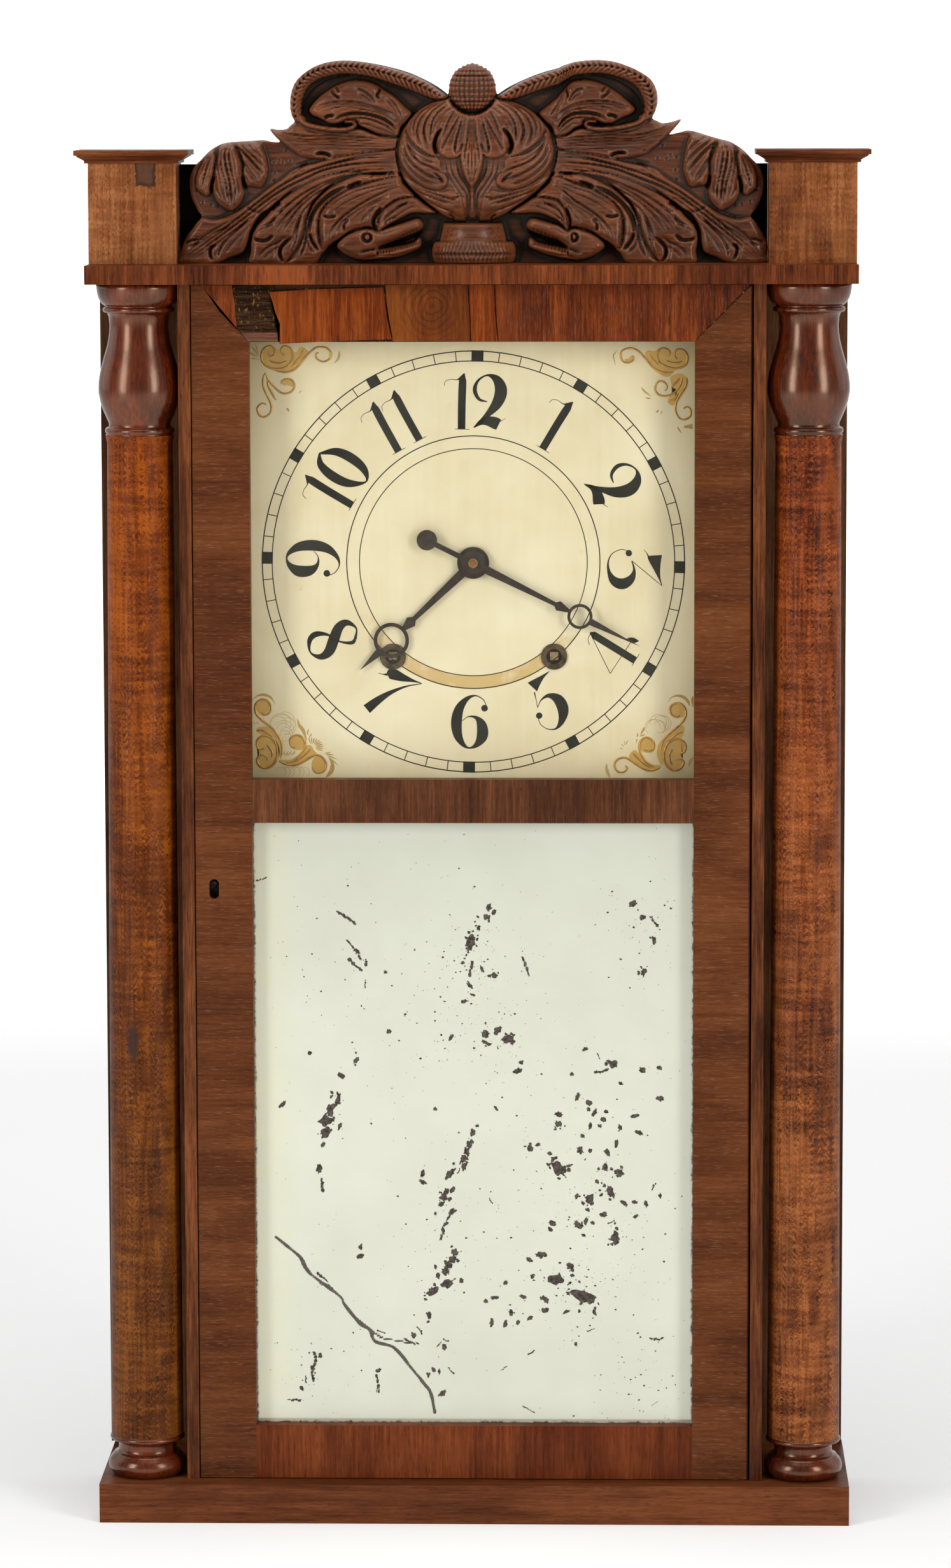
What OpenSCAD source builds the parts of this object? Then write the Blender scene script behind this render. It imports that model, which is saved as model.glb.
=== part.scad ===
// Column and splat shelf clock with a thirty-hour wooden movement, driven by two weights.
// Width is X, depth is Y with the front at -Y, height is Z. The base stands on Z = 0.
// Every depth is counted from the plinth's front face, towards the back.

/* [Case] */
// Outer width of the case between the columns
case_w = 342; // [336:1:348]
// Thickness of the case side boards
side_t = 7.2; // [6:0.2:8]
// Depth of the side boards' front edges
side_front = 14; // [13:0.5:15]
// Clear height between the plinth and the cornice board
case_h = 710.5; // [700:0.5:730]
// Thickness of the plinth board
plinth_t = 23.5; // [18:0.5:30]
// How far each end of the plinth passes the foot of its column
plinth_over = 3.1; // [1:0.1:6]
// Thickness of the cornice board
cornice_t = 11; // [9:0.5:14]
// How far each end of the cornice board passes the plinth
cornice_over = 1.5; // [0:0.5:4]
// Depth of the cornice board's front edge
cornice_back = 2; // [0:0.5:6]
// Thickness of the back board
back_t = 10; // [8:0.5:12]
// How much wider the back board is than the plinth, at each end
back_over = 0.7; // [0:0.1:2]
// How far the back board sits to the left of the middle
back_shift = 1.5; // [0:0.1:3]

/* [Door] */
// Clearance between the door and the case, at the top, the bottom and the sides
door_gap = 0.6; // [0.4:0.1:1]
// Depth of the door's front
door_front = 15; // [14:0.5:15.5]
// Thickness of the door frame
door_t = 18; // [16:0.5:18]
// Width of the two stiles
stile_w = 33.5; // [32:0.5:42]
// Height of the bottom rail
bottom_rail_h = 32; // [26:0.5:36]
// Height of the middle rail
mid_rail_h = 25.7; // [22:0.1:30]
// Height of the top rail
top_rail_h = 33.1; // [30:0.1:36]
// Height of the opening over the dial
dial_sight_h = 256.5; // [250:0.5:258]
// Width of the rabbet behind the openings
rabbet_w = 6; // [4:0.5:8]
// Depth of the rabbet from the back of the door
rabbet_d = 9; // [8:0.5:10]
// Thickness of the two glasses
glass_t = 2; // [1.6:0.1:2.4]
// Radius of the wire hinge pins
hinge_r = 1; // [0.8:0.1:1.2]

/* [Columns] */
// Gap between the case and the foot of each column
column_gap = 1.6; // [0.5:0.1:4]
// Depth of the column centres
column_y = 30; // [29:0.5:32]
// Radius of the shaft under the capital
shaft_top_r = 19.2; // [17:0.1:20]
// Radius of the shaft above the base
shaft_low_r = 21.5; // [20:0.1:22]
// Radius of the torus at the foot
torus_r = 23.4; // [22.5:0.1:24]
// Height of the torus at the foot
torus_h = 13; // [12:0.5:16]
// Height of the turned vase capital
capital_h = 87; // [84:0.5:92]

/* [Crest] */
// Width of each chimney block
block_w = 51.4; // [48:0.2:52]
// Height of each chimney block
block_h = 58.4; // [50:0.2:62]
// Depth of each chimney block, front to back
block_d = 42; // [36:1:46]
// Depth of the block fronts
block_front = 31; // [28:1:34]
// Thickness of the moulded caps
cap_t = 7.6; // [6:0.2:9]
// How far the caps pass the blocks at the front and the sides
cap_over = 7.6; // [5:0.2:8]
// Thickness of the crest board behind the carving
crest_t = 13; // [10:0.5:14]
// Depth of the crest board's front
crest_front = 43; // [42:0.5:44]
// Overall height of the carved crest
crest_h = 118; // [110:1:124]
// Thickness of the dark panel behind the crest
panel_t = 7; // [5:0.5:9]

/* [Dial and hands] */
// How far the dial centre sits below the middle of its opening
dial_drop = 2.55; // [0:0.05:4]
// How far the dial board passes its opening on every side
dial_over = 8.3; // [6:0.1:9]
// Thickness of the dial board
dial_t = 6; // [5:0.2:6.5]
// Room for the hands between the door and the dial
hand_space = 7; // [6.5:0.1:9]
// Sideways distance of the winding holes from the dial centre
wind_x = 47.5; // [46:0.5:49]
// Drop of the winding holes below the dial centre
wind_drop = 55.6; // [54:0.2:57]
// Outer radius of the winding hole bushes
bush_r = 7.7; // [6.5:0.1:9]
// Length of the minute hand from its centre to its tip
minute_len = 109.5; // [95:0.5:114]
// Length of the hour hand from its centre to its tip
hour_len = 92.4; // [80:0.2:96]

/* [Movement] */
// Room for the motion work between the dial and the front plate
motion_space = 12; // [11.5:0.5:14]
// Width of the movement plates
plate_w = 171.4; // [170:0.2:174]
// Thickness of the movement plates
plate_t = 8; // [7:0.5:8]
// Space between the two plates
plate_space = 28; // [28:0.5:30]
// Gap between the movement and the back board
rear_gap = 5; // [3:0.5:10]
// Radius of the train arbors
arbor_r = 1.8; // [1.4:0.1:1.8]
// Radius of the winding arbors
wind_r = 3; // [2.6:0.1:3.2]
// Radius of the cord drums
drum_r = 14; // [12:0.5:14.5]
// Radius of the weight cords
line_r = 1; // [0.8:0.1:1]
// Radius of the pulleys at the bottom of their grooves
pulley_r = 11; // [10:0.5:12]
// Side of the square cast weights
weight_side = 36; // [30:1:36]
// Height of the weights without their eyes
weight_h = 150; // [120:1:160]
// Length of the pendulum from its pivot to the middle of the bob
pendulum_len = 248; // [230:1:255]
// Radius of the pendulum bob
bob_r = 21; // [18:1:24]
// Radius of the bell
bell_r = 28; // [24:1:29]

/* [Fits] */
// Radial clearance of every turning fit
run = 0.05; // [0.02:0.01:0.08]
// Clearance round loose pieces and between curved faces
slip = 0.3; // [0.2:0.05:0.4]

/* [Hidden] */
$fn = 48;
// Facets of wires and other thin rods
wire_fn = 24;
// How far a cut passes the face it opens
cut = 1;

// Depths, from the front to the back
door_back = door_front + door_t;
shoulder = door_back - rabbet_d;
dial_front = door_back + hand_space;
dial_back = dial_front + dial_t;
plate_front = dial_back + motion_space;
plate_back = plate_front + plate_t;
plate_rear = plate_back + plate_space;
plate_end = plate_rear + plate_t;
back_face = plate_end + rear_gap;
plinth_d = back_face + back_t;

// Distances from the middle of the clock
case_in = case_w / 2 - side_t;
door_half = case_in - door_gap;
sight_half = door_half - stile_w;
glass_half = sight_half + rabbet_w - slip;
dial_half = sight_half + dial_over;
column_x = case_w / 2 + column_gap + torus_r;
plinth_half = column_x + torus_r + plinth_over;
block_out = plinth_half + cornice_over;
block_in = block_out - block_w;
crest_half = block_in - slip;

// Heights above the floor
plinth_top = plinth_t;
cornice_low = plinth_top + case_h;
cornice_top = cornice_low + cornice_t;
block_top = cornice_top + block_h;
door_low = plinth_top + door_gap;
door_top = cornice_low - door_gap;
mirror_low = door_low + bottom_rail_h;
sight_top = door_top - top_rail_h;
sight_low = sight_top - dial_sight_h;
mirror_top = sight_low - mid_rail_h;
key_z = (door_low + door_top) / 2;
centre_z = (sight_low + sight_top) / 2 - dial_drop;
plate_below = 100;
plate_above = 58;
plate_low = centre_z - plate_below;
plate_top = centre_z + plate_above;

function fy(d) = d - plinth_d / 2;
function arc(x, z, r, a0, a1, n) = [for (i = [0:n])
    let(a = a0 + (a1 - a0) * i / n) [x + r * cos(a), z + r * sin(a)]];
function unit_of(a, b) = (b - a) / norm(b - a);
function way(a, b) = atan2(b[1] - a[1], b[0] - a[0]);
// The point at distance ra from a and rb from b, on one side of the line between them
function meet(a, b, ra, rb, side) =
    let(d = norm(b - a), t = way(a, b) + side * acos((ra * ra + d * d - rb * rb) / (2 * ra * d)))
    a + ra * [cos(t), sin(t)];

// A box between two values of x, two depths and two heights
module block(x0, x1, d0, d1, z0, z1) {
    translate([x0, fy(d0), z0]) cube([x1 - x0, d1 - d0, z1 - z0]);
}
module both() {
    children();
    mirror([1, 0, 0]) children();
}
// A rod or a flat shape that lies across the movement, placed as [x, z] from the dial centre
module rod(at, d0, d1, r) {
    translate([at[0], fy(d0), centre_z + at[1]]) rotate([-90, 0, 0]) cylinder(h = d1 - d0, r = r);
}
module plan(at, d0, d1) {
    translate([at[0], fy(d1), centre_z + at[1]]) rotate([90, 0, 0]) linear_extrude(d1 - d0) children();
}

// Case
module plinth() {
    color("saddlebrown") difference() {
        block(-plinth_half, plinth_half, 0, plinth_d, 0, plinth_top);
        hinge_rod(plinth_top - hinge_hold, plinth_top + cut, hinge_r);
    }
}
module side_board() { block(case_in, case_w / 2, side_front, back_face, plinth_top, cornice_low); }
module side_board_left() {
    color("sienna") difference() {
        mirror([1, 0, 0]) side_board();
        block(-case_in - bolt_throw, -case_in + cut, bolt_front - slip, bolt_front + bolt_d + slip,
            bolt_z - bolt_h / 2 - slip, bolt_z + bolt_h / 2 + slip);
    }
}
module side_board_right() { color("sienna") side_board(); }
module cornice_board() {
    color("saddlebrown") difference() {
        block(-block_out, block_out, cornice_back, plinth_d, cornice_low, cornice_top);
        hinge_rod(cornice_low - cut, cornice_low + hinge_hold, hinge_r);
    }
}
nail_r = 1.3;
nail_head_r = 3;
nail_head_t = 1.2;
nail_x = case_w / 2 - side_t / 2;
nails = 5;
nail_margin = 43;
nail_step = (case_h - 2 * nail_margin) / (nails - 1);
module nail_places() {
    for (s = [-1, 1], k = [0:nails - 1])
        translate([s * nail_x, fy(plinth_d), plinth_top + nail_margin + nail_step * k]) rotate([90, 0, 0])
            children();
}
module back_board() {
    color("peru") difference() {
        block(-plinth_half - back_over - back_shift, plinth_half + back_over - back_shift, back_face,
            plinth_d, plinth_top, cornice_low);
        nail_places() translate([0, 0, -cut]) union() {
            cylinder(h = back_t + 2 * cut, r = nail_r + run);
            cylinder(h = nail_head_t + cut, r = nail_head_r + run);
        }
    }
}
module back_nails() {
    color("dimgray") nail_places() union() {
        cylinder(h = back_t, r = nail_r);
        cylinder(h = nail_head_t, r = nail_head_r);
    }
}
rail_t = 10;
rail_set = 2;
rail_drop = 12;
rail_in = plate_w / 2 + slip;
dial_strip_d = 8;
dial_strip_lap = 9;
module inner_rails() {
    color("burlywood") both() {
        block(rail_in, rail_in + rail_t, plate_front + rail_set, back_face, plinth_top,
            plate_top - rail_drop);
        block(dial_half - dial_strip_lap, case_in, dial_back, dial_back + dial_strip_d,
            sight_low - dial_over, sight_top + dial_over);
    }
}

// Columns, one turned piece each: torus, hollow neck, bead, shaft, vase capital and quarter round
hollow_r = torus_r - 6.2;
bead_h = 3.2;
bead_low = torus_h + 8.4;
bead_top = bead_low + bead_h;
ovolo_r = shaft_top_r + 0.2;
ovolo_h = 13;
neck_z = case_h - capital_h;
waist_r = shaft_top_r - 1.2;
bulge_r = shaft_top_r + 4.9;
vase_low = neck_z + 5.4;
vase_mid = vase_low + 20.5;
vase_top = vase_mid + 36;
abacus_r = shaft_top_r + 5.8;
function column_side() = concat(
    [[0, 0]],
    [for (i = [0:8]) let(a = -66 + i * 118 / 8)
        [torus_r - 7.4 + 7.4 * cos(a), torus_h / 2 + torus_h / 2 * sin(a) / sin(66)]],
    [[torus_r - 3.4, torus_h + 0.2], [hollow_r + 1.5, torus_h + 0.6]],
    [for (i = [0:4]) let(a = 50 - i * 25) [hollow_r + 1.5 * (1 - cos(a)), torus_h + 4.2 - 3.8 * sin(a)]],
    [[shaft_low_r - 1.2, bead_low]],
    arc(shaft_low_r - bead_h / 2 + 0.8, bead_low + bead_h / 2, bead_h / 2, -60, 70, 6),
    [[shaft_low_r, bead_top + 1]],
    [[shaft_top_r, neck_z - 6], [shaft_top_r + 0.9, neck_z - 1.5]],
    arc(shaft_top_r - 1, neck_z + 1, 2.2, -70, 90, 5),
    [[waist_r, neck_z + 3.6], [waist_r, vase_low]],
    [for (i = [1:8]) [waist_r + (bulge_r - waist_r) * sin(i * 90 / 8),
        vase_low + (vase_mid - vase_low) * i / 8]],
    [for (i = [1:10]) [bulge_r - 6.9 * (1 - cos(i * 18)) / 2, vase_mid + (vase_top - vase_mid) * i / 10]],
    [[shaft_top_r - 1.6, vase_top + 5.1], [shaft_top_r - 0.6, vase_top + 8.1]],
    arc(shaft_top_r + 0.4, vase_top + 9.7, 1.6, -90, 90, 5),
    [[shaft_top_r - 0.3, vase_top + 11.3]],
    [for (i = [0:6]) let(a = 10 + i * 80 / 6)
        [ovolo_r + (abacus_r - ovolo_r) * sin(a), case_h - ovolo_h * cos(a)]],
    [[0, case_h]]);
module column(at_x) { translate([at_x, fy(column_y), plinth_top]) rotate_extrude() polygon(column_side()); }
module column_left() { color("chocolate") column(-column_x); }
module column_right() { color("chocolate") column(column_x); }

// Chimney blocks and their caps: a thin fillet, a splayed moulding and a flat top
module chimney() { block(block_in, block_out, block_front, block_front + block_d, cornice_top, block_top); }
module chimney_left() { color("peru") mirror([1, 0, 0]) chimney(); }
module chimney_right() { color("peru") chimney(); }
fillet_over = cap_over * 0.25;
splay_over = cap_over * 0.8;
splay_low = block_top + cap_t * 0.2;
splay_top = block_top + cap_t * 0.6;
splay_edge = cap_t * 0.08;
module cap_slab(over, z0, z1) {
    block(block_in - over, block_out + over, block_front - over, block_front + block_d, z0, z1);
}
module cap() {
    cap_slab(fillet_over, block_top, splay_low);
    hull() {
        cap_slab(fillet_over, splay_low, splay_low + splay_edge);
        cap_slab(splay_over, splay_top - splay_edge, splay_top);
    }
    cap_slab(cap_over, splay_top, block_top + cap_t);
}
module cap_left() { color("peru") mirror([1, 0, 0]) cap(); }
module cap_right() { color("peru") cap(); }

// Carved crest: a board cut to the outline, with the main forms of the carving in relief.
// Places on it are shares of its half width and its height, so that the carving fills it.
scroll_r = 27.5;
scroll_at = [crest_half - scroll_r - 2.5, 46];
arch_r = 24.5;
arch_at = [crest_half * 0.482, crest_h - arch_r];
knob_r = 14.5;
knob_z = crest_h - 16;
globe_r = 47.5;
globe_z = crest_h / 2;
rope_r = 24;
rope_h = 12;
collar_r = 20;
collar_z = [15, 21];
stem_r = 13;
centre_y = crest_front - 3;
function on_crest(u, v) = [u * crest_half, v * crest_h];
module crest_outline() {
    translate(scroll_at) circle(scroll_r);
    translate(arch_at) circle(arch_r);
    polygon([[0, 0], on_crest(1, 0), on_crest(0.994, 0.093), on_crest(0.942, 0.22), on_crest(0.884, 0.339),
        on_crest(0.87, 0.56), on_crest(0.812, 0.619), on_crest(0.662, 0.61), on_crest(0.702, 0.669),
        on_crest(0.621, 0.686), [arch_at[0] + arch_r / 2, arch_at[1] + arch_r * 0.87],
        [arch_at[0] - arch_r / 3, arch_at[1] + arch_r * 0.967], on_crest(0.325, 0.966),
        on_crest(0.209, 0.915), on_crest(0.093, 0.83), on_crest(0, 0.83)]);
}
module crest_plan(d0, d1) {
    translate([0, fy(d1), cornice_top]) rotate([90, 0, 0]) linear_extrude(d1 - d0) children();
}
module curl(at, big, small, a0, a1) {
    translate([at[0], fy(crest_front), cornice_top + at[1]]) rotate([90, 0, 0]) rotate([0, 0, a0])
        rotate_extrude(angle = a1 - a0) translate([big, 0]) circle(small, $fn = wire_fn);
}
module lump(at, rx, ry, rz) {
    translate([at[0], fy(crest_front + 1), cornice_top + at[1]]) scale([rx, ry, rz]) sphere(1, $fn = 28);
}
// The rope ring, the collar and the finial stand on one axis
module turned_centre() {
    translate([0, fy(centre_y), cornice_top]) rotate_extrude() polygon(concat(
        [[0, 0], [rope_r - rope_h / 2, 0]],
        arc(rope_r - rope_h / 2, rope_h / 2, rope_h / 2, -90, 90, 8),
        [[collar_r - 1, rope_h + 0.4], [collar_r, collar_z[0]], [collar_r, collar_z[1]]],
        [[stem_r + 1, collar_z[1] + 5], [stem_r, knob_z - 22], [stem_r - 2, knob_z - knob_r]],
        arc(0, knob_z, knob_r, -60, 90, 12)));
}
module crest() {
    color("saddlebrown") difference() {
        union() {
            crest_plan(crest_front, crest_front + crest_t) both() crest_outline();
            both() {
                curl(scroll_at, scroll_r - 8.5, 8, -75, 200);
                curl(arch_at, arch_r - 8, 7.5, -20, 130);
                curl(on_crest(0.22, 0.66), 30, 6.5, 62, 128);
                lump(scroll_at - [8, 0], 11, 9, 11);
                lump(on_crest(0.476, 0.746), 12, 8, 12);
                lump(on_crest(0.557, 0.288), 24, 9, 30);
                lump(on_crest(0.337, 0.153), 22, 12, 13);
            }
            lump([0, globe_z], globe_r, 17, 36);
            turned_centre();
        }
        block(-crest_half, crest_half, crest_front + crest_t, plinth_d, cornice_top - cut,
            cornice_top + 2 * crest_h);
    }
}
module crest_back_panel() {
    color("#3a2418") block(-crest_half, crest_half, crest_front + crest_t, crest_front + crest_t + panel_t,
        cornice_top, block_top - 1);
}

// Door hinges: wire pintles held in the plinth and the cornice, with the door turning on them
hinge_in = 3;
hinge_set = 2.6;
hinge_len = 9;
hinge_hold = 8;
hinge_x = door_half - hinge_in;
hinge_y = door_front + hinge_set;
module hinge_rod(z0, z1, r) {
    translate([hinge_x, fy(hinge_y), z0]) cylinder(h = z1 - z0, r = r, $fn = wire_fn);
}
module hinge_bores() {
    hinge_rod(door_low - cut, door_low + hinge_len, hinge_r + run);
    hinge_rod(door_top - hinge_len, door_top + cut, hinge_r + run);
}
module hinge_pins() {
    color("dimgray") {
        hinge_rod(plinth_top - hinge_hold, door_low + hinge_len - slip, hinge_r);
        hinge_rod(door_top - hinge_len + slip, cornice_low + hinge_hold, hinge_r);
    }
}
// The rounded edge that lets the hinged stile turn beside the case
module hinge_round() {
    difference() {
        block(hinge_x, door_half + cut, door_front - cut, hinge_y, door_low - cut, door_top + cut);
        hinge_rod(door_low - 2 * cut, door_top + 2 * cut, hinge_in);
    }
}

// Door frame
module rabbet() {
    for (z = [[mirror_low, mirror_top], [sight_low, sight_top]])
        block(-sight_half - rabbet_w, sight_half + rabbet_w, shoulder, door_back + cut,
            z[0] - rabbet_w, z[1] + rabbet_w);
}
module front_cut(d0, d1) { translate([0, fy(d1), 0]) rotate([90, 0, 0]) linear_extrude(d1 - d0) children(); }
module stile() {
    difference() {
        block(sight_half, door_half, door_front, door_back, door_low, door_top);
        front_cut(door_front - cut, door_back + cut) polygon([[sight_half, sight_top],
            [sight_half - cut, door_top + cut], [door_half + cut, door_top + cut],
            [door_half + cut, door_top], [door_half, door_top]]);
        rabbet();
    }
}
module rail(z0, z1) {
    difference() {
        block(-sight_half, sight_half, door_front, door_back, z0, z1);
        rabbet();
    }
}
module door_stile_left() {
    color("#6b2f1c") difference() {
        mirror([1, 0, 0]) stile();
        key_slot();
        block(-door_half - cut, -door_half + pocket_w, shoulder, door_back + cut,
            bolt_z - pocket_h / 2, bolt_z + pocket_h / 2);
    }
}
module door_stile_right() {
    color("#6b2f1c") difference() {
        stile();
        hinge_round();
        hinge_bores();
    }
}
module door_top_rail() {
    color("#8a3a20") difference() {
        front_cut(door_front, door_back) polygon([[-sight_half, sight_top], [sight_half, sight_top],
            [door_half, door_top], [-door_half, door_top]]);
        rabbet();
        hinge_round();
        hinge_bores();
    }
}
module door_mid_rail() { color("#8a3a20") rail(mirror_top, sight_low); }
module door_bottom_rail() { color("#8a3a20") rail(door_low, mirror_low); }

// Glass, its backing and its strips
backing_t = 4;
strip_w = 5;
strip_t = 4;
pane_in = rabbet_w - slip;
module pane(d0, d1, z0, z1) { block(-glass_half, glass_half, d0, d1, z0 - pane_in, z1 + pane_in); }
module dial_glass() { color("azure", 0.3) pane(shoulder, shoulder + glass_t, sight_low, sight_top); }
module looking_glass() { color("gainsboro") pane(shoulder, shoulder + glass_t, mirror_low, mirror_top); }
module mirror_backing() {
    color("burlywood") pane(shoulder + glass_t, shoulder + glass_t + backing_t, mirror_low, mirror_top);
}
module glazing_strips() {
    d0 = shoulder + glass_t;
    inner = glass_half - strip_w;
    color("tan") difference() {
        pane(d0, d0 + strip_t, sight_low, sight_top);
        block(-inner, inner, d0 - cut, d0 + strip_t + cut, sight_low - pane_in + strip_w,
            sight_top + pane_in - strip_w);
    }
}

// Lock in a pocket behind the left stile, its bolt, and the keyhole with the pin for the key
key_r = 2.9;
key_half = 3;
key_in = 10.8;
key_x = door_half - key_in;
pin_r = 1.1;
pin_len = 5;
bolt_z = key_z + 2;
bolt_h = 8;
bolt_d = 4;
bolt_front = shoulder + 3;
bolt_throw = 5;
bolt_len = 20;
bolt_rest = 2.4;
pocket_w = stile_w - rabbet_w - 0.5;
pocket_h = 38;
module key_slot() {
    for (s = [-1, 1]) translate([-key_x, fy(shoulder + cut), key_z + s * key_half]) rotate([90, 0, 0])
        cylinder(h = rabbet_d + 3 * cut, r = key_r);
    block(-key_x - key_r, -key_x + key_r, door_front - cut, shoulder + cut,
        key_z - key_half, key_z + key_half);
}
module lock_case() {
    color("dimgray") {
        difference() {
            block(-door_half, -door_half + pocket_w - slip, shoulder, door_back - cut,
                bolt_z - pocket_h / 2 + slip, bolt_z + pocket_h / 2 - slip);
            block(-door_half - cut, -door_half + bolt_rest + bolt_len + slip, bolt_front - slip / 2,
                bolt_front + bolt_d + slip / 2, bolt_z - (bolt_h + slip) / 2, bolt_z + (bolt_h + slip) / 2);
            translate([-key_x, fy(shoulder + 2), key_z - key_half]) rotate([90, 0, 0])
                cylinder(h = 2 + cut, r = key_r - 0.4);
        }
        translate([-key_x, fy(shoulder), key_z + key_half]) rotate([90, 0, 0])
            cylinder(h = pin_len, r = pin_r, $fn = wire_fn);
    }
}
module lock_bolt() {
    color("slategray") block(-door_half + bolt_rest, -door_half + bolt_rest + bolt_len,
        bolt_front, bolt_front + bolt_d, bolt_z - bolt_h / 2, bolt_z + bolt_h / 2);
}

// The arbors, as [x, z] from the dial centre. Each wheel meets the next arbor's pinion.
great_teeth = 60;
pinion_teeth = 8;
second_teeth = 54;
centre_leaves = 10;
second_m = 1;
centre_teeth = 72;
centre_m = 0.8;
third_teeth = 76;
third_m = 0.55;
escape_teeth = 42;
escape_r = 18;
pin_teeth = 48;
pin_m = 0.8;
cannon_teeth = 12;
motion_reach = 24;
function reach(m, a, b) = m * (a + b) / 2;
centre_at = [0, 0];
time_at = [wind_x, -wind_drop];
strike_at = [-wind_x, -wind_drop];
escape_at = [0, -46];
verge_at = [0, -23];
motion_at = [0, motion_reach];
second_reach = reach(second_m, second_teeth, centre_leaves);
second_at = second_reach * unit_of(centre_at, time_at);
great_reach = norm(time_at) - second_reach;
great_m = 2 * great_reach / (great_teeth + pinion_teeth);
third_at = meet(centre_at, escape_at, reach(centre_m, centre_teeth, pinion_teeth),
    reach(third_m, third_teeth, pinion_teeth), -1);
pin_way = 110;
pin_at = strike_at + great_reach * [cos(pin_way), sin(pin_way)];
fly_at = pin_at + [0, reach(pin_m, pin_teeth, pinion_teeth)];
hammer_at = [-36, 44];
bell_at = [10, 118];
cannon_m = 2 * motion_reach / (cannon_teeth * 4);
hour_m = 2 * motion_reach / (cannon_teeth * 5);

// Depths of the wheels between the dial and the back plate
wheel_t = 3;
great_t = 4;
pinion_over = 0.5;
hour_y = dial_back + 1.5;
motion_y = plate_front - 2;
cannon_t = 4;
cannon_y = motion_y - cannon_t;
escape_y = motion_y - 5;
wheel_y = plate_back + 2;
third_y = plate_back + 7;
second_y = plate_back + 12;
great_y = plate_back + 18;
drum_y = plate_back + 1.5;
drum_w = 9.5;
line_y = drum_y + drum_w / 2;
minute_hand_y = door_back + 1.5;
hour_hand_y = dial_front - 3;
hand_t = 1;

// Toothed shapes, with root, tip and widths as shares of the module and the pitch
tooth_root = 1.1;
tooth_tip = 0.75;
tooth_wide = 0.27;
tooth_thin = 0.12;
function toothed(teeth, root, tip, wide, thin) = [for (i = [0:teeth - 1]) for (k = [-wide, -thin, thin, wide])
    let(a = 360 / teeth * (i + k), r = abs(k) == wide ? root : tip) [r * cos(a), r * sin(a)]];
module gear_plan(teeth, m, turn) {
    rotate(turn) polygon(toothed(teeth, m * (teeth / 2 - tooth_root), m * (teeth / 2 + tooth_tip),
        tooth_wide, tooth_thin));
}
// A wheel with four round openings and a hub, and a plain pinion
hub_over = 1;
module wheel(at, d, t, teeth, m, turn, hub) {
    pitch_r = m * teeth / 2;
    plan(at, d, d + t) difference() {
        gear_plan(teeth, m, turn);
        for (k = [0:3]) rotate(45 + 90 * k) translate([pitch_r * 0.54, 0]) circle(pitch_r * 0.2);
    }
    rod(at, d - hub_over, d + t + hub_over, hub);
}
module pinion(at, d0, d1, teeth, m, turn) { plan(at, d0, d1) gear_plan(teeth, m, turn); }
module arbor(at, front) { rod(at, front, plate_end, arbor_r); }
// The turn that puts a gap of this gear opposite a tooth of its neighbour
function gap_turn(from, to, teeth) = way(from, to) + 180 + 180 / teeth;

// Dial
bush_lip = 1.5;
bush_over = 1;
bush_bore = 4.5;
pipe_hole_r = 5.5;
module dial_board() {
    color("antiquewhite") difference() {
        block(-dial_half, dial_half, dial_front, dial_back, sight_low - dial_over, sight_top + dial_over);
        rod(centre_at, dial_front - cut, dial_back + cut, pipe_hole_r);
        for (at = [time_at, strike_at]) rod(at, dial_front - cut, dial_back + cut, bush_r - bush_lip);
    }
}
module dial_bushes() {
    color("darkgoldenrod") for (at = [time_at, strike_at]) difference() {
        union() {
            rod(at, dial_front - bush_over, dial_front, bush_r);
            rod(at, dial_front, dial_back, bush_r - bush_lip - run);
        }
        rod(at, dial_front - bush_over - cut, dial_back + cut, bush_bore);
    }
}

// Hands, drawn pointing up and then turned to the time shown
dial_tilt = -1.3;
minute_turn = -115.3 + dial_tilt;
hour_turn = -225.2 + dial_tilt;
pipe_r = 2.8;
hour_pipe_r = 4.2;
minute_ring = 70.2;
minute_ring_r = 7.4;
minute_ring_w = 1.7;
tail_at = 30.3;
tail_r = 6;
hour_ring = 66.6;
hour_ring_r = 10.4;
hour_ring_w = 2.1;
module hand(d, turn) {
    for (i = [0:$children - 1]) plan(centre_at, d, d + hand_t) rotate(turn) children(i);
}
module ring_shape(at, r, w) {
    translate([0, at]) difference() {
        circle(r);
        circle(r - w);
    }
}
// Half of a tapering stem with a small cusp, from the centre to the ring
module stem_shape(root, waist, waist_at, cusp, cusp_at, end_w, end_at) {
    polygon([[root, 0], [waist, waist_at], [cusp, cusp_at], [end_w, end_at],
        [-end_w, end_at], [-cusp, cusp_at], [-waist, waist_at], [-root, 0]]);
}
module tip_shape(half, from, to) { polygon([[half, from], [0, to], [-half, from]]); }
module minute_hand() {
    color("#241a14") difference() {
        hand(minute_hand_y, minute_turn) {
            circle(7.5);
            stem_shape(2.6, 1.2, 54, 3, 56, 0.8, minute_ring - minute_ring_r + minute_ring_w / 2);
            ring_shape(minute_ring, minute_ring_r, minute_ring_w);
            tip_shape(2, minute_ring + minute_ring_r - minute_ring_w / 2, minute_len);
            translate([0, -tail_at / 2]) square([3, tail_at], center = true);
            translate([0, -tail_at]) circle(tail_r);
        }
        rod(centre_at, minute_hand_y - cut, minute_hand_y + hand_t + cut, pipe_r + run);
    }
}
module hour_hand() {
    color("#241a14") difference() {
        hand(hour_hand_y, hour_turn) {
            circle(9.4);
            stem_shape(2.9, 1.4, 48, 3.4, 50.5, 1, hour_ring - hour_ring_r + hour_ring_w / 2);
            ring_shape(hour_ring, hour_ring_r, hour_ring_w);
            tip_shape(2.4, hour_ring + hour_ring_r - hour_ring_w / 2, hour_len);
        }
        rod(centre_at, hour_hand_y - cut, hour_hand_y + hand_t + cut, hour_pipe_r + run);
    }
}

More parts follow.
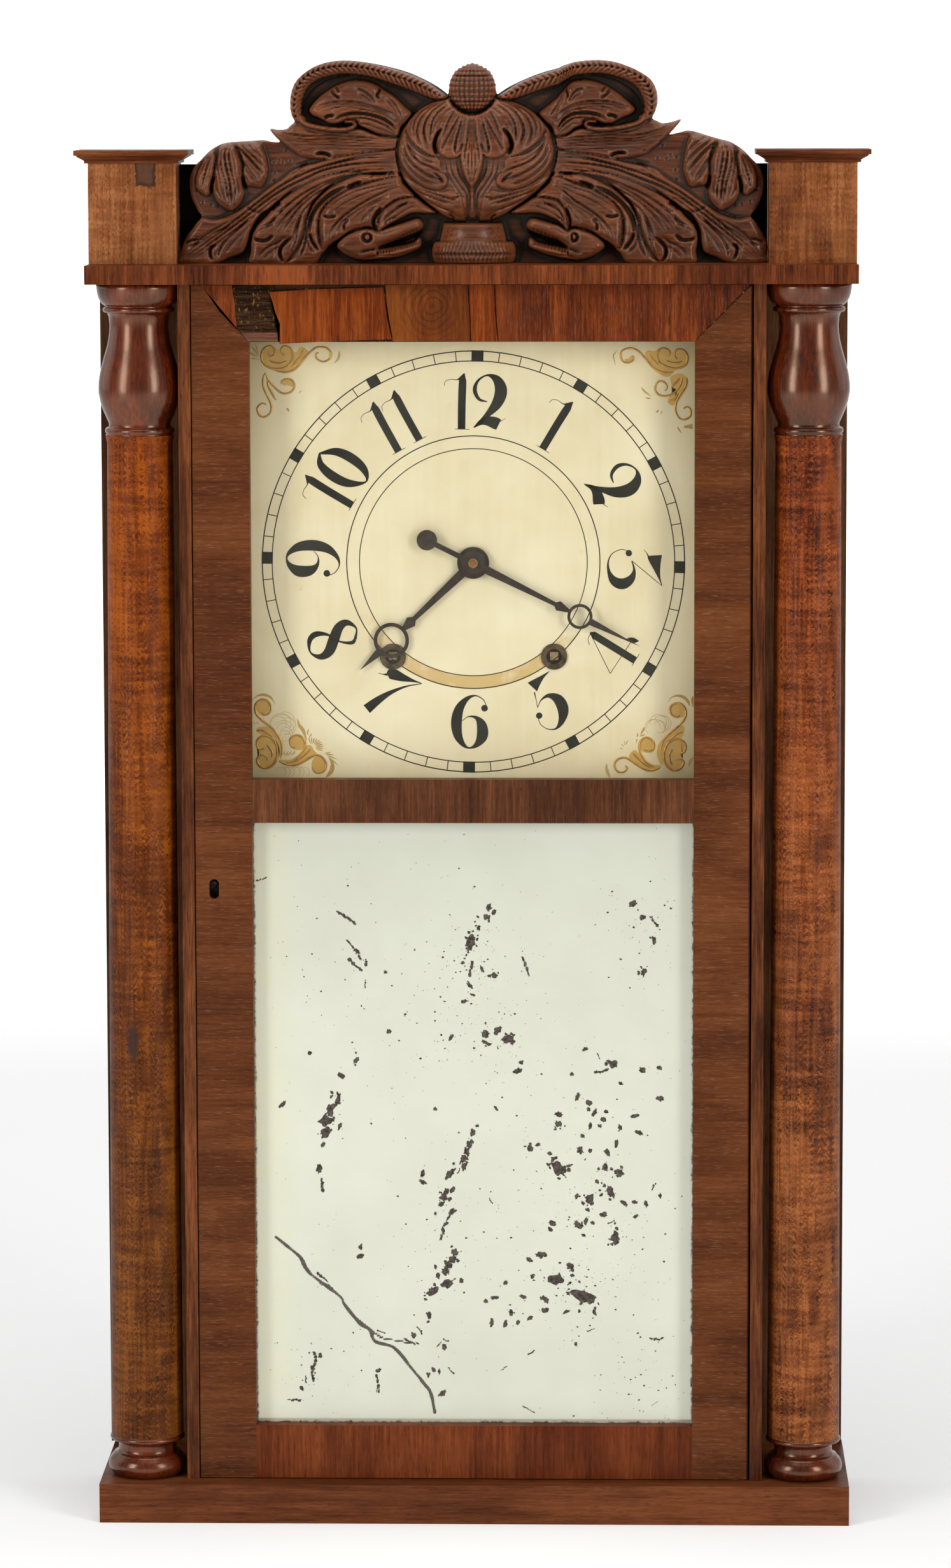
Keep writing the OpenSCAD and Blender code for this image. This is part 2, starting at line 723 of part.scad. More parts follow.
// Motion work between the dial and the front plate
collar_t = 0.8;
stud_r = 1.5;
module minute_pipe() {
    color("peru") difference() {
        union() {
            rod(centre_at, minute_hand_y - collar_t, plate_front - 1, pipe_r);
            rod(centre_at, minute_hand_y + hand_t, minute_hand_y + hand_t + collar_t, pipe_r + 1.6);
            pinion(centre_at, cannon_y, motion_y, cannon_teeth, cannon_m,
                gap_turn(motion_at, centre_at, cannon_teeth));
        }
        rod(centre_at, minute_hand_y - cut - collar_t, plate_back, arbor_r + run);
    }
}
module hour_wheel() {
    color("peru") difference() {
        union() {
            rod(centre_at, hour_hand_y, hour_y + wheel_t, hour_pipe_r);
            rod(centre_at, hour_hand_y + hand_t, hour_hand_y + hand_t + collar_t, hour_pipe_r + 1);
            pinion(centre_at, hour_y, hour_y + wheel_t, cannon_teeth * 4, hour_m, way(centre_at, motion_at));
        }
        rod(centre_at, hour_hand_y - cut, plate_back, pipe_r + run);
    }
}
module minute_wheel() {
    color("peru") difference() {
        union() {
            pinion(motion_at, cannon_y, cannon_y + wheel_t, cannon_teeth * 3, cannon_m,
                way(motion_at, centre_at));
            pinion(motion_at, hour_y, cannon_y, cannon_teeth, hour_m,
                gap_turn(centre_at, motion_at, cannon_teeth));
        }
        rod(motion_at, hour_y - cut, plate_back, stud_r + run);
    }
}

// Time train
module centre_wheel() {
    color("peru") {
        arbor(centre_at, minute_hand_y - 2.4);
        wheel(centre_at, wheel_y, wheel_t, centre_teeth, centre_m, way(centre_at, third_at), 4);
        pinion(centre_at, second_y - pinion_over, second_y + great_t, centre_leaves, second_m,
            gap_turn(second_at, centre_at, centre_leaves));
    }
}
module second_wheel() {
    color("peru") {
        arbor(second_at, plate_front);
        wheel(second_at, second_y, wheel_t, second_teeth, second_m, way(second_at, centre_at), 4);
        pinion(second_at, great_y - pinion_over, great_y + great_t + pinion_over, pinion_teeth, great_m,
            gap_turn(time_at, second_at, pinion_teeth));
    }
}
module third_wheel() {
    color("peru") {
        arbor(third_at, plate_front);
        wheel(third_at, third_y, wheel_t, third_teeth, third_m, way(third_at, escape_at), 3);
        pinion(third_at, wheel_y - pinion_over, wheel_y + wheel_t + pinion_over, pinion_teeth, centre_m,
            gap_turn(centre_at, third_at, pinion_teeth));
    }
}
module escape_wheel() {
    color("goldenrod") {
        arbor(escape_at, escape_y);
        plan(escape_at, escape_y, escape_y + wheel_t)
            polygon(toothed(escape_teeth, escape_r - 2.4, escape_r, 0.3, 0.05));
        pinion(escape_at, third_y - pinion_over, third_y + wheel_t + pinion_over, pinion_teeth, third_m,
            gap_turn(third_at, escape_at, pinion_teeth));
    }
}
module great_wheel(at, to) {
    difference() {
        wheel(at, great_y, great_t, great_teeth, great_m, way(at, to), 8);
        rod(at, great_y - 2 * hub_over, great_y + great_t + 2 * hub_over, wind_r + run);
    }
}
module time_great_wheel() { color("peru") great_wheel(time_at, second_at); }

// Winding drums: a square for the crank, a drum between two flanges and a ratchet
square_side = 4.8;
square_in = 3;
square_end = plate_front - 6;
flange_t = 1;
flange_over = 3;
ratchet_r = 11;
ratchet_teeth = 20;
module drum(at) {
    rod(at, square_end, plate_end, wind_r);
    plan(at, dial_back - square_in, square_end) square(square_side, center = true);
    rod(at, drum_y, drum_y + drum_w, drum_r);
    for (d = [drum_y, drum_y + drum_w - flange_t]) rod(at, d, d + flange_t, drum_r + flange_over);
    plan(at, drum_y + drum_w, great_y - hub_over - slip)
        polygon(toothed(ratchet_teeth, ratchet_r - 2, ratchet_r, 0.4, 0.05));
}
module time_drum() { color("burlywood") drum(time_at); }
module strike_drum() { color("burlywood") drum(strike_at); }

// Wire posts of the pendulum, the minute wheel and the bell
pivot_r = 1;
pivot_head_r = 1.8;
rod_y = dial_back + 2.5;
rod_boss = 1.2;
pendulum_rod_r = 1;
foot_r = 4;
bell_post_r = 2;
bell_front = great_y - 8;
bell_wall = 3;
module wire_posts() {
    color("dimgray") {
        rod(verge_at, rod_y - rod_boss - 0.9, rod_y - rod_boss - 0.1, pivot_head_r);
        rod(verge_at, rod_y - rod_boss - 0.1, plate_front, pivot_r);
        rod(verge_at, plate_front - 2, plate_front, foot_r);
        rod(motion_at, hour_y - 0.5, plate_front, stud_r);
        rod(motion_at, plate_front - 1, plate_front, foot_r);
        rod(bell_at, bell_front - 2, back_face, bell_post_r);
        rod(bell_at, bell_front - 2, bell_front, bell_post_r + 3);
        rod(bell_at, bell_front + bell_wall, bell_front + 2 * bell_wall, bell_post_r + 2);
        rod(bell_at, back_face - 2, back_face, bell_post_r + 5);
    }
}

// Pallets and crutch, hung on the same post as the pendulum
pallet_x = 10.6;
pallet_drop = 7;
verge_t = 2.8;
crutch_len = 34;
crutch_t = 0.6;
crutch_y = escape_y - 0.9;
prong_h = 2.4;
prong_t = 0.8;
prong_x = pendulum_rod_r + slip;
module crutch_part(w, h, d0, d1, x) { plan(verge_at, d0, d1) translate([x, -crutch_len]) square([w, h]); }
module verge() {
    color("slategray") difference() {
        union() {
            rod(verge_at, escape_y, escape_y + verge_t, 3);
            plan(verge_at, escape_y, escape_y + verge_t) polygon([[-pallet_x - 1, -pallet_drop],
                [-pallet_x + 0.4, -pallet_drop], [-pallet_x + 2, -3], [0, -1.6], [pallet_x - 2, -3],
                [pallet_x - 0.4, -pallet_drop], [pallet_x + 1, -pallet_drop], [pallet_x, -1], [0, 3],
                [-pallet_x, -1]]);
            rod(verge_at, escape_y - crutch_t, escape_y, 2.4);
            crutch_part(1.6, crutch_len, crutch_y, crutch_y + crutch_t, -0.8);
            crutch_part(2 * (prong_x + prong_t), prong_h, crutch_y, crutch_y + crutch_t, -prong_x - prong_t);
            for (x = [-prong_x - prong_t, prong_x])
                crutch_part(prong_t, prong_h, rod_y - 0.8, crutch_y + crutch_t, x);
        }
        rod(verge_at, crutch_y - cut, motion_y, pivot_r + run);
    }
}

// Pendulum
rod_in = 4;
rod_low = verge_at[1] - pendulum_len + bob_r - rod_in;
bob_half = 4;
bob_edge = 3;
module rod_up(low, high, r) {
    translate([verge_at[0], fy(rod_y), centre_z + low]) cylinder(h = high - low, r = r, $fn = wire_fn);
}
module pendulum_rod() {
    color("slategray") difference() {
        union() {
            rod(verge_at, rod_y - rod_boss, rod_y + rod_boss, 2.4);
            rod_up(rod_low, verge_at[1] - 1.8, pendulum_rod_r);
        }
        rod(verge_at, rod_y - 2 * rod_boss, rod_y + 2 * rod_boss, pivot_r + run);
    }
}
module pendulum_bob() {
    edge = bob_half - bob_edge;
    color("goldenrod") difference() {
        translate([verge_at[0], fy(rod_y), centre_z + verge_at[1] - pendulum_len]) rotate([90, 0, 0])
            rotate_extrude() polygon(concat([[0, -bob_half]],
                arc(bob_r - bob_edge, -edge, bob_edge, -90, 0, 4),
                arc(bob_r - bob_edge, edge, bob_edge, 0, 90, 4), [[0, bob_half]]));
        rod_up(rod_low - slip, rod_low + 2 * rod_in, pendulum_rod_r + run);
    }
}

// Strike train: a great wheel with its count wheel, a pin wheel, a fly and a hammer
count_r = 24;
count_t = 2;
count_slots = 12;
slot_w = 2;
slot_in = 3;
pin_ring = 15;
lift_pins = 8;
lift_pin_r = 0.8;
lift_pin_len = 3;
module strike_great_wheel() {
    color("peru") {
        great_wheel(strike_at, pin_at);
        difference() {
            rod(strike_at, great_y + great_t, great_y + great_t + count_t, count_r);
            rod(strike_at, great_y, great_y + 2 * great_t, wind_r + run);
            for (h = [1:count_slots])
                plan(strike_at, great_y + great_t - 0.1, great_y + great_t + count_t + cut)
                    rotate(-4 * (h * (h + 1) / 2 + h)) translate([-slot_w / 2, count_r - slot_in])
                        square([slot_w, 2 * slot_in]);
        }
    }
}
module strike_pin_wheel() {
    color("peru") {
        arbor(pin_at, plate_front);
        wheel(pin_at, second_y, wheel_t, pin_teeth, pin_m, 90, 3);
        pinion(pin_at, great_y - pinion_over, great_y + great_t + pinion_over, pinion_teeth, great_m,
            gap_turn(strike_at, pin_at, pinion_teeth));
        for (k = [0:lift_pins - 1]) let(a = 360 / lift_pins * k)
            rod(pin_at + pin_ring * [cos(a), sin(a)], second_y - lift_pin_len, second_y, lift_pin_r);
    }
}
fly_w = 26;
fly_t = 2.4;
module fly() {
    color("tan") {
        arbor(fly_at, plate_front);
        pinion(fly_at, second_y - pinion_over, second_y + wheel_t + pinion_over, pinion_teeth, pin_m,
            gap_turn(pin_at, fly_at, pinion_teeth));
        plan(fly_at, great_y - 2, great_y + 7) square([fly_w, fly_t], center = true);
        rod(fly_at, great_y - 2.6, great_y + 8, 3);
    }
}
hammer_head = [-25, 113];
head_r = 4;
head_len = 11;
head_x = hammer_head[0] + head_len / 2;
hammer_y = great_y + 4;
hammer_hub = 3;
tail_y = second_y - 2;
module wire(a, b, d, r) {
    translate([a[0], fy(d), centre_z + a[1]]) rotate([0, 90 - way(a, b), 0])
        cylinder(h = norm(b - a), r = r, $fn = wire_fn);
}
module hammer() {
    tail_len = norm(pin_at - hammer_at) - pin_ring - 3;
    color("slategray") {
        arbor(hammer_at, plate_front);
        rod(hammer_at, hammer_y - hammer_hub, hammer_y + hammer_hub, hammer_hub);
        rod(hammer_at, tail_y - 2, tail_y + 2, hammer_hub);
        wire(hammer_at, hammer_head, hammer_y, 1.2);
        wire(hammer_at, hammer_at + tail_len * unit_of(hammer_at, pin_at), tail_y, 1.1);
        translate([head_x, fy(hammer_y), centre_z + hammer_head[1]]) rotate([0, -90, 0])
            cylinder(h = head_len, r = head_r);
    }
}
bell_deep = 19;
bell_curve = 10;
module bell() {
    crown = bell_r - bell_wall + 1 - bell_curve;
    color("silver") translate([bell_at[0], fy(bell_front), centre_z + bell_at[1]]) rotate([-90, 0, 0])
        rotate_extrude() polygon(concat([[bell_post_r + run, 0]],
            arc(crown, bell_curve, bell_curve, -90, 0, 8),
            [[bell_r, bell_deep], [bell_r - bell_wall, bell_deep]],
            [[crown + bell_curve - bell_wall, bell_curve]],
            arc(crown, bell_curve, bell_curve - bell_wall, 0, -90, 8), [[bell_post_r + run, bell_wall]]));
}

// Plates and their pillars
pillar_r = 5;
pillar_in = 9.7;
pillar_inset = 8;
module plate(d) {
    difference() {
        block(-plate_w / 2, plate_w / 2, d, d + plate_t, plate_low, plate_top);
        for (at = [centre_at, second_at, third_at, escape_at, pin_at, fly_at, hammer_at])
            rod(at, d - cut, d + plate_t + cut, arbor_r + run);
        for (at = [time_at, strike_at]) rod(at, d - cut, d + plate_t + cut, wind_r + run);
    }
}
module front_plate() { color("tan") plate(plate_front); }
module back_plate() { color("tan") plate(plate_rear); }
module plate_pillars() {
    color("burlywood") for (x = [pillar_in - plate_w / 2, plate_w / 2 - pillar_in])
        for (z = [pillar_inset - plate_below, plate_above - pillar_inset])
            rod([x, z], plate_back, plate_rear, pillar_r);
}

// Weights hang midway between the inner rails and the case sides
line_x = (rail_in + rail_t + case_in) / 2;
weight_low = plinth_top + 6.5;
weight_top = weight_low + weight_h;
weight_eye = 10;
eye_r = 3;
eye_wire = 1.2;
eye_z = weight_top + weight_eye - eye_r - eye_wire - slip;
module weight() {
    block(line_x - weight_side / 2, line_x + weight_side / 2, line_y - weight_side / 2,
        line_y + weight_side / 2, weight_low, weight_top);
    translate([line_x, fy(line_y), weight_top - cut])
        cylinder(h = eye_z - eye_r - weight_top + cut + eye_wire / 2, r = 1.4, $fn = wire_fn);
    translate([line_x, fy(line_y), eye_z]) rotate([90, 0, 0]) rotate_extrude() translate([eye_r, 0])
        circle(eye_wire, $fn = wire_fn);
}
module time_weight() { color("#3b3b3b") weight(); }
module strike_weight() { color("#3b3b3b") mirror([1, 0, 0]) weight(); }

// Pulleys under the cornice, each on a pin between two cheeks
pulley_drop = 18;
pulley_z = cornice_low - pulley_drop;
pulley_w = 6;
pulley_rim = 2.4;
groove = 1.6;
pulley_pin_r = 1.5;
cheek_t = 5;
cheek_half = 9;
cheek_low = 6;
line_at_drum = drum_r + line_r + slip / 2;
line_at_pulley = pulley_r + line_r + slip / 2;
pulley_x = line_x - line_at_pulley;
module pulley() {
    translate([pulley_x, fy(line_y), pulley_z]) rotate([90, 0, 0]) rotate_extrude()
        polygon([[pulley_pin_r + run, -pulley_w / 2], [pulley_r + pulley_rim, -pulley_w / 2],
            [pulley_r, -groove], [pulley_r, groove], [pulley_r + pulley_rim, pulley_w / 2],
            [pulley_pin_r + run, pulley_w / 2]]);
}
module pulley_time() { color("burlywood") pulley(); }
module pulley_strike() { color("burlywood") mirror([1, 0, 0]) pulley(); }
module pulley_pin(half, r) {
    translate([pulley_x, fy(line_y - half), pulley_z]) rotate([-90, 0, 0]) cylinder(h = 2 * half, r = r);
}
module pulley_blocks() {
    inner = pulley_w / 2 + slip;
    outer = inner + cheek_t;
    color("burlywood") both() {
        difference() {
            union() {
                for (d = [line_y - outer, line_y + inner])
                    block(pulley_x - cheek_half, pulley_x + cheek_half, d, d + cheek_t, pulley_z - cheek_low,
                        cornice_low);
            }
            pulley_pin(outer + cut, pulley_pin_r - run);
        }
        pulley_pin(outer, pulley_pin_r);
    }
}

// A cord runs from its drum up to the pulley, over it, and down to the eye of its weight
drum_to_pulley = [pulley_x - wind_x, pulley_z - centre_z + wind_drop];
line_reach = norm(drum_to_pulley);
line_close = line_at_drum + line_at_pulley;
line_run = sqrt(line_reach * line_reach - line_close * line_close);
lean = way(drum_to_pulley, [0, 0]) + asin(line_close / line_reach) + 90;
line_sides = 8;
over_steps = 16;
function on_pulley(a) = [pulley_x + line_at_pulley * cos(a), pulley_z + line_at_pulley * sin(a), a];
line_route = concat([on_pulley(180 + lean) + [line_run * sin(lean), -line_run * cos(lean), 0]],
    [for (i = [0:over_steps]) on_pulley((180 + lean) * (1 - i / over_steps))],
    [[line_x, weight_top + weight_eye, 0]]);
module weight_line() {
    rings = len(line_route);
    points = [for (p = line_route) for (k = [0:line_sides - 1])
        let(t = 360 * k / line_sides, out = line_r * cos(t))
        [p[0] + out * cos(p[2]), fy(line_y) + line_r * sin(t), p[1] + out * sin(p[2])]];
    sides = [for (i = [0:rings - 2]) for (k = [0:line_sides - 1])
        let(n = (k + 1) % line_sides, low = i * line_sides)
        [low + k, low + n, low + line_sides + n, low + line_sides + k]];
    ends = [[for (k = [0:line_sides - 1]) line_sides - 1 - k],
        [for (k = [0:line_sides - 1]) (rings - 1) * line_sides + k]];
    polyhedron(points, concat(sides, ends));
}
module time_line() { color("wheat") weight_line(); }
module strike_line() { color("wheat") mirror([1, 0, 0]) weight_line(); }

plinth();
side_board_left();
side_board_right();
cornice_board();
back_board();
column_left();
column_right();
chimney_left();
chimney_right();
cap_left();
cap_right();
crest();
crest_back_panel();
back_nails();
inner_rails();
dial_board();
dial_bushes();
hinge_pins();
pulley_blocks();
front_plate();
back_plate();
plate_pillars();
wire_posts();
bell();
time_line();
strike_line();
door_stile_left();
door_stile_right();
door_top_rail();
door_mid_rail();
door_bottom_rail();
dial_glass();
looking_glass();
mirror_backing();
glazing_strips();
lock_case();
lock_bolt();
minute_hand();
minute_pipe();
hour_hand();
hour_wheel();
minute_wheel();
escape_wheel();
third_wheel();
centre_wheel();
second_wheel();
time_great_wheel();
verge();
pendulum_rod();
pendulum_bob();
strike_great_wheel();
strike_pin_wheel();
fly();
hammer();
time_drum();
strike_drum();
time_weight();
strike_weight();
pulley_time();
pulley_strike();
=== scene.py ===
import math

import bmesh
import bpy
import numpy as np
from mathutils import Matrix, Vector


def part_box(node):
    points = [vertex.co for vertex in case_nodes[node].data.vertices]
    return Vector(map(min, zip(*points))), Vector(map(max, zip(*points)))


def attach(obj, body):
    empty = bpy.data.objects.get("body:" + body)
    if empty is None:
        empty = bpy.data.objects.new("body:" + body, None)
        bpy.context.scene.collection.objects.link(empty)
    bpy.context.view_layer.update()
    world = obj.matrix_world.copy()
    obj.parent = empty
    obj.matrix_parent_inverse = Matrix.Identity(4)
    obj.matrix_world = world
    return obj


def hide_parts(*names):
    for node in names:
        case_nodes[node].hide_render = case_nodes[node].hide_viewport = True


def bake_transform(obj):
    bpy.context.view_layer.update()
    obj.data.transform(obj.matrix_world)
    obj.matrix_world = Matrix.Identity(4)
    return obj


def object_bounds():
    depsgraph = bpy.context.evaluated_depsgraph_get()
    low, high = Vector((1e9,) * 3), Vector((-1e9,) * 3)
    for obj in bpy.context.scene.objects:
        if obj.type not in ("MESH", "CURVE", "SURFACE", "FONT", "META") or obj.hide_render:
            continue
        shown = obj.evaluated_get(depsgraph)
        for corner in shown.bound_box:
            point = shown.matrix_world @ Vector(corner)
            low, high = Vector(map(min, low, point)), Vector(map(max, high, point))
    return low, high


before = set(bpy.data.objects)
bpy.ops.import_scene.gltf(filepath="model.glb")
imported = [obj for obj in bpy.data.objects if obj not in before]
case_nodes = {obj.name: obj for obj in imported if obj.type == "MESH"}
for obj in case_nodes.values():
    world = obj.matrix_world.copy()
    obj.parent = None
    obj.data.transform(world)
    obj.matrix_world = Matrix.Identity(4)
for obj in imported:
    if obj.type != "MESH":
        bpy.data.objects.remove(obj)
cad_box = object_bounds()
front_y = cad_box[0][1]

# Camera.
# It stands about 3.3 m in front of the clock, as high as its top, and looks slightly down and to the
# left, as the photographed corners of the plinth, cornice, door and wings say.
photo_h = 2464
focal_px = 8889.66
stand_at = (0.08803, -3.33544, 0.85882)
pitch, yaw, roll = (math.radians(turn) for turn in (7.2258, -1.5026, -0.1274))
film = 36.0


def stand(name, data):
    """A new object in the scene, unturned at the origin."""
    piece = bpy.data.objects.new(name, data)
    bpy.context.scene.collection.objects.link(piece)
    return piece


ahead = Vector((math.sin(yaw) * math.cos(pitch), math.cos(yaw) * math.cos(pitch), -math.sin(pitch)))
level_right = Vector((math.cos(yaw), -math.sin(yaw), 0.0))
level_up = level_right.cross(ahead)
right_way = level_right * math.cos(roll) + level_up * math.sin(roll)
up_way = level_up * math.cos(roll) - level_right * math.sin(roll)
camera_data = bpy.data.cameras.new("camera")
camera_data.sensor_fit = "AUTO"
camera_data.sensor_width = film
camera_data.lens = focal_px * film / photo_h
camera_data.clip_end = 60.0
camera = stand("camera", camera_data)
rows = [(right_way[n], up_way[n], -ahead[n], stand_at[n]) for n in range(3)]
camera.matrix_world = Matrix(rows + [(0.0, 0.0, 0.0, 1.0)])
bpy.context.scene.camera = camera


# Plinth.
# A plain mahogany board under the whole clock, glued to the case sides. Its front shows long grain
# darkened by old varnish, and its edges are rubbed.
def paint(red, green, blue):
    """A colour as the eye reads it, 0 to 255, turned to the shader's own scale."""
    turned = []
    for value in (red, green, blue):
        share = value / 255.0
        turned.append(share / 12.92 if share <= 0.04045 else ((share + 0.055) / 1.055) ** 2.4)
    return (*turned, 1.0)


def socket(sockets, name):
    """A socket by its number, or the open one of its name."""
    if isinstance(name, int):
        return sockets[name]
    return next(one for one in sockets if one.name == name and one.enabled)


def fill(tree, made, sockets):
    """Sets a node's sockets to values, or links them."""
    for name, value in sockets.items():
        if isinstance(value, bpy.types.NodeSocket):
            tree.links.new(value, socket(made.inputs, name))
        else:
            socket(made.inputs, name).default_value = value


def add(tree, kind, sockets=None, **settings):
    """A new node with its settings and its sockets."""
    made = tree.nodes.new(kind)
    for name, value in settings.items():
        setattr(made, name, value)
    fill(tree, made, sockets or {})
    return made


def sum_up(tree, kind, first, second=0.0, third=0.5):
    """One sum of a shader or a shape tree."""
    return add(tree, "ShaderNodeMath", {0: first, 1: second, 2: third}, operation=kind).outputs[0]


def times(tree, first, second):
    """The product."""
    return sum_up(tree, "MULTIPLY", first, second)


def plus(tree, first, second):
    """The sum."""
    return sum_up(tree, "ADD", first, second)


def minus(tree, first, second):
    """The difference."""
    return sum_up(tree, "SUBTRACT", first, second)


def most(tree, first, second):
    """The larger."""
    return sum_up(tree, "MAXIMUM", first, second)


def apart(tree, first, second, kind="SUBTRACT"):
    """Two places taken from each other, or another sum of places."""
    return add(tree, "ShaderNodeVectorMath", {0: first, 1: second}, operation=kind).outputs[0]


def length(tree, place):
    """How far a place is from the origin."""
    return add(tree, "ShaderNodeVectorMath", {0: place}, operation="LENGTH").outputs["Value"]


def parts_of(tree, place):
    """A place's three parts."""
    return add(tree, "ShaderNodeSeparateXYZ", {0: place}).outputs


def noise(tree, place, scale, detail=3.0, rough=0.55, twist=0.0):
    """Cloudy noise, about 0 to 1."""
    made = add(tree, "ShaderNodeTexNoise", {"Vector": place, "Scale": scale, "Detail": detail,
                                            "Roughness": rough, "Distortion": twist})
    return made.outputs["Fac"]


def span(tree, value, low, high, to_low=0.0, to_high=1.0):
    """The value moved from one range to another, and held within it."""
    made = add(tree, "ShaderNodeMapRange", {"Value": value, "From Min": low, "From Max": high,
                                            "To Min": to_low, "To Max": to_high})
    return made.outputs["Result"]


def tint(tree, share, first, second, kind="MIX"):
    """Two colours mixed by a share."""
    made = add(tree, "ShaderNodeMix", {0: share, 6: first, 7: second}, data_type="RGBA", blend_type=kind)
    return made.outputs[2]


def shades(tree, share, stops):
    """A run of colours along a share."""
    made = add(tree, "ShaderNodeValToRGB", {0: share})
    steps = made.color_ramp.elements
    steps[0].position = stops[0][0]
    steps[0].color = stops[0][1]
    steps[1].position = stops[-1][0]
    steps[1].color = stops[-1][1]
    for place, colour in stops[1:-1]:
        step = steps.new(place)
        step.color = colour
    return made.outputs["Color"]


def bumped(tree, strength, distance, height):
    """The surface's tilt from a height."""
    sockets = {"Strength": strength, "Distance": distance, "Height": height}
    return add(tree, "ShaderNodeBump", sockets).outputs["Normal"]


def start_finish(name):
    """A new material, its tree, its surface and the place on the piece."""
    finish = bpy.data.materials.new(name)
    finish.use_nodes = True
    tree = finish.node_tree
    return finish, tree, tree.nodes["Principled BSDF"], add(tree, "ShaderNodeTexCoord").outputs["Object"]


def reopened(finish):
    """A wood finish taken up again: its tree, its surface, the place on the piece and its colour."""
    tree = finish.node_tree
    surface = tree.nodes["Principled BSDF"]
    colour = surface.inputs["Base Color"].links[0].from_socket
    return tree, surface, add(tree, "ShaderNodeTexCoord").outputs["Object"], colour


def stretched(tree, place, along, across, grain, shift=0.0):
    """The place drawn out along the grain."""
    size = [across, across, across]
    size["xyz".index(grain)] = along
    made = add(tree, "ShaderNodeMapping", {"Vector": place, "Location": (shift, shift * 0.7, shift * 0.4),
                                           "Scale": size})
    return made.outputs["Vector"]


def curled(tree, place, grain, seed, curl):
    """The place pushed sideways in short waves along the grain, as curly wood has it."""
    along = parts_of(tree, place)["xyz".index(grain)]
    drift = noise(tree, stretched(tree, place, 60.0, 160.0, grain, seed), 1.0, 2.0)
    phase = plus(tree, times(tree, along, 1400.0), times(tree, drift, 22.0))
    push = times(tree, sum_up(tree, "SINE", phase), curl)
    ways = {n: push for n, axis in enumerate("xyz") if axis != grain}
    moved = add(tree, "ShaderNodeCombineXYZ", ways)
    return apart(tree, place, moved.outputs[0], "ADD")


def wood_colour(tree, place, tones, grain, seed, figure, ripple, pores, curl=0.0):
    """Fibre, broad bands, cross ripple and open pores, as a colour and as two shares."""
    dark, middle, light = tones
    if curl:
        place = curled(tree, place, grain, seed, curl)
    fibre = noise(tree, stretched(tree, place, 30.0, 620.0, grain, seed), 1.0, 4.0, 0.62)
    bands = noise(tree, stretched(tree, place, 5.0, 46.0, grain, seed + 3.0), 1.0, 3.0, 0.5, 0.8)
    cloud = noise(tree, stretched(tree, place, 7.0, 11.0, grain, seed + 7.0), 1.0, 2.0)
    share = times(tree, fibre, 1.0 - figure)
    share = plus(tree, share, times(tree, bands, figure * 0.62))
    share = plus(tree, share, times(tree, cloud, figure * 0.38))
    if ripple:
        waves = noise(tree, stretched(tree, place, 230.0, 34.0, grain, seed + 11.0), 1.0, 2.0, 0.5, 0.4)
        share = plus(tree, share, times(tree, minus(tree, waves, 0.5), ripple))
    colour = shades(tree, share, [(0.385, dark), (0.5, middle), (0.615, light)])
    open_pores = noise(tree, stretched(tree, place, 150.0, 1900.0, grain, seed + 5.0), 1.0, 1.0)
    hollow = span(tree, open_pores, 0.57, 0.68, 0.0, pores)
    colour = tint(tree, hollow, colour, (dark[0] * 0.32, dark[1] * 0.3, dark[2] * 0.3, 1.0))
    return colour, fibre, hollow


def wood(name, tones, grain, seed=0.0, figure=0.5, ripple=0.0, pores=0.5, rough=(0.3, 0.5), gloss=0.1,
         relief=0.35, curl=0.0, dust=0.0):
    """Polished or bare wood, its pores dark, or grey with old dust."""
    tones = [paint(*tone) for tone in tones]
    finish, tree, surface, place = start_finish(name)
    colour, fibre, hollow = wood_colour(tree, place, tones, grain, seed, figure, ripple, pores, curl)
    grime = noise(tree, place, 38.0, 5.0, 0.65)
    colour = tint(tree, span(tree, grime, 0.55, 0.78, 0.0, 0.42), colour, tones[0])
    stains = noise(tree, stretched(tree, place, 16.0, 26.0, grain, seed + 21.0), 1.0, 3.0, 0.6)
    colour = tint(tree, span(tree, stains, 0.5, 0.72, 0.0, 0.5), colour, tones[0])
    colour = tint(tree, span(tree, stains, 0.48, 0.3, 0.0, 0.35), colour, tones[2])
    if dust:
        dusty_pores = noise(tree, stretched(tree, place, 170.0, 2700.0, grain, seed + 31.0), 1.0, 1.0)
        colour = tint(tree, span(tree, dusty_pores, 0.62, 0.72, 0.0, dust), colour, paint(158, 120, 96))
    height = minus(tree, times(tree, fibre, 0.35), hollow)
    fill(tree, surface, {"Base Color": colour, "Roughness": span(tree, grime, 0.3, 0.7, *rough),
                         "Normal": bumped(tree, relief, 0.00025, height), "Specular IOR Level": gloss})
    return finish


def dress(finish, *names):
    """Gives CAD nodes, or new pieces, one finish."""
    for name in names:
        piece = case_nodes[name] if isinstance(name, str) else name
        piece.data.materials.clear()
        piece.data.materials.append(finish)


plinth_tones = ((70, 33, 16), (101, 53, 26), (124, 70, 38))
dress(wood("plinth_mahogany", plinth_tones, "x", 1.3, 0.6, pores=0.35, dust=0.1), "plinth")

# Case sides and cornice.
# Thin side boards glued to the plinth stand just outside the door, and the plain cornice board lies on
# them. Both are mahogany veneer on pine. The cornice veneer runs up and down and is redder.
side_tones = ((58, 26, 12), (96, 52, 26), (134, 76, 42))
dress(wood("case_side_veneer", side_tones, "z", 2.1, 0.5, pores=0.5), "side_board_left", "side_board_right")
cornice_tones = ((58, 22, 9), (102, 50, 22), (144, 74, 36))
dress(wood("cornice_veneer", cornice_tones, "z", 3.7, 0.55, pores=0.55), "cornice_board")

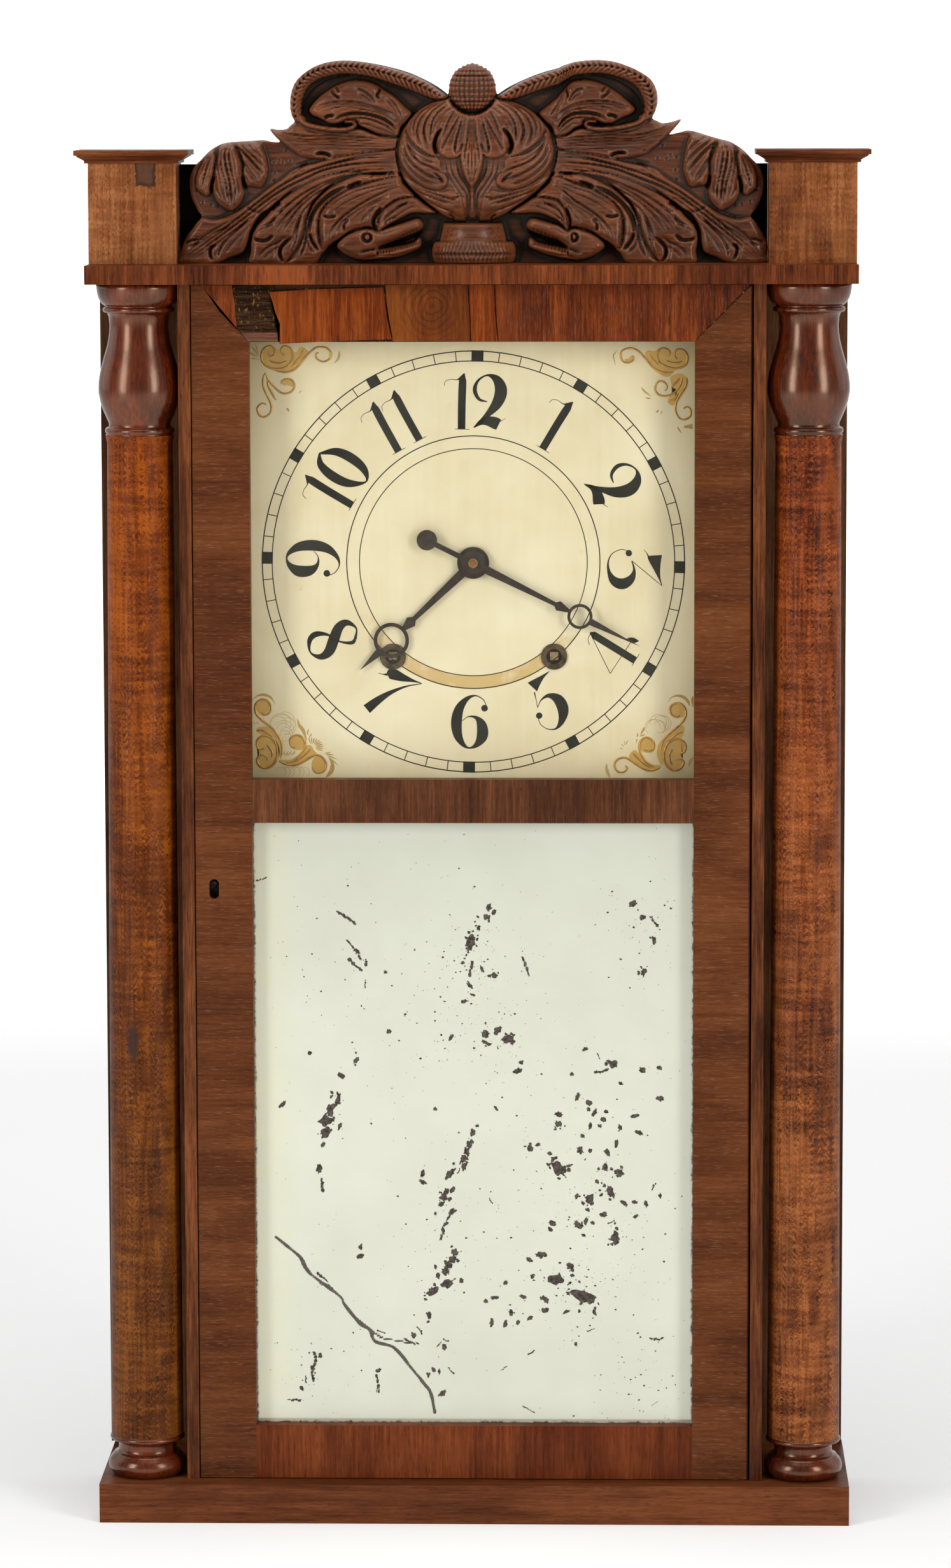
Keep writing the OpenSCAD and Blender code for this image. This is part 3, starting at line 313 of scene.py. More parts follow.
# Back board and its nails.
# A rough pine board, stained dark, is nailed to the back of the case. Where it shows beside the columns it
# lies in shade, and its dark tones also hold painted shade.
back_board_shaded_tones = ((46, 27, 16), (80, 50, 31), (108, 73, 48))
dress(wood("back_board_pine", back_board_shaded_tones, "z", 4.4, 0.65, pores=0.35, rough=(0.6, 0.8), gloss=0.02,
           relief=0.6), "back_board")


def metal(name, dark, light, rough=(0.3, 0.55), shine=1.0, scale=220.0, spots=None):
    """Bare or painted metal with tarnish."""
    dark, light = paint(*dark), paint(*light)
    finish, tree, surface, place = start_finish(name)
    wear = noise(tree, place, scale, 5.0, 0.7)
    colour = tint(tree, span(tree, wear, 0.35, 0.68), dark, light)
    if spots:
        marks = noise(tree, place, scale * 3.0, 3.0, 0.6)
        colour = tint(tree, span(tree, marks, 0.58, 0.7), colour, paint(*spots))
    fill(tree, surface, {"Base Color": colour, "Roughness": span(tree, wear, 0.3, 0.7, rough[1], rough[0]),
                         "Normal": bumped(tree, 0.3, 0.0002, wear), "Metallic": shine})
    return finish


iron = metal("nail_iron", (46, 38, 34), (92, 84, 78), (0.4, 0.65), 0.8)
dress(iron, "back_nails")

# Inner rails.
# Four plain pine boards inside the case, nailed to its back and sides, carry the dial and the movement.
pine_tones = ((142, 104, 66), (176, 136, 92), (204, 168, 122))
pine = wood("rail_pine", pine_tones, "z", 5.9, 0.7, pores=0.2, rough=(0.55, 0.75), gloss=0.05)
dress(pine, "inner_rails")

# Wooden movement.
# Oak plates held by turned maple pillars, cherry wheels and pinions, winding drums of maple, and posts of
# iron wire. It sits on the rails behind the dial and isn't seen in front.
oak_tones = ((138, 104, 66), (172, 134, 88), (198, 162, 114))
oak = wood("plate_oak", oak_tones, "z", 6.2, 0.6, pores=0.6, rough=(0.5, 0.7), gloss=0.05)
dress(oak, "front_plate", "back_plate")
maple_tones = ((184, 146, 98), (208, 172, 124), (226, 196, 152))
maple = wood("turned_maple", maple_tones, "y", 6.8, 0.6, pores=0.15, rough=(0.45, 0.65), gloss=0.12)
dress(maple, "plate_pillars", "time_drum", "strike_drum", "pulley_time", "pulley_strike", "pulley_blocks")
cherry_tones = ((118, 66, 38), (152, 90, 54), (182, 116, 74))
cherry = wood("wheel_cherry", cherry_tones, "x", 7.4, 0.6, pores=0.25, rough=(0.42, 0.6), gloss=0.12)
dress(cherry, "time_great_wheel", "second_wheel", "centre_wheel", "third_wheel", "strike_great_wheel",
      "strike_pin_wheel", "hour_wheel", "minute_wheel", "fly", "pendulum_rod")
brass = metal("worn_brass", (126, 92, 40), (190, 152, 78), (0.28, 0.5), spots=(96, 70, 34))
dress(brass, "escape_wheel", "pendulum_bob")
dress(metal("pipe_brass", (120, 92, 38), (206, 168, 84), (0.3, 0.5), 0.5), "minute_pipe")
dress(metal("hammer_wire", (60, 54, 50), (120, 112, 104)), "hammer", "verge", "wire_posts")
dress(metal("bell_metal", (116, 88, 48), (168, 134, 78), (0.22, 0.42)), "bell")

# Cast weights and their cords.
# Two iron weights hang in the sides of the case on cords, which run from the drums over pulleys under the
# cornice. The hanging stretch of each cord runs straight down from its pulley to its weight's eye.
weight_iron = metal("cast_iron", (40, 38, 37), (78, 74, 70), (0.55, 0.8), 0.6, 140.0, (96, 58, 38))
dress(weight_iron, "time_weight", "strike_weight")
cord_r = 0.001
cord_y = 0.01375
drum_at = (0.0475, 0.5139)
pulley_at = (0.11775, 0.716)
weight_x = 0.1299
eye_z = 0.190
round_drum = 0.01515
round_pulley = 0.01215


def read_field(tree, name, kind="Fac"):
    """What a mesh keeps under a name, at each of its points."""
    return add(tree, "ShaderNodeAttribute", attribute_name=name).outputs[kind]


def twisted_cord(name):
    """Twisted linen cord: the strands run round the cord, along its own lengthwise map."""
    finish, tree, surface, _ = start_finish(name)
    run = read_field(tree, "cord_run", "Vector")
    along, round_it = parts_of(tree, run)[:2]
    strand = sum_up(tree, "FRACT", plus(tree, times(tree, along, 900.0), round_it))
    hill = sum_up(tree, "PINGPONG", strand, 0.5)
    fuzz = noise(tree, run, 900.0, 3.0)
    # Painted shade in the grooves between the strands and painted highlight on their crests.
    strand_shading = plus(tree, times(tree, hill, 1.2), times(tree, fuzz, 0.5))
    colour = shades(tree, strand_shading, [(0.15, paint(88, 70, 46)), (0.5, paint(150, 126, 88)),
                                  (0.9, paint(186, 164, 124))])
    fill(tree, surface, {"Base Color": colour, "Normal": bumped(tree, 0.5, 0.0003, hill), "Roughness": 0.9})
    return finish


def mesh_of(name, points, faces=(), edges=()):
    """A new mesh from its points, faces and edges."""
    mesh = bpy.data.meshes.new(name)
    mesh.from_pydata([tuple(p) for p in points], list(edges), list(faces))
    return mesh


def outward(piece, close=1e-6):
    """Merges doubles and turns the faces outwards."""
    work = bmesh.new()
    work.from_mesh(piece.data)
    if close:
        bmesh.ops.remove_doubles(work, verts=work.verts, dist=close)
        bmesh.ops.dissolve_degenerate(work, edges=work.edges, dist=close)
    bmesh.ops.recalc_face_normals(work, faces=work.faces)
    work.to_mesh(piece.data)
    work.free()


def cord_piece(name, centre, finish):
    """A round cord swept along its centre line, with its lengthwise map."""
    sides = 10
    centre = [Vector(p) for p in centre]
    verts = []
    runs = []
    run = 0.0
    for n, p in enumerate(centre):
        before = centre[max(n - 1, 0)]
        after = centre[min(n + 1, len(centre) - 1)]
        way = (after - before).normalized()
        side = way.cross(Vector((0.0, 1.0, 0.0))).normalized()
        run += (p - before).length
        for k in range(sides):
            turn = 2.0 * math.pi * k / sides
            verts.append(p + side * (cord_r * math.cos(turn)) + Vector((0.0, cord_r * math.sin(turn), 0.0)))
            runs.append((run, k / sides, 0.0))
    faces = [
        (n * sides + k, n * sides + (k + 1) % sides, (n + 1) * sides + (k + 1) % sides, (n + 1) * sides + k)
        for n in range(len(centre) - 1) for k in range(sides)
    ]
    faces.append(tuple(reversed(range(sides))))
    faces.append(tuple((len(centre) - 1) * sides + k for k in range(sides)))
    piece = stand(name, mesh_of(name, verts, faces))
    attribute = piece.data.attributes.new("cord_run", "FLOAT_VECTOR", "POINT")
    attribute.data.foreach_set("vector", np.array(runs, np.float32).ravel())
    outward(piece, 0.0)
    piece.data.shade_smooth()
    dress(finish, piece)
    return piece


linen = twisted_cord("weight_cord_linen")
reach = math.dist(drum_at, pulley_at)
way_up = math.atan2(pulley_at[1] - drum_at[1], pulley_at[0] - drum_at[0])
lean = math.asin((round_drum + round_pulley) / reach)
for side, body in ((1, "time"), (-1, "strike")):
    leave = way_up + lean + math.pi / 2.0
    over = [(pulley_at[0] + round_pulley * math.cos(t),
             pulley_at[1] + round_pulley * math.sin(t)) for t in np.linspace(leave, 0.0, 22)]
    foot = (drum_at[0] - round_drum * math.cos(leave), drum_at[1] - round_drum * math.sin(leave))
    rise = [(foot[0] + (over[0][0] - foot[0]) * t,
             foot[1] + (over[0][1] - foot[1]) * t) for t in np.linspace(0.0, 1.0, 24)]
    upper = [(side * x, cord_y, z) for x, z in rise[:-1] + over]
    fixed = cord_piece(body + "_cord_over_pulley", upper, linen)
    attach(fixed, "case")
    hang = [(side * weight_x, cord_y, z) for z in np.linspace(pulley_at[1], eye_z, 60)]
    loose = cord_piece(body + "_cord_to_weight", hang, linen)
    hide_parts(body + "_line")
    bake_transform(loose)

# Columns.
# Free-standing mahogany columns, turned and veneered: a ringed base, a tapering shaft with rippled
# figure, and a vase-shaped capital under the cornice. They stand on the plinth and carry the cornice.
# The turned outline: radius and height in millimetres.
column_profile = [
    (0, 23.5), (19, 23.5), (20.6, 24.5), (21.9, 25.8), (22.9, 27.4), (23.3, 29.1), (23.3, 31),
    (22.8, 32.7), (21.9, 34.3), (20.6, 35.6), (20, 36.7), (18.7, 37.1), (17.7, 37.8), (17.3, 39.1),
    (17.2, 40.7), (17.3, 42.3), (17.7, 43.6), (20.3, 44.9), (21.5, 45.1), (22, 45.5), (22.2, 46),
    (22.3, 46.6), (22.1, 47.2), (21.8, 47.7), (21.2, 48), (21.5, 49.1), (21.1, 147.8), (20.7, 246.4),
    (20.4, 345.1), (20, 443.7), (19.6, 542.4), (19.2, 641), (20.1, 645.5), (19, 645.9), (19.9, 646.6),
    (20.4, 647.8), (20.2, 649), (19.4, 649.9), (18.2, 650.2), (18, 650.6), (18, 652.4), (19.2, 655),
    (20.3, 657.5), (21.4, 660.1), (22.3, 662.6), (23.1, 665.2), (23.6, 667.8), (24, 670.3), (24.1, 672.9),
    (23.9, 676.5), (23.4, 680.1), (22.7, 683.7), (21.7, 687.3), (20.7, 690.9), (19.6, 694.5),
    (18.6, 698.1), (17.9, 701.7), (17.4, 705.3), (17.2, 708.9), (17.6, 714), (18.6, 717), (19.6, 717),
    (20.5, 717.3), (21.1, 718.1), (21.1, 719.1), (20.5, 719.9), (19.6, 720.2), (18.9, 720.2),
    (20.4, 721.2), (21.6, 722.1), (22.7, 723.6), (23.7, 725.6), (24.4, 728.2), (24.8, 731), (25, 734),
    (0, 734),
]


def shape_tree(name, **inputs):
    """A new shape tree with named inputs and one shape as its output."""
    tree = bpy.data.node_groups.new(name, "GeometryNodeTree")
    for title, kind in inputs.items():
        tree.interface.new_socket(name=title.replace("_", " "), in_out="INPUT",
                                  socket_type="NodeSocket" + kind)
    tree.interface.new_socket(name="Shape", in_out="OUTPUT", socket_type="NodeSocketGeometry")
    return tree, add(tree, "NodeGroupInput").outputs


def end_shape(tree, shape, finish):
    """The last nodes of a shape tree: real meshes with their finish."""
    real = add(tree, "GeometryNodeRealizeInstances", {0: shape})
    done = add(tree, "GeometryNodeSetMaterial", {"Geometry": real.outputs[0], "Material": finish})
    add(tree, "NodeGroupOutput", {0: done.outputs[0]})
    return tree


def turned_shape():
    """A lathe: the points of the profile, in order, carried round the upright axis at a place."""
    tree, (profile, sides, place, finish, _) = shape_tree("turned_shape", Profile="Geometry", Sides="Int",
                                                          Place="Vector", Finish="Material")
    count = add(tree, "GeometryNodeAttributeDomainSize", {0: profile}).outputs["Point Count"]
    rows = add(tree, "GeometryNodeMeshGrid", {"Size X": 1.0, "Size Y": 1.0, "Vertices X": sides,
                                              "Vertices Y": count})
    position = add(tree, "GeometryNodeInputPosition").outputs[0]
    here = parts_of(tree, position)
    turn = times(tree, plus(tree, here[0], 0.5), 2.0 * math.pi)
    last = minus(tree, count, 1.0)
    order = sum_up(tree, "ROUND", times(tree, plus(tree, here[1], 0.5), last))
    kept = add(tree, "GeometryNodeSampleIndex", {"Geometry": profile, "Index": order},
               data_type="FLOAT_VECTOR", clamp=True)
    fill(tree, kept, {"Value": position})
    spun = add(tree, "ShaderNodeVectorRotate", {"Vector": socket(kept.outputs, "Value"), "Angle": turn},
               rotation_type="Z_AXIS")
    moved = apart(tree, spun.outputs[0], place, "ADD")
    shape = add(tree, "GeometryNodeSetPosition", {"Geometry": rows.outputs[0], "Position": moved})
    joined = add(tree, "GeometryNodeMergeByDistance", {"Geometry": shape.outputs[0], "Distance": 1e-6})
    smooth = add(tree, "GeometryNodeSetShadeSmooth", {0: joined.outputs[0]})
    return end_shape(tree, smooth.outputs[0], finish)


def shaped(name, tree, start_mesh, **values):
    """Runs a shape tree on a mesh and keeps the result as a plain mesh."""
    piece = stand(name, start_mesh)
    modifier = piece.modifiers.new("shape", "NODES")
    modifier.node_group = tree
    for item in tree.interface.items_tree:
        if item.item_type == "SOCKET" and item.in_out == "INPUT" and item.name.replace(" ", "_") in values:
            modifier[item.identifier] = values[item.name.replace(" ", "_")]
    evaluated = piece.evaluated_get(bpy.context.evaluated_depsgraph_get())
    plain = bpy.data.meshes.new_from_object(evaluated)
    piece.modifiers.clear()
    piece.data = plain
    plain.name = name
    return piece


def shaft_veneer(name, seed, tones, golden, scar):
    """Rippled veneer, lighter and more golden towards the top, with one old dark scar."""
    finish = wood(name, tones, "z", seed, 0.42, ripple=0.26, rough=(0.36, 0.52), gloss=0.12, curl=0.001)
    tree, surface, place, colour = reopened(finish)
    up = parts_of(tree, place)[2]
    drift = times(tree, noise(tree, place, 9.0, 3.0), 0.35)
    upper = span(tree, plus(tree, up, drift), 0.42, 0.78, 0.0, 0.75)
    colour = tint(tree, upper, colour, paint(*golden), "SOFT_LIGHT")
    off = add(tree, "ShaderNodeMapping", {"Vector": apart(tree, place, scar), "Rotation": (0.0, -0.45, 0.0),
                                          "Scale": (1.0, 1.0, 0.3)})
    far = length(tree, off.outputs[0])
    far = plus(tree, far, times(tree, noise(tree, place, 300.0, 3.0), 0.0022))
    colour = tint(tree, span(tree, far, 0.0050, 0.0036, 0.0, 0.85), colour, paint(56, 40, 32))
    fill(tree, surface, {"Base Color": colour})
    return finish


lathe = turned_shape()
column_foot, shaft_low, shaft_top, column_height = 0.0235, 0.0483, 0.6445, 0.71
left_lean, right_lean = 0.0013, 0.0002
column_y = front_y + 0.030
turned_wood = wood("turned_mahogany", ((26, 8, 2), (76, 25, 9), (116, 46, 18)), "z", 9.0, 0.6, pores=0.3,
                   rough=(0.19, 0.28), gloss=0.9, relief=0.1)
fill(turned_wood.node_tree, reopened(turned_wood)[1], {"Specular Tint": (1.0, 0.68, 0.48, 1.0)})
left_tones = ((56, 25, 6), (104, 54, 16), (150, 88, 32))
# The right shaft's tones are lighter than the left's: partly its own veneer, partly painted light for its
# brighter sheen.
right_tones_with_sheen = ((56, 25, 9), (128, 68, 33), (180, 108, 58))
shafts = {
    "column_left": shaft_veneer("left_shaft_veneer", 7.0, left_tones, (240, 190, 90),
                                (-0.2010, -0.0485, 0.288)),
    "column_right": shaft_veneer("right_shaft_veneer", 9.0, right_tones_with_sheen, (200, 160, 120),
                                 (0.1870, -0.0480, 0.690)),
}
for side, node in ((-1, "column_left"), (1, "column_right")):
    points = [(r / 1000.0, 0.0, z / 1000.0) for r, z in column_profile]
    steps = [(n, n + 1) for n in range(len(points) - 1)]
    profile = mesh_of(node + "_profile", points, edges=steps)
    column = shaped(node.replace("column", "turned_column"), lathe, profile, Sides=129,
                    Place=(side * 0.196, column_y, 0.0), Finish=turned_wood)
    outward(column)
    dress(turned_wood, column)
    column.data.materials.append(shafts[node])
    for face in column.data.polygons:
        face.material_index = int(shaft_low < face.center.z < shaft_top)
    lean = left_lean if side < 0 else right_lean
    for point in column.data.vertices:
        point.co.x += lean * (point.co.z - column_foot) / column_height
    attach(column, "case")
    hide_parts(node)

# Chimney blocks and caps.
# Pine blocks faced with bright figured mahogany stand on the cornice's ends, under thin moulded caps.
chip_x, chip_z = -0.1904, 0.7978
chip_outer, chip_rim, chip_inner = 0.0088, 0.0078, 0.0062
block_tones = ((94, 44, 15), (139, 78, 36), (178, 114, 66))
# A piece is chipped out of the left block's veneer, and the place has gone dark.
blocks = wood("block_veneer", block_tones, "z", 12.6, 0.55, ripple=0.2, pores=0.5, curl=0.0003, gloss=0.2)
tree, surface, place, colour = reopened(blocks)
chip = apart(tree, place, (chip_x, 0.0, chip_z))
chip = parts_of(tree, apart(tree, chip, (0.0, 0.0, 0.0), "ABSOLUTE"))
chip = most(tree, chip[0], times(tree, chip[2], 0.75))
chip = plus(tree, chip, times(tree, noise(tree, place, 220.0, 4.0, 0.7), 0.005))
lost = span(tree, chip, chip_outer, chip_rim, 0.0, 0.9)
lost_colour = tint(tree, span(tree, chip, chip_inner, chip_rim), paint(84, 56, 40), paint(34, 20, 13))
fill(tree, surface, {"Base Color": tint(tree, lost, colour, lost_colour)})
dress(blocks, "chimney_left", "chimney_right")
cap_tones = ((48, 20, 9), (88, 42, 20), (130, 72, 38))
dress(wood("cap_mahogany", cap_tones, "x", 13.5, 0.5, pores=0.4), "cap_left", "cap_right")

# Carved crest and its panel.
# The crest is carved from one mahogany board, and glued and nailed over a thin dark panel: pineapple,
# leafed globe, collar and rope ring in the middle, and on each side a plaited serpent over acanthus
# sprays, with a lobed scroll outside. Places are in half millimetres, from the middle and the cornice.
def places(numbers, unit=0.5, each=2):
    """Numbers of a unit, taken two or more at a time, as places in millimetres."""
    return [tuple(n * unit for n in numbers[k:k + each]) for k in range(0, len(numbers), each)]


crest_outline = places([
    -344, 1, -343, 9, -341, 18, -335, 32, -326, 44, -317, 54, -323, 63, -329, 77,
    -331, 92, -330, 104, -325, 113, -318, 120, -307, 131, -293, 139, -280, 141, -263, 142, -245, 143, -235,
    141, -225, 141, -230, 147, -237, 156, -228, 155, -218, 156, -213, 160, -208, 165, -211, 173, -213, 183,
    -212, 196, -207, 209, -199, 218, -188, 226, -174, 232, -158, 235, -140, 235, -117, 232, -94, 227, -74,
    221, -56, 213, -40, 204, -28, 195, -28, 197, -27, 202, -26, 210, -21, 221, -15, 226, -9, 229, -4, 231,
    2, 232
])
# Each leaf: its layer, how far it swells, how soft its edge is, and its outline.
carved_leaves = [
    ("side ground", 5.5, 1.5, 2.0, -332, 91, -330, 104, -325, 114, -318, 121, -307, 132, -293, 140, -280,
     142, -263, 142, -245, 144, -225, 142, -213, 136, -200, 132, -179, 129, -163, 123, -181, 117, -200, 113,
     -218, 101, -232, 91, -250, 78, -264, 67, -280, 58, -301, 52, -317, 53, -323, 62, -330, 77),
    ("side leaf left", 6.5, 4.0, 2.6, -323, 102, -319, 112, -313, 121, -305, 131, -299, 125, -298, 113,
     -300, 102, -303, 91, -306, 82, -311, 78, -317, 81, -323, 87, -324, 95),
    ("side leaf right", 6.5, 4.0, 3.0, -280, 140, -263, 142, -247, 139, -242, 129, -239, 118, -238, 106,
     -241, 96, -247, 88, -256, 89, -264, 91, -269, 102, -272, 113, -276, 127),
    ("side leaf middle", 7.0, 4.5, 3.0, -303, 102, -300, 120, -295, 135, -284, 140, -274, 134, -268, 120,
     -268, 106, -269, 93, -266, 83, -268, 74, -273, 67, -281, 61, -289, 63, -298, 70, -303, 80, -304, 91),
    ("upper leaf", 6.5, 2.6, 2.2, -237, 156, -228, 155, -217, 156, -213, 160, -207, 164, -198, 165, -190,
     160, -180, 156, -165, 155, -147, 155, -131, 156, -117, 151, -106, 148, -86, 146, -84, 129, -108, 129,
     -131, 127, -154, 123, -165, 121, -181, 121, -200, 124, -211, 130, -222, 139, -231, 147),
    ("inner leaf", 6.0, 3.6, 3.5, -191, 178, -184, 188, -173, 198, -158, 207, -142, 212, -129, 212, -116,
     209, -104, 202, -90, 193, -79, 182, -71, 174, -76, 165, -83, 158, -86, 147, -97, 147, -111, 150, -124,
     156, -133, 160, -137, 165, -147, 165, -158, 162, -167, 162, -174, 166, -180, 169, -187, 172),
    ("first blade", 6.5, 3.0, 2.4, -344, -1, -343, 11, -337, 28, -326, 44, -317, 54, -301, 52, -284, 57,
     -268, 66, -252, 77, -232, 91, -213, 100, -195, 105, -218, 84, -232, 70, -246, 59, -255, 47, -260, 36,
     -264, 22, -270, 12, -285, 6, -303, -1),
    ("long midrib blade", 7.0, 2.2, 2.6, -264, 66, -245, 83, -225, 97, -211, 108, -195, 114, -179, 118,
     -163, 123, -140, 127, -113, 130, -84, 132, -83, 106, -109, 105, -131, 103, -150, 97, -166, 88, -200,
     88, -223, 75, -246, 59),
    ("second blade", 7.5, 3.4, 2.6, -259, -1, -260, 13, -258, 32, -251, 45, -241, 55, -230, 68, -214, 81,
     -195, 93, -177, 101, -154, 106, -131, 107, -150, 99, -166, 90, -179, 79, -189, 66, -194, 50, -197, 34,
     -203, 20, -211, 8, -216, -1),
    ("third blade", 8.0, 2.6, 2.4, -217, -1, -211, 9, -203, 20, -197, 34, -194, 50, -188, 66, -179, 78,
     -166, 89, -150, 97, -131, 103, -109, 103, -88, 106, -87, 97, -109, 95, -120, 93, -141, 87, -159, 76,
     -174, 63, -179, 50, -180, 36, -177, 22, -171, 17, -177, 10, -186, -1),
    ("inner spray", 7.5, 3.6, 3.0, -177, 18, -180, 34, -180, 50, -176, 63, -165, 75, -147, 86, -131, 92,
     -113, 97, -86, 102, -81, 93, -68, 78, -79, 72, -90, 65, -102, 54, -109, 47, -111, 38, -122, 42, -134,
     39, -145, 35, -154, 29, -164, 23, -172, 17),
    ("small leaf", 8.0, 3.0, 2.2, -111, 37, -111, 50, -108, 60, -97, 70, -85, 76, -68, 77, -56, 69, -43, 58,
     -70, 58, -84, 52, -97, 45),
    ("head", 8.0, 4.0, 2.6, -159, 20, -155, 27, -144, 35, -130, 40, -118, 40, -110, 38, -97, 42, -81, 47,
     -65, 52, -59, 48, -60, 39, -77, 31, -93, 25, -109, 18, -91, 19, -70, 24, -62, 30, -61, 19, -75, 11,
     -91, 6, -111, 4, -132, 3, -148, 9, -157, 16),
]
# Each by the leaf it lies over: its layer, its swell, the length of its plait, and its line with half
# widths, in millimetres.
serpents = {
    "side ground": (6.5, 4.5, 3.2, [
        (-99.7, 83.5, 2.3), (-102.4, 85.4, 3.2), (-103.3, 90.5, 3.3), (-102.5, 97.3, 3.8),
        (-99.9, 103.8, 4.1), (-95.3, 108.5, 4.2), (-88.1, 111.9, 4.2), (-79, 113.7, 4),
        (-69.9, 113.7, 4), (-59.7, 112.2, 4), (-48.3, 109.1, 4.2), (-38.1, 105.7, 4.3),
        (-29, 101.9, 4.1), (-21.6, 98, 3.2), (-15.4, 95.6, 1.6),
    ]),
    "inner leaf": (7.5, 3.0, 0, [
        (-100.8, 83.5, 1.8), (-96.8, 80.8, 1.5), (-90.6, 79.1, 1.4), (-82.6, 77.9, 1.3),
        (-74.6, 77.8, 1.3), (-69.8, 79.1, 1.3), (-68.5, 80.9, 1), (-70.6, 82.1, 0.9), (-74, 81.9, 0.8),
    ]),
}
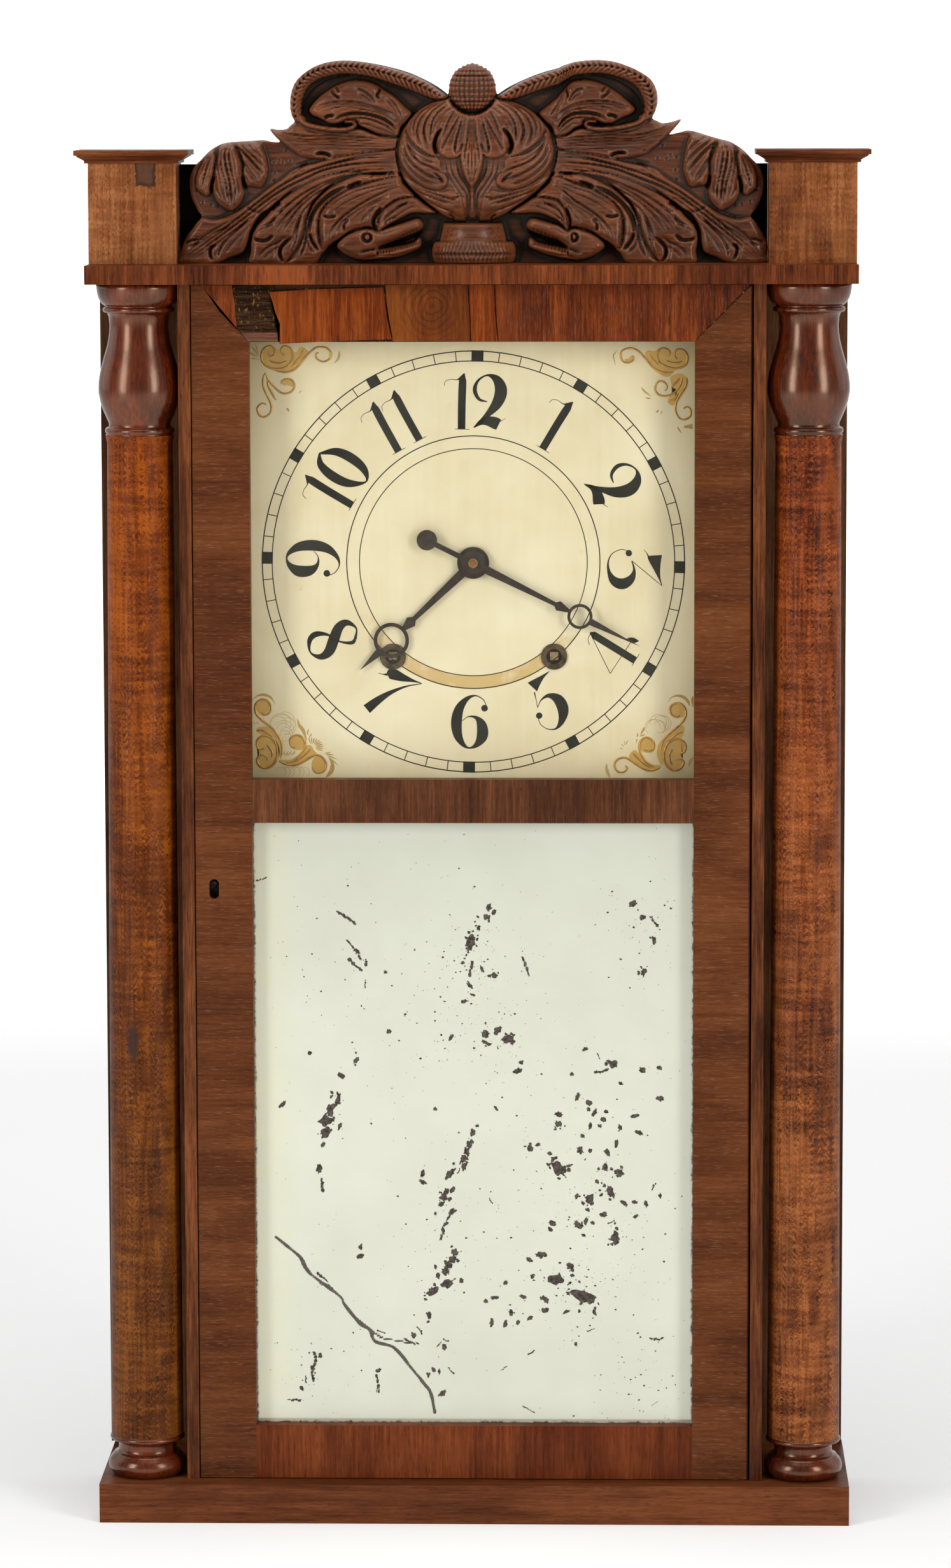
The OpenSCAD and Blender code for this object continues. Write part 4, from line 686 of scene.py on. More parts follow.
# Each gouge cut: its width, its depth and its line.
leaf_cuts = [
    (1.1, 1.5, -283, 140, -289, 129, -287, 111, -283, 93, -281, 66),
    (0.9, 1.2, -280, 140, -284, 127, -281, 106, -277, 88, -278, 66),
    (0.9, 1.2, -291, 137, -294, 125, -293, 111, -287, 91, -284, 70),
    (0.9, 1.1, -295, 134, -298, 118, -296, 102, -291, 84),
    (1.2, 1.6, -279, 140, -263, 125, -252, 113, -243, 104),
    (0.9, 1.2, -272, 141, -259, 128, -248, 118, -240, 111),
    (0.9, 1.1, -266, 141, -254, 132, -244, 123),
    (0.9, 1.2, -268, 120, -261, 109, -252, 97),
    (0.9, 1.1, -277, 134, -268, 116, -259, 102, -248, 91),
    (1.0, 1.3, -302, 129, -309, 116, -313, 102, -316, 88),
    (0.8, 1.0, -306, 127, -313, 116, -318, 104),
    (1.6, 3.5, -302, 102, -305, 91, -306, 82),
    (1.5, 2.5, -269, 102, -267, 91, -264, 88),
    (0.8, 0.9, -300, 107, -299, 88, -293, 75),
    (0.7, 0.8, -277, 106, -273, 91, -272, 77),
    (1.0, 1.2, -234, 154, -218, 151, -195, 148, -165, 149, -136, 147, -108, 145, -87, 145),
    (0.9, 1.1, -228, 151, -213, 147, -190, 144, -163, 145, -131, 143, -87, 141),
    (0.9, 1.1, -222, 145, -204, 142, -181, 141, -154, 141, -120, 139, -87, 138),
    (0.9, 1.0, -213, 138, -200, 138, -177, 138, -149, 137, -117, 136, -87, 135),
    (0.9, 1.1, -202, 161, -190, 154, -172, 151, -154, 151, -131, 151),
    (1.6, 3.4, -183, 127, -177, 128, -170, 127, -165, 124),
    (0.9, 0.9, -200, 132, -179, 134, -154, 133, -122, 132, -88, 131),
    (1.3, 1.8, -165, 203, -161, 196, -154, 191),
    (1.0, 1.4, -160, 206, -157, 201, -156, 198),
    (1.2, 1.4, -137, 203, -128, 201, -119, 194, -113, 186),
    (1.0, 1.0, -133, 198, -124, 193, -117, 187),
    (1.3, 1.9, -110, 205, -108, 200, -111, 195, -108, 191),
    (1.0, 1.2, -98, 194, -90, 185, -84, 175, -81, 168),
    (0.8, 0.9, -101, 192, -95, 184, -89, 176),
    (1.0, 1.3, -185, 181, -170, 186, -151, 188, -131, 186, -110, 180, -92, 173, -78, 166),
    (0.9, 1.1, -183, 178, -165, 184, -147, 185, -129, 183, -108, 177, -90, 169, -80, 164),
    (0.9, 1.1, -181, 175, -163, 180, -147, 182, -129, 179, -110, 175, -92, 167, -82, 160),
    (1.6, 2.6, -173, 167, -169, 171, -161, 172),
    (1.7, 2.6, -161, 165, -154, 171, -142, 174, -129, 174, -113, 171, -99, 165, -88, 155),
    (1.0, 1.3, -140, 167, -129, 169, -115, 166, -101, 160, -88, 151),
    (0.8, 1.0, -133, 162, -120, 161, -106, 156, -90, 149),
    (1.4, 2.2, -153, 159, -146, 161, -140, 162),
    (1.1, 1.6, -337, 5, -314, 23, -291, 40, -269, 57, -246, 75, -223, 91, -200, 103, -177, 112, -154, 118,
     -131, 122, -87, 124),
    (1.1, 1.6, -334, 3, -311, 20, -287, 38, -264, 55, -241, 73, -218, 88, -195, 99, -175, 108, -154, 113,
     -131, 116, -87, 118),
    (0.9, 1.0, -328, 4, -305, 19, -282, 36, -259, 52, -239, 68, -223, 80),
    (0.9, 1.1, -336, 11, -317, 29, -296, 43, -278, 52),
    (1.2, 1.4, -338, 23, -328, 27, -319, 28),
    (0.9, 1.0, -333, 18, -317, 26, -301, 36, -285, 43),
    (1.5, 2.2, -304, 3, -307, 10, -306, 18, -300, 22),
    (1.1, 1.4, -299, 4, -296, 16, -287, 29, -271, 43, -257, 57),
    (0.8, 0.9, -292, 9, -282, 22, -269, 36, -259, 46),
    (0.8, 0.9, -213, 102, -205, 108, -197, 113),
    (0.7, 0.8, -211, 98, -202, 105, -193, 110),
    (0.7, 0.8, -209, 114, -195, 118, -177, 123),
    (0.9, 1.0, -172, 113, -149, 120, -127, 125, -88, 128),
    (0.9, 1.0, -163, 102, -145, 108, -127, 111, -87, 113),
    (1.6, 2.3, -258, 30, -250, 27, -241, 27, -233, 33),
    (1.7, 2.6, -220, 0, -225, 9, -224, 18, -217, 26, -211, 30),
    (1.0, 1.3, -253, 6, -241, 18, -229, 24, -218, 30),
    (0.8, 0.9, -246, 5, -235, 14, -225, 20),
    (1.0, 1.4, -246, 36, -232, 52, -218, 66, -200, 80, -179, 91, -154, 101, -129, 108, -87, 110),
    (1.0, 1.4, -233, 36, -221, 52, -207, 66, -188, 82, -168, 93, -147, 101, -129, 105),
    (1.0, 1.3, -223, 36, -211, 54, -198, 69, -179, 83, -159, 94),
    (0.9, 1.2, -211, 20, -207, 38, -200, 56, -188, 71, -172, 84),
    (0.8, 1.0, -246, 43, -237, 47, -229, 54),
    (0.8, 1.0, -250, 38, -241, 43, -232, 46),
    (1.9, 4.2, -235, 61, -231, 66, -224, 71),
    (1.0, 1.2, -212, 13, -207, 25, -204, 43, -199, 56),
    (2.2, 3.4, -191, 36, -190, 47, -186, 59, -177, 71, -163, 82, -148, 89),
    (1.2, 1.6, -203, 6, -197, 20, -194, 34, -193, 45),
    (1.6, 2.4, -191, 36, -187, 25, -180, 15),
    (1.4, 3.6, -147, 88, -139, 92, -129, 95),
    (1.0, 1.2, -184, 11, -191, 20, -194, 29),
    (1.1, 1.6, -120, 99, -113, 104, -110, 100),
    (1.1, 1.6, -109, 101, -104, 104, -101, 101),
    (1.1, 1.6, -99, 101, -95, 105, -90, 102),
    (1.0, 1.4, -169, 25, -166, 36, -157, 49, -141, 62, -120, 75, -99, 85, -83, 90),
    (0.9, 1.1, -163, 27, -159, 38, -150, 50, -134, 62, -115, 72, -97, 80),
    (1.4, 2.0, -176, 56, -168, 54, -159, 55),
    (1.2, 1.6, -149, 36, -150, 45, -145, 52),
    (0.9, 1.2, -170, 65, -154, 76, -136, 84, -113, 90, -85, 95),
    (0.8, 1.0, -166, 59, -150, 70, -131, 79, -111, 86, -86, 92),
    (0.8, 1.0, -141, 50, -129, 61, -113, 71, -97, 78),
    (0.8, 1.0, -132, 47, -122, 59, -111, 67),
    (2.0, 3.6, -112, 37, -116, 47, -113, 56, -106, 65),
    (1.0, 1.3, -106, 44, -100, 54, -88, 64, -72, 73),
    (1.1, 1.4, -102, 42, -100, 49, -89, 54),
    (0.8, 1.0, -95, 49, -86, 57, -72, 65, -61, 68),
    (0.8, 0.9, -90, 65, -79, 69, -65, 71),
    (1.8, 3.6, -111, 17, -93, 22, -75, 29, -60, 36),
    (1.0, 1.4, -132, 11, -123, 15, -111, 17),
    (0.8, 1.0, -109, 34, -95, 37, -83, 42),
    (0.8, 0.9, -129, 6, -109, 9, -88, 10, -66, 17),
    (0.8, 1.0, -112, 18, -102, 23, -91, 27, -75, 35, -63, 41),
    (1.0, 1.0, -199, 172, -198, 187, -190, 200, -176, 211, -158, 217, -140, 219, -119, 216, -97, 208, -74,
     200, -56, 193),
]
prick_marks = places([
    -232, 117, -222, 117, -213, 119, -231, 105, -232, 96, -226, 120, -316, 71, -297,
    67, -323, 85, -306, 68, -218, 131, -200, 129
])
globe_side = places([
    2, 196, -18, 195, -28, 192, -45, 188, -62, 178, -76, 163, -85, 148, -89, 134, -88,
    117, -83, 102, -74, 89, -62, 77, -45, 63, -32, 54, -18, 49, -4, 46, 1, 46
])
# Each leaf laid on the globe: its thickness and its outline.
globe_leaves = [
    ("lower", 1.6, -82, 101, -69, 93, -54, 86, -40, 83, -25, 84, -14, 78, -11, 71, -9, 56, -9, 48, -25, 51,
     -42, 61, -61, 75, -76, 90),
    ("side", 2.0, -79, 152, -72, 138, -59, 128, -38, 121, -36, 111, -29, 100, -29, 92, -38, 86, -54, 88,
     -69, 98, -81, 113, -86, 131),
    ("outer", 2.4, -27, 190, -41, 188, -59, 180, -71, 170, -77, 158, -73, 145, -62, 134, -52, 127, -42, 126,
     -45, 137, -42, 147, -36, 156, -28, 167, -21, 175),
    ("fold", 2.6, -7, 178, -18, 181, -28, 178, -36, 170, -40, 158, -40, 141, -38, 129, -30, 123, -20, 123,
     -13, 127, -10, 138, -9, 158),
    ("drop", 3.4, 1, 178, -7, 175, -10, 158, -12, 138, -13, 122, -11, 109, -6, 97, 1, 86),
]
globe_cuts = [
    (1.1, 1.6, 1, 177, 1, 151, 1, 127, 1, 100),
    (1.0, 1.4, -3, 175, -4, 151, -8, 129, -9, 116),
    (0.8, 1.0, -1, 173, -2, 144, -4, 121, -4, 102),
    (0.8, 1.0, -6, 111, -3, 102, -2, 94),
    (1.6, 4.0, -35, 157, -41, 148, -44, 138, -42, 126),
    (1.0, 1.3, -13, 175, -18, 165, -26, 151, -33, 138, -36, 129),
    (1.0, 1.3, -11, 172, -14, 158, -18, 144, -20, 129),
    (0.9, 1.2, -18, 178, -24, 172, -30, 158, -33, 148),
    (0.8, 1.0, -20, 138, -19, 131, -18, 126),
    (0.8, 1.0, -10, 141, -13, 133, -18, 128),
    (1.1, 1.6, -30, 188, -45, 178, -53, 167, -56, 155, -54, 143, -50, 133),
    (1.0, 1.4, -33, 188, -50, 179, -60, 168, -64, 155, -62, 143, -57, 134),
    (1.0, 1.3, -38, 188, -55, 179, -65, 169, -69, 158, -67, 146),
    (1.0, 1.4, -27, 185, -40, 175, -46, 165, -48, 151, -47, 141),
    (0.8, 1.0, -45, 151, -43, 161, -36, 172),
    (0.8, 1.0, -47, 185, -62, 175, -72, 162, -73, 151),
    (1.0, 1.5, -78, 148, -72, 131, -62, 119, -45, 111, -31, 105),
    (1.0, 1.4, -81, 141, -76, 124, -64, 111, -49, 102, -33, 97),
    (0.9, 1.2, -83, 131, -76, 114, -64, 102, -52, 95, -38, 91),
    (0.8, 1.0, -77, 141, -67, 128, -54, 120, -38, 116),
    (1.2, 1.6, -45, 106, -38, 100, -33, 93),
    (1.0, 1.4, -73, 89, -59, 81, -42, 75, -21, 68),
    (0.9, 1.2, -71, 86, -56, 75, -40, 66, -21, 58),
    (0.9, 1.2, -64, 87, -49, 82, -32, 77, -14, 73),
    (1.2, 1.8, -28, 57, -23, 54, -21, 50),
    (1.0, 1.4, -25, 75, -18, 77, -14, 79),
    (1.0, 1.2, -18, 121, -15, 105, -7, 92, -3, 80, -4, 49),
    (1.0, 1.2, -25, 121, -23, 105, -14, 90, -6, 77, -6, 49),
    (0.8, 1.0, -31, 120, -28, 104, -18, 87, -9, 75),
]


def flowing(points, closed=False, steps=6):
    """A smooth line through the points."""
    p = np.array(points, float)
    if closed:
        p = np.vstack([p[-1], p, p[0], p[1]])
    else:
        p = np.vstack([2 * p[0] - p[1], p, 2 * p[-1] - p[-2]])
    t = np.linspace(0.0, 1.0, steps, endpoint=False)[:, None]
    a, b, c, d = p[:-3, None], p[1:-2, None], p[2:-1, None], p[3:, None]
    line = 0.5 * (2 * b + (c - a) * t + (2 * a - 5 * b + 4 * c - d) * t**2 + (3 * b - a - 3 * c + d) * t**3)
    line = line.reshape(-1, p.shape[1])
    return line if closed else np.vstack([line, p[-2]])


def shut(ring):
    """The ring with its first point again at its end."""
    return np.vstack([ring, ring[:1]])


def runs_of(line):
    """The run along a line at each of its points."""
    return np.r_[0.0, np.cumsum(np.hypot(*np.diff(line[:, :2], axis=0).T))]


def from_line(x, z, line, reach):
    """For each place: distance to the line, run along it, side of it, and the line's whole length."""
    gap = np.full(x.shape, 1000.0)
    run = np.zeros(x.shape)
    side = np.zeros(x.shape)
    step = line[1:, :2] - line[:-1, :2]
    length = np.hypot(step[:, 0], step[:, 1]) + 1e-9
    start = np.r_[0.0, np.cumsum(length)]
    near = (x > line[:, 0].min() - reach) & (x < line[:, 0].max() + reach)
    near &= (z > line[:, 1].min() - reach) & (z < line[:, 1].max() + reach)
    if near.any():
        dx = x[near][:, None] - line[None, :-1, 0]
        dz = z[near][:, None] - line[None, :-1, 1]
        t = np.clip((dx * step[:, 0] + dz * step[:, 1]) / length**2, 0.0, 1.0)
        d = np.hypot(dx - t * step[:, 0], dz - t * step[:, 1])
        k = d.argmin(1)
        r = np.arange(len(k))
        gap[near] = d[r, k]
        run[near] = start[k] + t[r, k] * length[k]
        side[near] = np.sign(step[k, 0] * dz[r, k] - step[k, 1] * dx[r, k])
    return gap, run, side, start[-1]


def within(x, z, ring):
    """Whether each place is inside the closed line."""
    hit = np.zeros(x.shape, bool)
    for (x1, z1), (x2, z2) in zip(ring[:, :2], np.roll(ring[:, :2], -1, 0)):
        if z1 != z2:
            hit ^= ((z1 > z) != (z2 > z)) & (x < (x2 - x1) * (z - z1) / (z2 - z1) + x1)
    return hit


def softened(field, spread):
    """The field blurred, spread in grid steps."""
    half = int(spread * 3) + 1
    kernel = np.exp(-0.5 * (np.arange(-half, half + 1) / spread) ** 2)
    kernel /= kernel.sum()
    for axis in (0, 1):
        padded = np.pad(field, [(half, half) if a == axis else (0, 0) for a in (0, 1)], "edge")
        field = np.apply_along_axis(lambda row: np.convolve(row, kernel, "valid"), axis, padded)
    return field


def bell(value, wide):
    """A soft hill, one high, round nothing."""
    return np.exp(-((value / wide) ** 2))


def arched(share):
    """A round arch, one high in the middle and nothing from a share of one."""
    return np.sqrt(np.clip(1.0 - share**2, 0.0, 1.0))


def dome(share):
    """A round shoulder: nothing at nothing, one from a share of one."""
    return arched(1.0 - np.clip(share, 0.0, 1.0))


def wave(turns):
    """A wave between nothing and one, one high at each whole turn."""
    return 0.5 + 0.5 * np.cos(2.0 * math.pi * turns)


def gouge(height, x, z, width, depth, points):
    """A gouge cut along a line: it starts and ends shallow, and leaves a small lip."""
    gap, run, _, whole = from_line(x, z, flowing(points), 3.0)
    taper = np.sqrt(np.clip(np.minimum(run, whole - run) / (0.22 * whole), 0.0, 1.0))
    share = gap / (width * 0.62 * (0.35 + 0.65 * taper))
    lip = 0.14 * bell(share - 1.35, 0.3)
    scoop = 0.30 * bell(share, 2.8)
    return height + depth * taper * (lip - scoop - 0.7 * np.clip(1.0 - share**2, 0.0, 1.0))


carve_step = 0.4
left_x = np.arange(-174.0, 0.41, carve_step)
left_z = np.arange(-1.0, 119.0, carve_step)
cx, cz = np.meshgrid(left_x, left_z)
board_front = 13.0
ground = 6.4
carved = np.full(cx.shape, ground)


def level_of(level):
    """The ground under a form, by its place in the order of the layers."""
    return ground + 1.6 * (level - 3.0)


# The leaves in the order of their layers, with the plaited serpent and its tail where they lie over them.
for leaf_name, level, rise, soft, *line in carved_leaves:
    ring = flowing(places(line), True)
    gap = from_line(cx, cz, shut(ring), soft * 4.0)[0]
    top = level_of(level) + 1.75 * rise * dome(gap / (soft * 1.7))
    inside = within(cx, cz, ring)
    carved[inside] = top[inside]
    if leaf_name in serpents:
        level, rise, plait, line_points = serpents[leaf_name]
        line = flowing(line_points)
        gap, run, side, _ = from_line(cx, cz, line, 8.0)
        share = gap / np.maximum(np.interp(run, runs_of(line), line[:, 2]), 0.1)
        top = level_of(level) + 1.7 * rise * arched(share)
        if plait:
            lane = share * side - 0.15
            weave = wave(run / plait - np.abs(lane) * 1.4)
            top -= 3.0 * weave**4 + 2.0 * bell(lane, 0.1)
        inside = share < 1.0
        carved[inside] = top[inside] if plait else np.maximum(carved, top)[inside]
cut_wide, leaf_cut_deep, globe_cut_deep = 1.15, 1.8, 1.7
for width, depth, *line in leaf_cuts:
    carved = gouge(carved, cx, cz, width * cut_wide, depth * leaf_cut_deep, places(line))
for px, pz in prick_marks:
    carved -= 2.0 * bell(np.hypot(cx - px, cz - pz), 0.6)
# The head's eye, a boss within a ring, and its two rows of teeth.
eye_x, eye_up = -61.5, 15.1
ray = np.hypot(cx - eye_x, cz - eye_up)
eye = 19.0 - 2.2 * bell(ray - 2.3, 0.5) + 0.9 * bell(ray - 3.0, 0.4)
carved = np.where(ray < 3.4, eye + 0.7 * dome(1.0 - ray / 1.9), carved)
jaws = (((-54.4, 8.9), (-30.7, 19.6), 13), ((-55.4, 5.9), (-31.6, 11.7), 15))
for first, last, teeth in jaws:
    for tx, tz in np.linspace(first, last, teeth):
        carved -= 4.0 * bell(cx - tx, 0.45) * bell(cz - tz, 1.3)

# The globe stands well forward, with its leaves laid over it, and the turned parts are half round.
half_globe = flowing(globe_side)
globe_ring = np.vstack([half_globe, np.c_[-half_globe[::-1, 0], half_globe[::-1, 1]]])
on_globe = within(cx, cz, globe_ring)
gap = from_line(cx, cz, half_globe, 60.0)[0]
ball = board_front - 1.0 + 15.0 * dome(gap / 36.0)
carved = np.where(on_globe, ball, carved)
for leaf_name, thick, *line in globe_leaves:
    points = places(line)
    if leaf_name == "drop":
        points = points + [(-px, pz) for px, pz in reversed(points)]
    ring = flowing(points, True)
    gap = from_line(cx, cz, shut(ring), 9.0)[0]
    inside = within(cx, cz, ring) & on_globe
    carved = np.where(inside, ball + 1.25 * thick * (0.4 + 0.6 * dome(gap / 3.4)), carved)
for width, depth, *line in globe_cuts:
    carved = gouge(carved, cx, cz, width * cut_wide, depth * globe_cut_deep, places(line))
# In the middle a waisted collar, a rope ring below it, and the studded pineapple on top.
centre_depth = 16.0
collar_low, collar_top = 12.0, 23.4
share = np.abs(cx) / np.interp(cz, [collar_low, collar_top], [19.6, 17.0])
waist = 1.6 * np.sin(math.pi * np.clip((cz - collar_low) / (collar_top - collar_low), 0.0, 1.0))
turned = centre_depth - 4.0 + 19.0 * arched(share) - waist
carved = np.where((share < 1.0) & (cz > collar_low) & (cz < collar_top), turned, carved)
rope_mid, rope_half, rope_wide = 6.0, 6.4, 23.8
height_share = (cz - rope_mid) / rope_half
round_off = 1.0 - arched(height_share)
share = np.abs(cx) / (rope_wide - 2.2 * round_off)
turned = centre_depth - 4.0 + 22.0 * arched(share) - 3.0 * round_off
round_way = np.arcsin(np.clip(cx / rope_wide, -1.0, 1.0)) * rope_wide
strands = wave(round_way / 2.6 - np.abs(height_share) * 0.8)
turned -= 1.3 * strands**1.4 + 1.3 * bell(height_share + 0.1, 0.1)
carved = np.where((share < 1.0) & (np.abs(height_share) < 1.0), turned, carved)
knob_mid, knob_x, knob_z, stud = 101.2, 14.4, 15.2, 3.1
share = np.hypot(cx / knob_x, (cz - knob_mid) / knob_z)
up_share = np.clip((cz - knob_mid) / knob_z, -0.98, 0.98)
row = np.arcsin(up_share) * knob_z / stud
column_of = np.arcsin(np.clip(cx / (knob_x * np.sqrt(1.0 - up_share**2)), -1.0, 1.0)) * knob_x / stud
bead = np.abs(np.cos(math.pi * row)) * np.abs(np.cos(math.pi * column_of))
turned = centre_depth - 3.0 + 13.5 * arched(share) + 3.2 * np.sqrt(bead) - 2.2
carved = np.where(share < 1.0, turned, carved)
# Edges worn round, and how deep each place lies in broad and in fine hollows, for the finish's painted
# shade in the hollows and painted highlight on the ridges.
carved = softened(carved, 0.7)
deep_shade_field = np.clip((softened(carved, 7.0) - carved) * 0.32 + 0.35, 0.0, 1.0)
fine_shade_highlight_field = np.clip((softened(carved, 2.2) - carved) * 0.9, -1.0, 1.0)


def mirrored(x, z):
    """The place on the left half that a place stands for. The right half was carved a little larger."""
    out = np.interp(x, [0, 14.6, 50, 59.3, 88.8, 109, 122.7, 136.6, 170.1],
                    [0, 14.6, 45.1, 62, 90.7, 107.4, 119.3, 132.5, 166])
    out = np.where(x > 100, out + (x - out) * bell(z, 16.0), out)
    lift = 5.2 * bell(x - 124.0, 17.0) * np.clip((z - 48.0) / 22.0, 0.0, 1.0)
    return np.where(x > 0, -out, x), np.where(x > 0, z - lift, z)


def picked(field, x, z):
    """The field at any place of the left half."""
    u = np.clip((x - left_x[0]) / carve_step, 0, len(left_x) - 1.001)
    v = np.clip((z - left_z[0]) / carve_step, 0, len(left_z) - 1.001)
    i, j = u.astype(int), v.astype(int)
    a, b = u - i, v - j
    low = field[j, i] * (1 - a) + field[j, i + 1] * a
    high = field[j + 1, i] * (1 - a) + field[j + 1, i + 1] * a
    return low * (1 - b) + high * b


# The board's outline: the pineapple's studs stand out on it, and the right half is found from the left.
left_edge = flowing(crest_outline)
from_knob = left_edge - (0.0, knob_mid)
studded = np.clip((left_edge[:, 1] - knob_mid) / 2.0, 0.0, 1.0) * (np.hypot(*from_knob.T) < 17.0)
turn_here = np.arctan2(from_knob[:, 0] / knob_x, from_knob[:, 1] / knob_z)
bumps = 0.8 * np.abs(np.cos(turn_here * knob_z / stud * math.pi)) - 0.5
left_edge += from_knob / np.hypot(*from_knob.T)[:, None] * (studded * bumps)[:, None]
left_edge[-1, 0] = 0.0
right_edge = np.c_[-left_edge[:, 0], left_edge[:, 1]]
for _ in range(8):
    back_x, back_z = mirrored(right_edge[:, 0], right_edge[:, 1])
    right_edge += np.c_[-(left_edge[:, 0] - back_x), left_edge[:, 1] - back_z]
right_edge[:, 0] = np.clip(right_edge[:, 0], 0.5, 172.2)
edge = np.vstack([left_edge, right_edge[::-1]])
edge[:, 1] = np.clip(edge[:, 1], 0.1, 118.0)
crest_ring = np.vstack([edge, [[edge[-1, 0], 0.1], [edge[0, 0], 0.1]]])
# The face as a grid of squares within the outline, its rim drawn onto the outline.
grid_step = 0.62
grid_x = np.arange(-173.0, 173.01, grid_step)
grid_z = np.arange(0.1, 119.0, grid_step)
gx, gz = np.meshgrid(grid_x, grid_z)
cell_in = within((gx[:-1, :-1] + gx[1:, 1:]) / 2.0, (gz[:-1, :-1] + gz[1:, 1:]) / 2.0, crest_ring)
rows, cols = np.nonzero(cell_in)
wide = len(grid_x)
corner = rows * wide + cols
quads = np.c_[corner, corner + 1, corner + 1 + wide, corner + wide]
used, quads = np.unique(quads, return_inverse=True)
quads = quads.reshape(-1, 4)
at_x, at_z = gx.ravel()[used], gz.ravel()[used]
sides_of = np.sort(np.vstack([quads[:, [0, 1]], quads[:, [1, 2]], quads[:, [2, 3]], quads[:, [3, 0]]]),
                   axis=1)
single, count = np.unique(sides_of, axis=0, return_counts=True)
rim = np.unique(single[count == 1])
closed_edge = shut(crest_ring)
for start in range(0, len(rim), 400):
    some = rim[start:start + 400]
    run = from_line(at_x[some], at_z[some], closed_edge, 20.0)[1]
    at_x[some] = np.interp(run, runs_of(closed_edge), closed_edge[:, 0])
    at_z[some] = np.interp(run, runs_of(closed_edge), closed_edge[:, 1])
from_x, from_z = mirrored(at_x, at_z)
high = picked(carved, from_x, from_z)
crest_back = front_y + 0.056
cornice_top = 0.745


def keep_fields(mesh, fields):
    """Writes a number of each point on a mesh, under a name, for its finish to read."""
    for name, values in fields.items():
        attribute = mesh.attributes.new(name, "FLOAT", "POINT")
        attribute.data.foreach_set("value", values.ravel().astype(np.float32))


def with_back(mesh, back_y, close=0.0):
    """The mesh at work: walls from a sheet's edge to a flat back."""
    work = bmesh.new()
    work.from_mesh(mesh)
    if close:
        bmesh.ops.remove_doubles(work, verts=work.verts, dist=close)
    walls = bmesh.ops.extrude_edge_only(work, edges=[e for e in work.edges if e.is_boundary])["geom"]
    for part in walls:
        if isinstance(part, bmesh.types.BMVert):
            part.co.y = back_y
    back_edges = [part for part in walls if isinstance(part, bmesh.types.BMEdge) and part.is_boundary]
    bmesh.ops.contextual_create(work, geom=back_edges)
    whole(work)
    return work


def whole(work):
    """Many-sided faces cut to triangles, and all faces outwards."""
    bmesh.ops.triangulate(work, faces=[f for f in work.faces if len(f.verts) > 4])
    bmesh.ops.recalc_face_normals(work, faces=work.faces)


verts = np.c_[at_x / 1000.0, crest_back - high / 1000.0, cornice_top + at_z / 1000.0]
crest_mesh = mesh_of("carved_crest", verts.tolist(), quads.tolist())
# These fields carry the painted shade of the hollows and the painted highlight of the ridges.
keep_fields(crest_mesh, {"hollow": picked(deep_shade_field, from_x, from_z),
                         "fine_shade_highlight": picked(fine_shade_highlight_field, from_x, from_z)})
work = with_back(crest_mesh, crest_back, 2e-5)
for face in work.faces:
    face.smooth = abs(face.normal.y) > 0.05
for e in work.edges:
    if len(e.link_faces) == 2 and e.calc_face_angle(0.0) > 1.25:
        e.smooth = False
work.to_mesh(crest_mesh)
work.free()
crest = stand("carved_crest", crest_mesh)


def carved_finish():
    """Dark varnish: grime, wax and painted shade in the hollows, wear and a painted highlight on the
    ridges.
    """
    finish, tree, surface, place = start_finish("crest_mahogany")
    tones = (paint(56, 25, 12), paint(100, 51, 29), paint(134, 78, 46))
    colour, fibre, _ = wood_colour(tree, place, tones, "x", 15.0, 0.5, 0.0, 0.35)
    deep_shade = read_field(tree, "hollow")
    fine_shade_highlight = read_field(tree, "fine_shade_highlight")
    patches = noise(tree, place, 70.0, 5.0, 0.65)
    colour = tint(tree, span(tree, patches, 0.42, 0.66, 0.0, 0.6), colour, paint(70, 44, 29))
    # Painted shade, with some grime: the broad and the fine hollows darkened almost to black.
    colour = tint(tree, span(tree, deep_shade, 0.42, 0.85, 0.0, 0.96), colour, paint(20, 12, 8))
    colour = tint(tree, span(tree, fine_shade_highlight, 0.03, 0.5, 0.0, 0.9), colour, paint(34, 23, 16))
    # Painted highlight, with some worn varnish: the ridges lightened.
    colour = tint(tree, span(tree, fine_shade_highlight, -0.1, -0.6, 0.0, 0.6), colour, paint(140, 84, 52))
    dull = plus(tree, span(tree, patches, 0.3, 0.7, 0.24, 0.42), span(tree, deep_shade, 0.4, 0.9, 0.0, 0.3))
    grit = plus(tree, fibre, noise(tree, place, 900.0, 3.0, 0.6))
    fill(tree, surface, {"Base Color": colour, "Roughness": dull,
                         "Normal": bumped(tree, 0.35, 0.0003, grit), "Specular IOR Level": 0.42,
                         "Specular Tint": (1.0, 0.86, 0.74, 1.0)})
    return finish


dress(carved_finish(), crest)
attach(crest, "case")
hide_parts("crest")
# The panel behind the carving is nearly black: its dark wood, and painted shade of the deep recess behind
# the carving.
panel_shade_tones = ((10, 5, 4), (18, 9, 7), (30, 17, 12))
panel_wood_and_shade = wood("crest_panel_wood", panel_shade_tones, "x", 16.2, 0.5, rough=(0.5, 0.7), gloss=0.05)
dress(panel_wood_and_shade, "crest_back_panel")

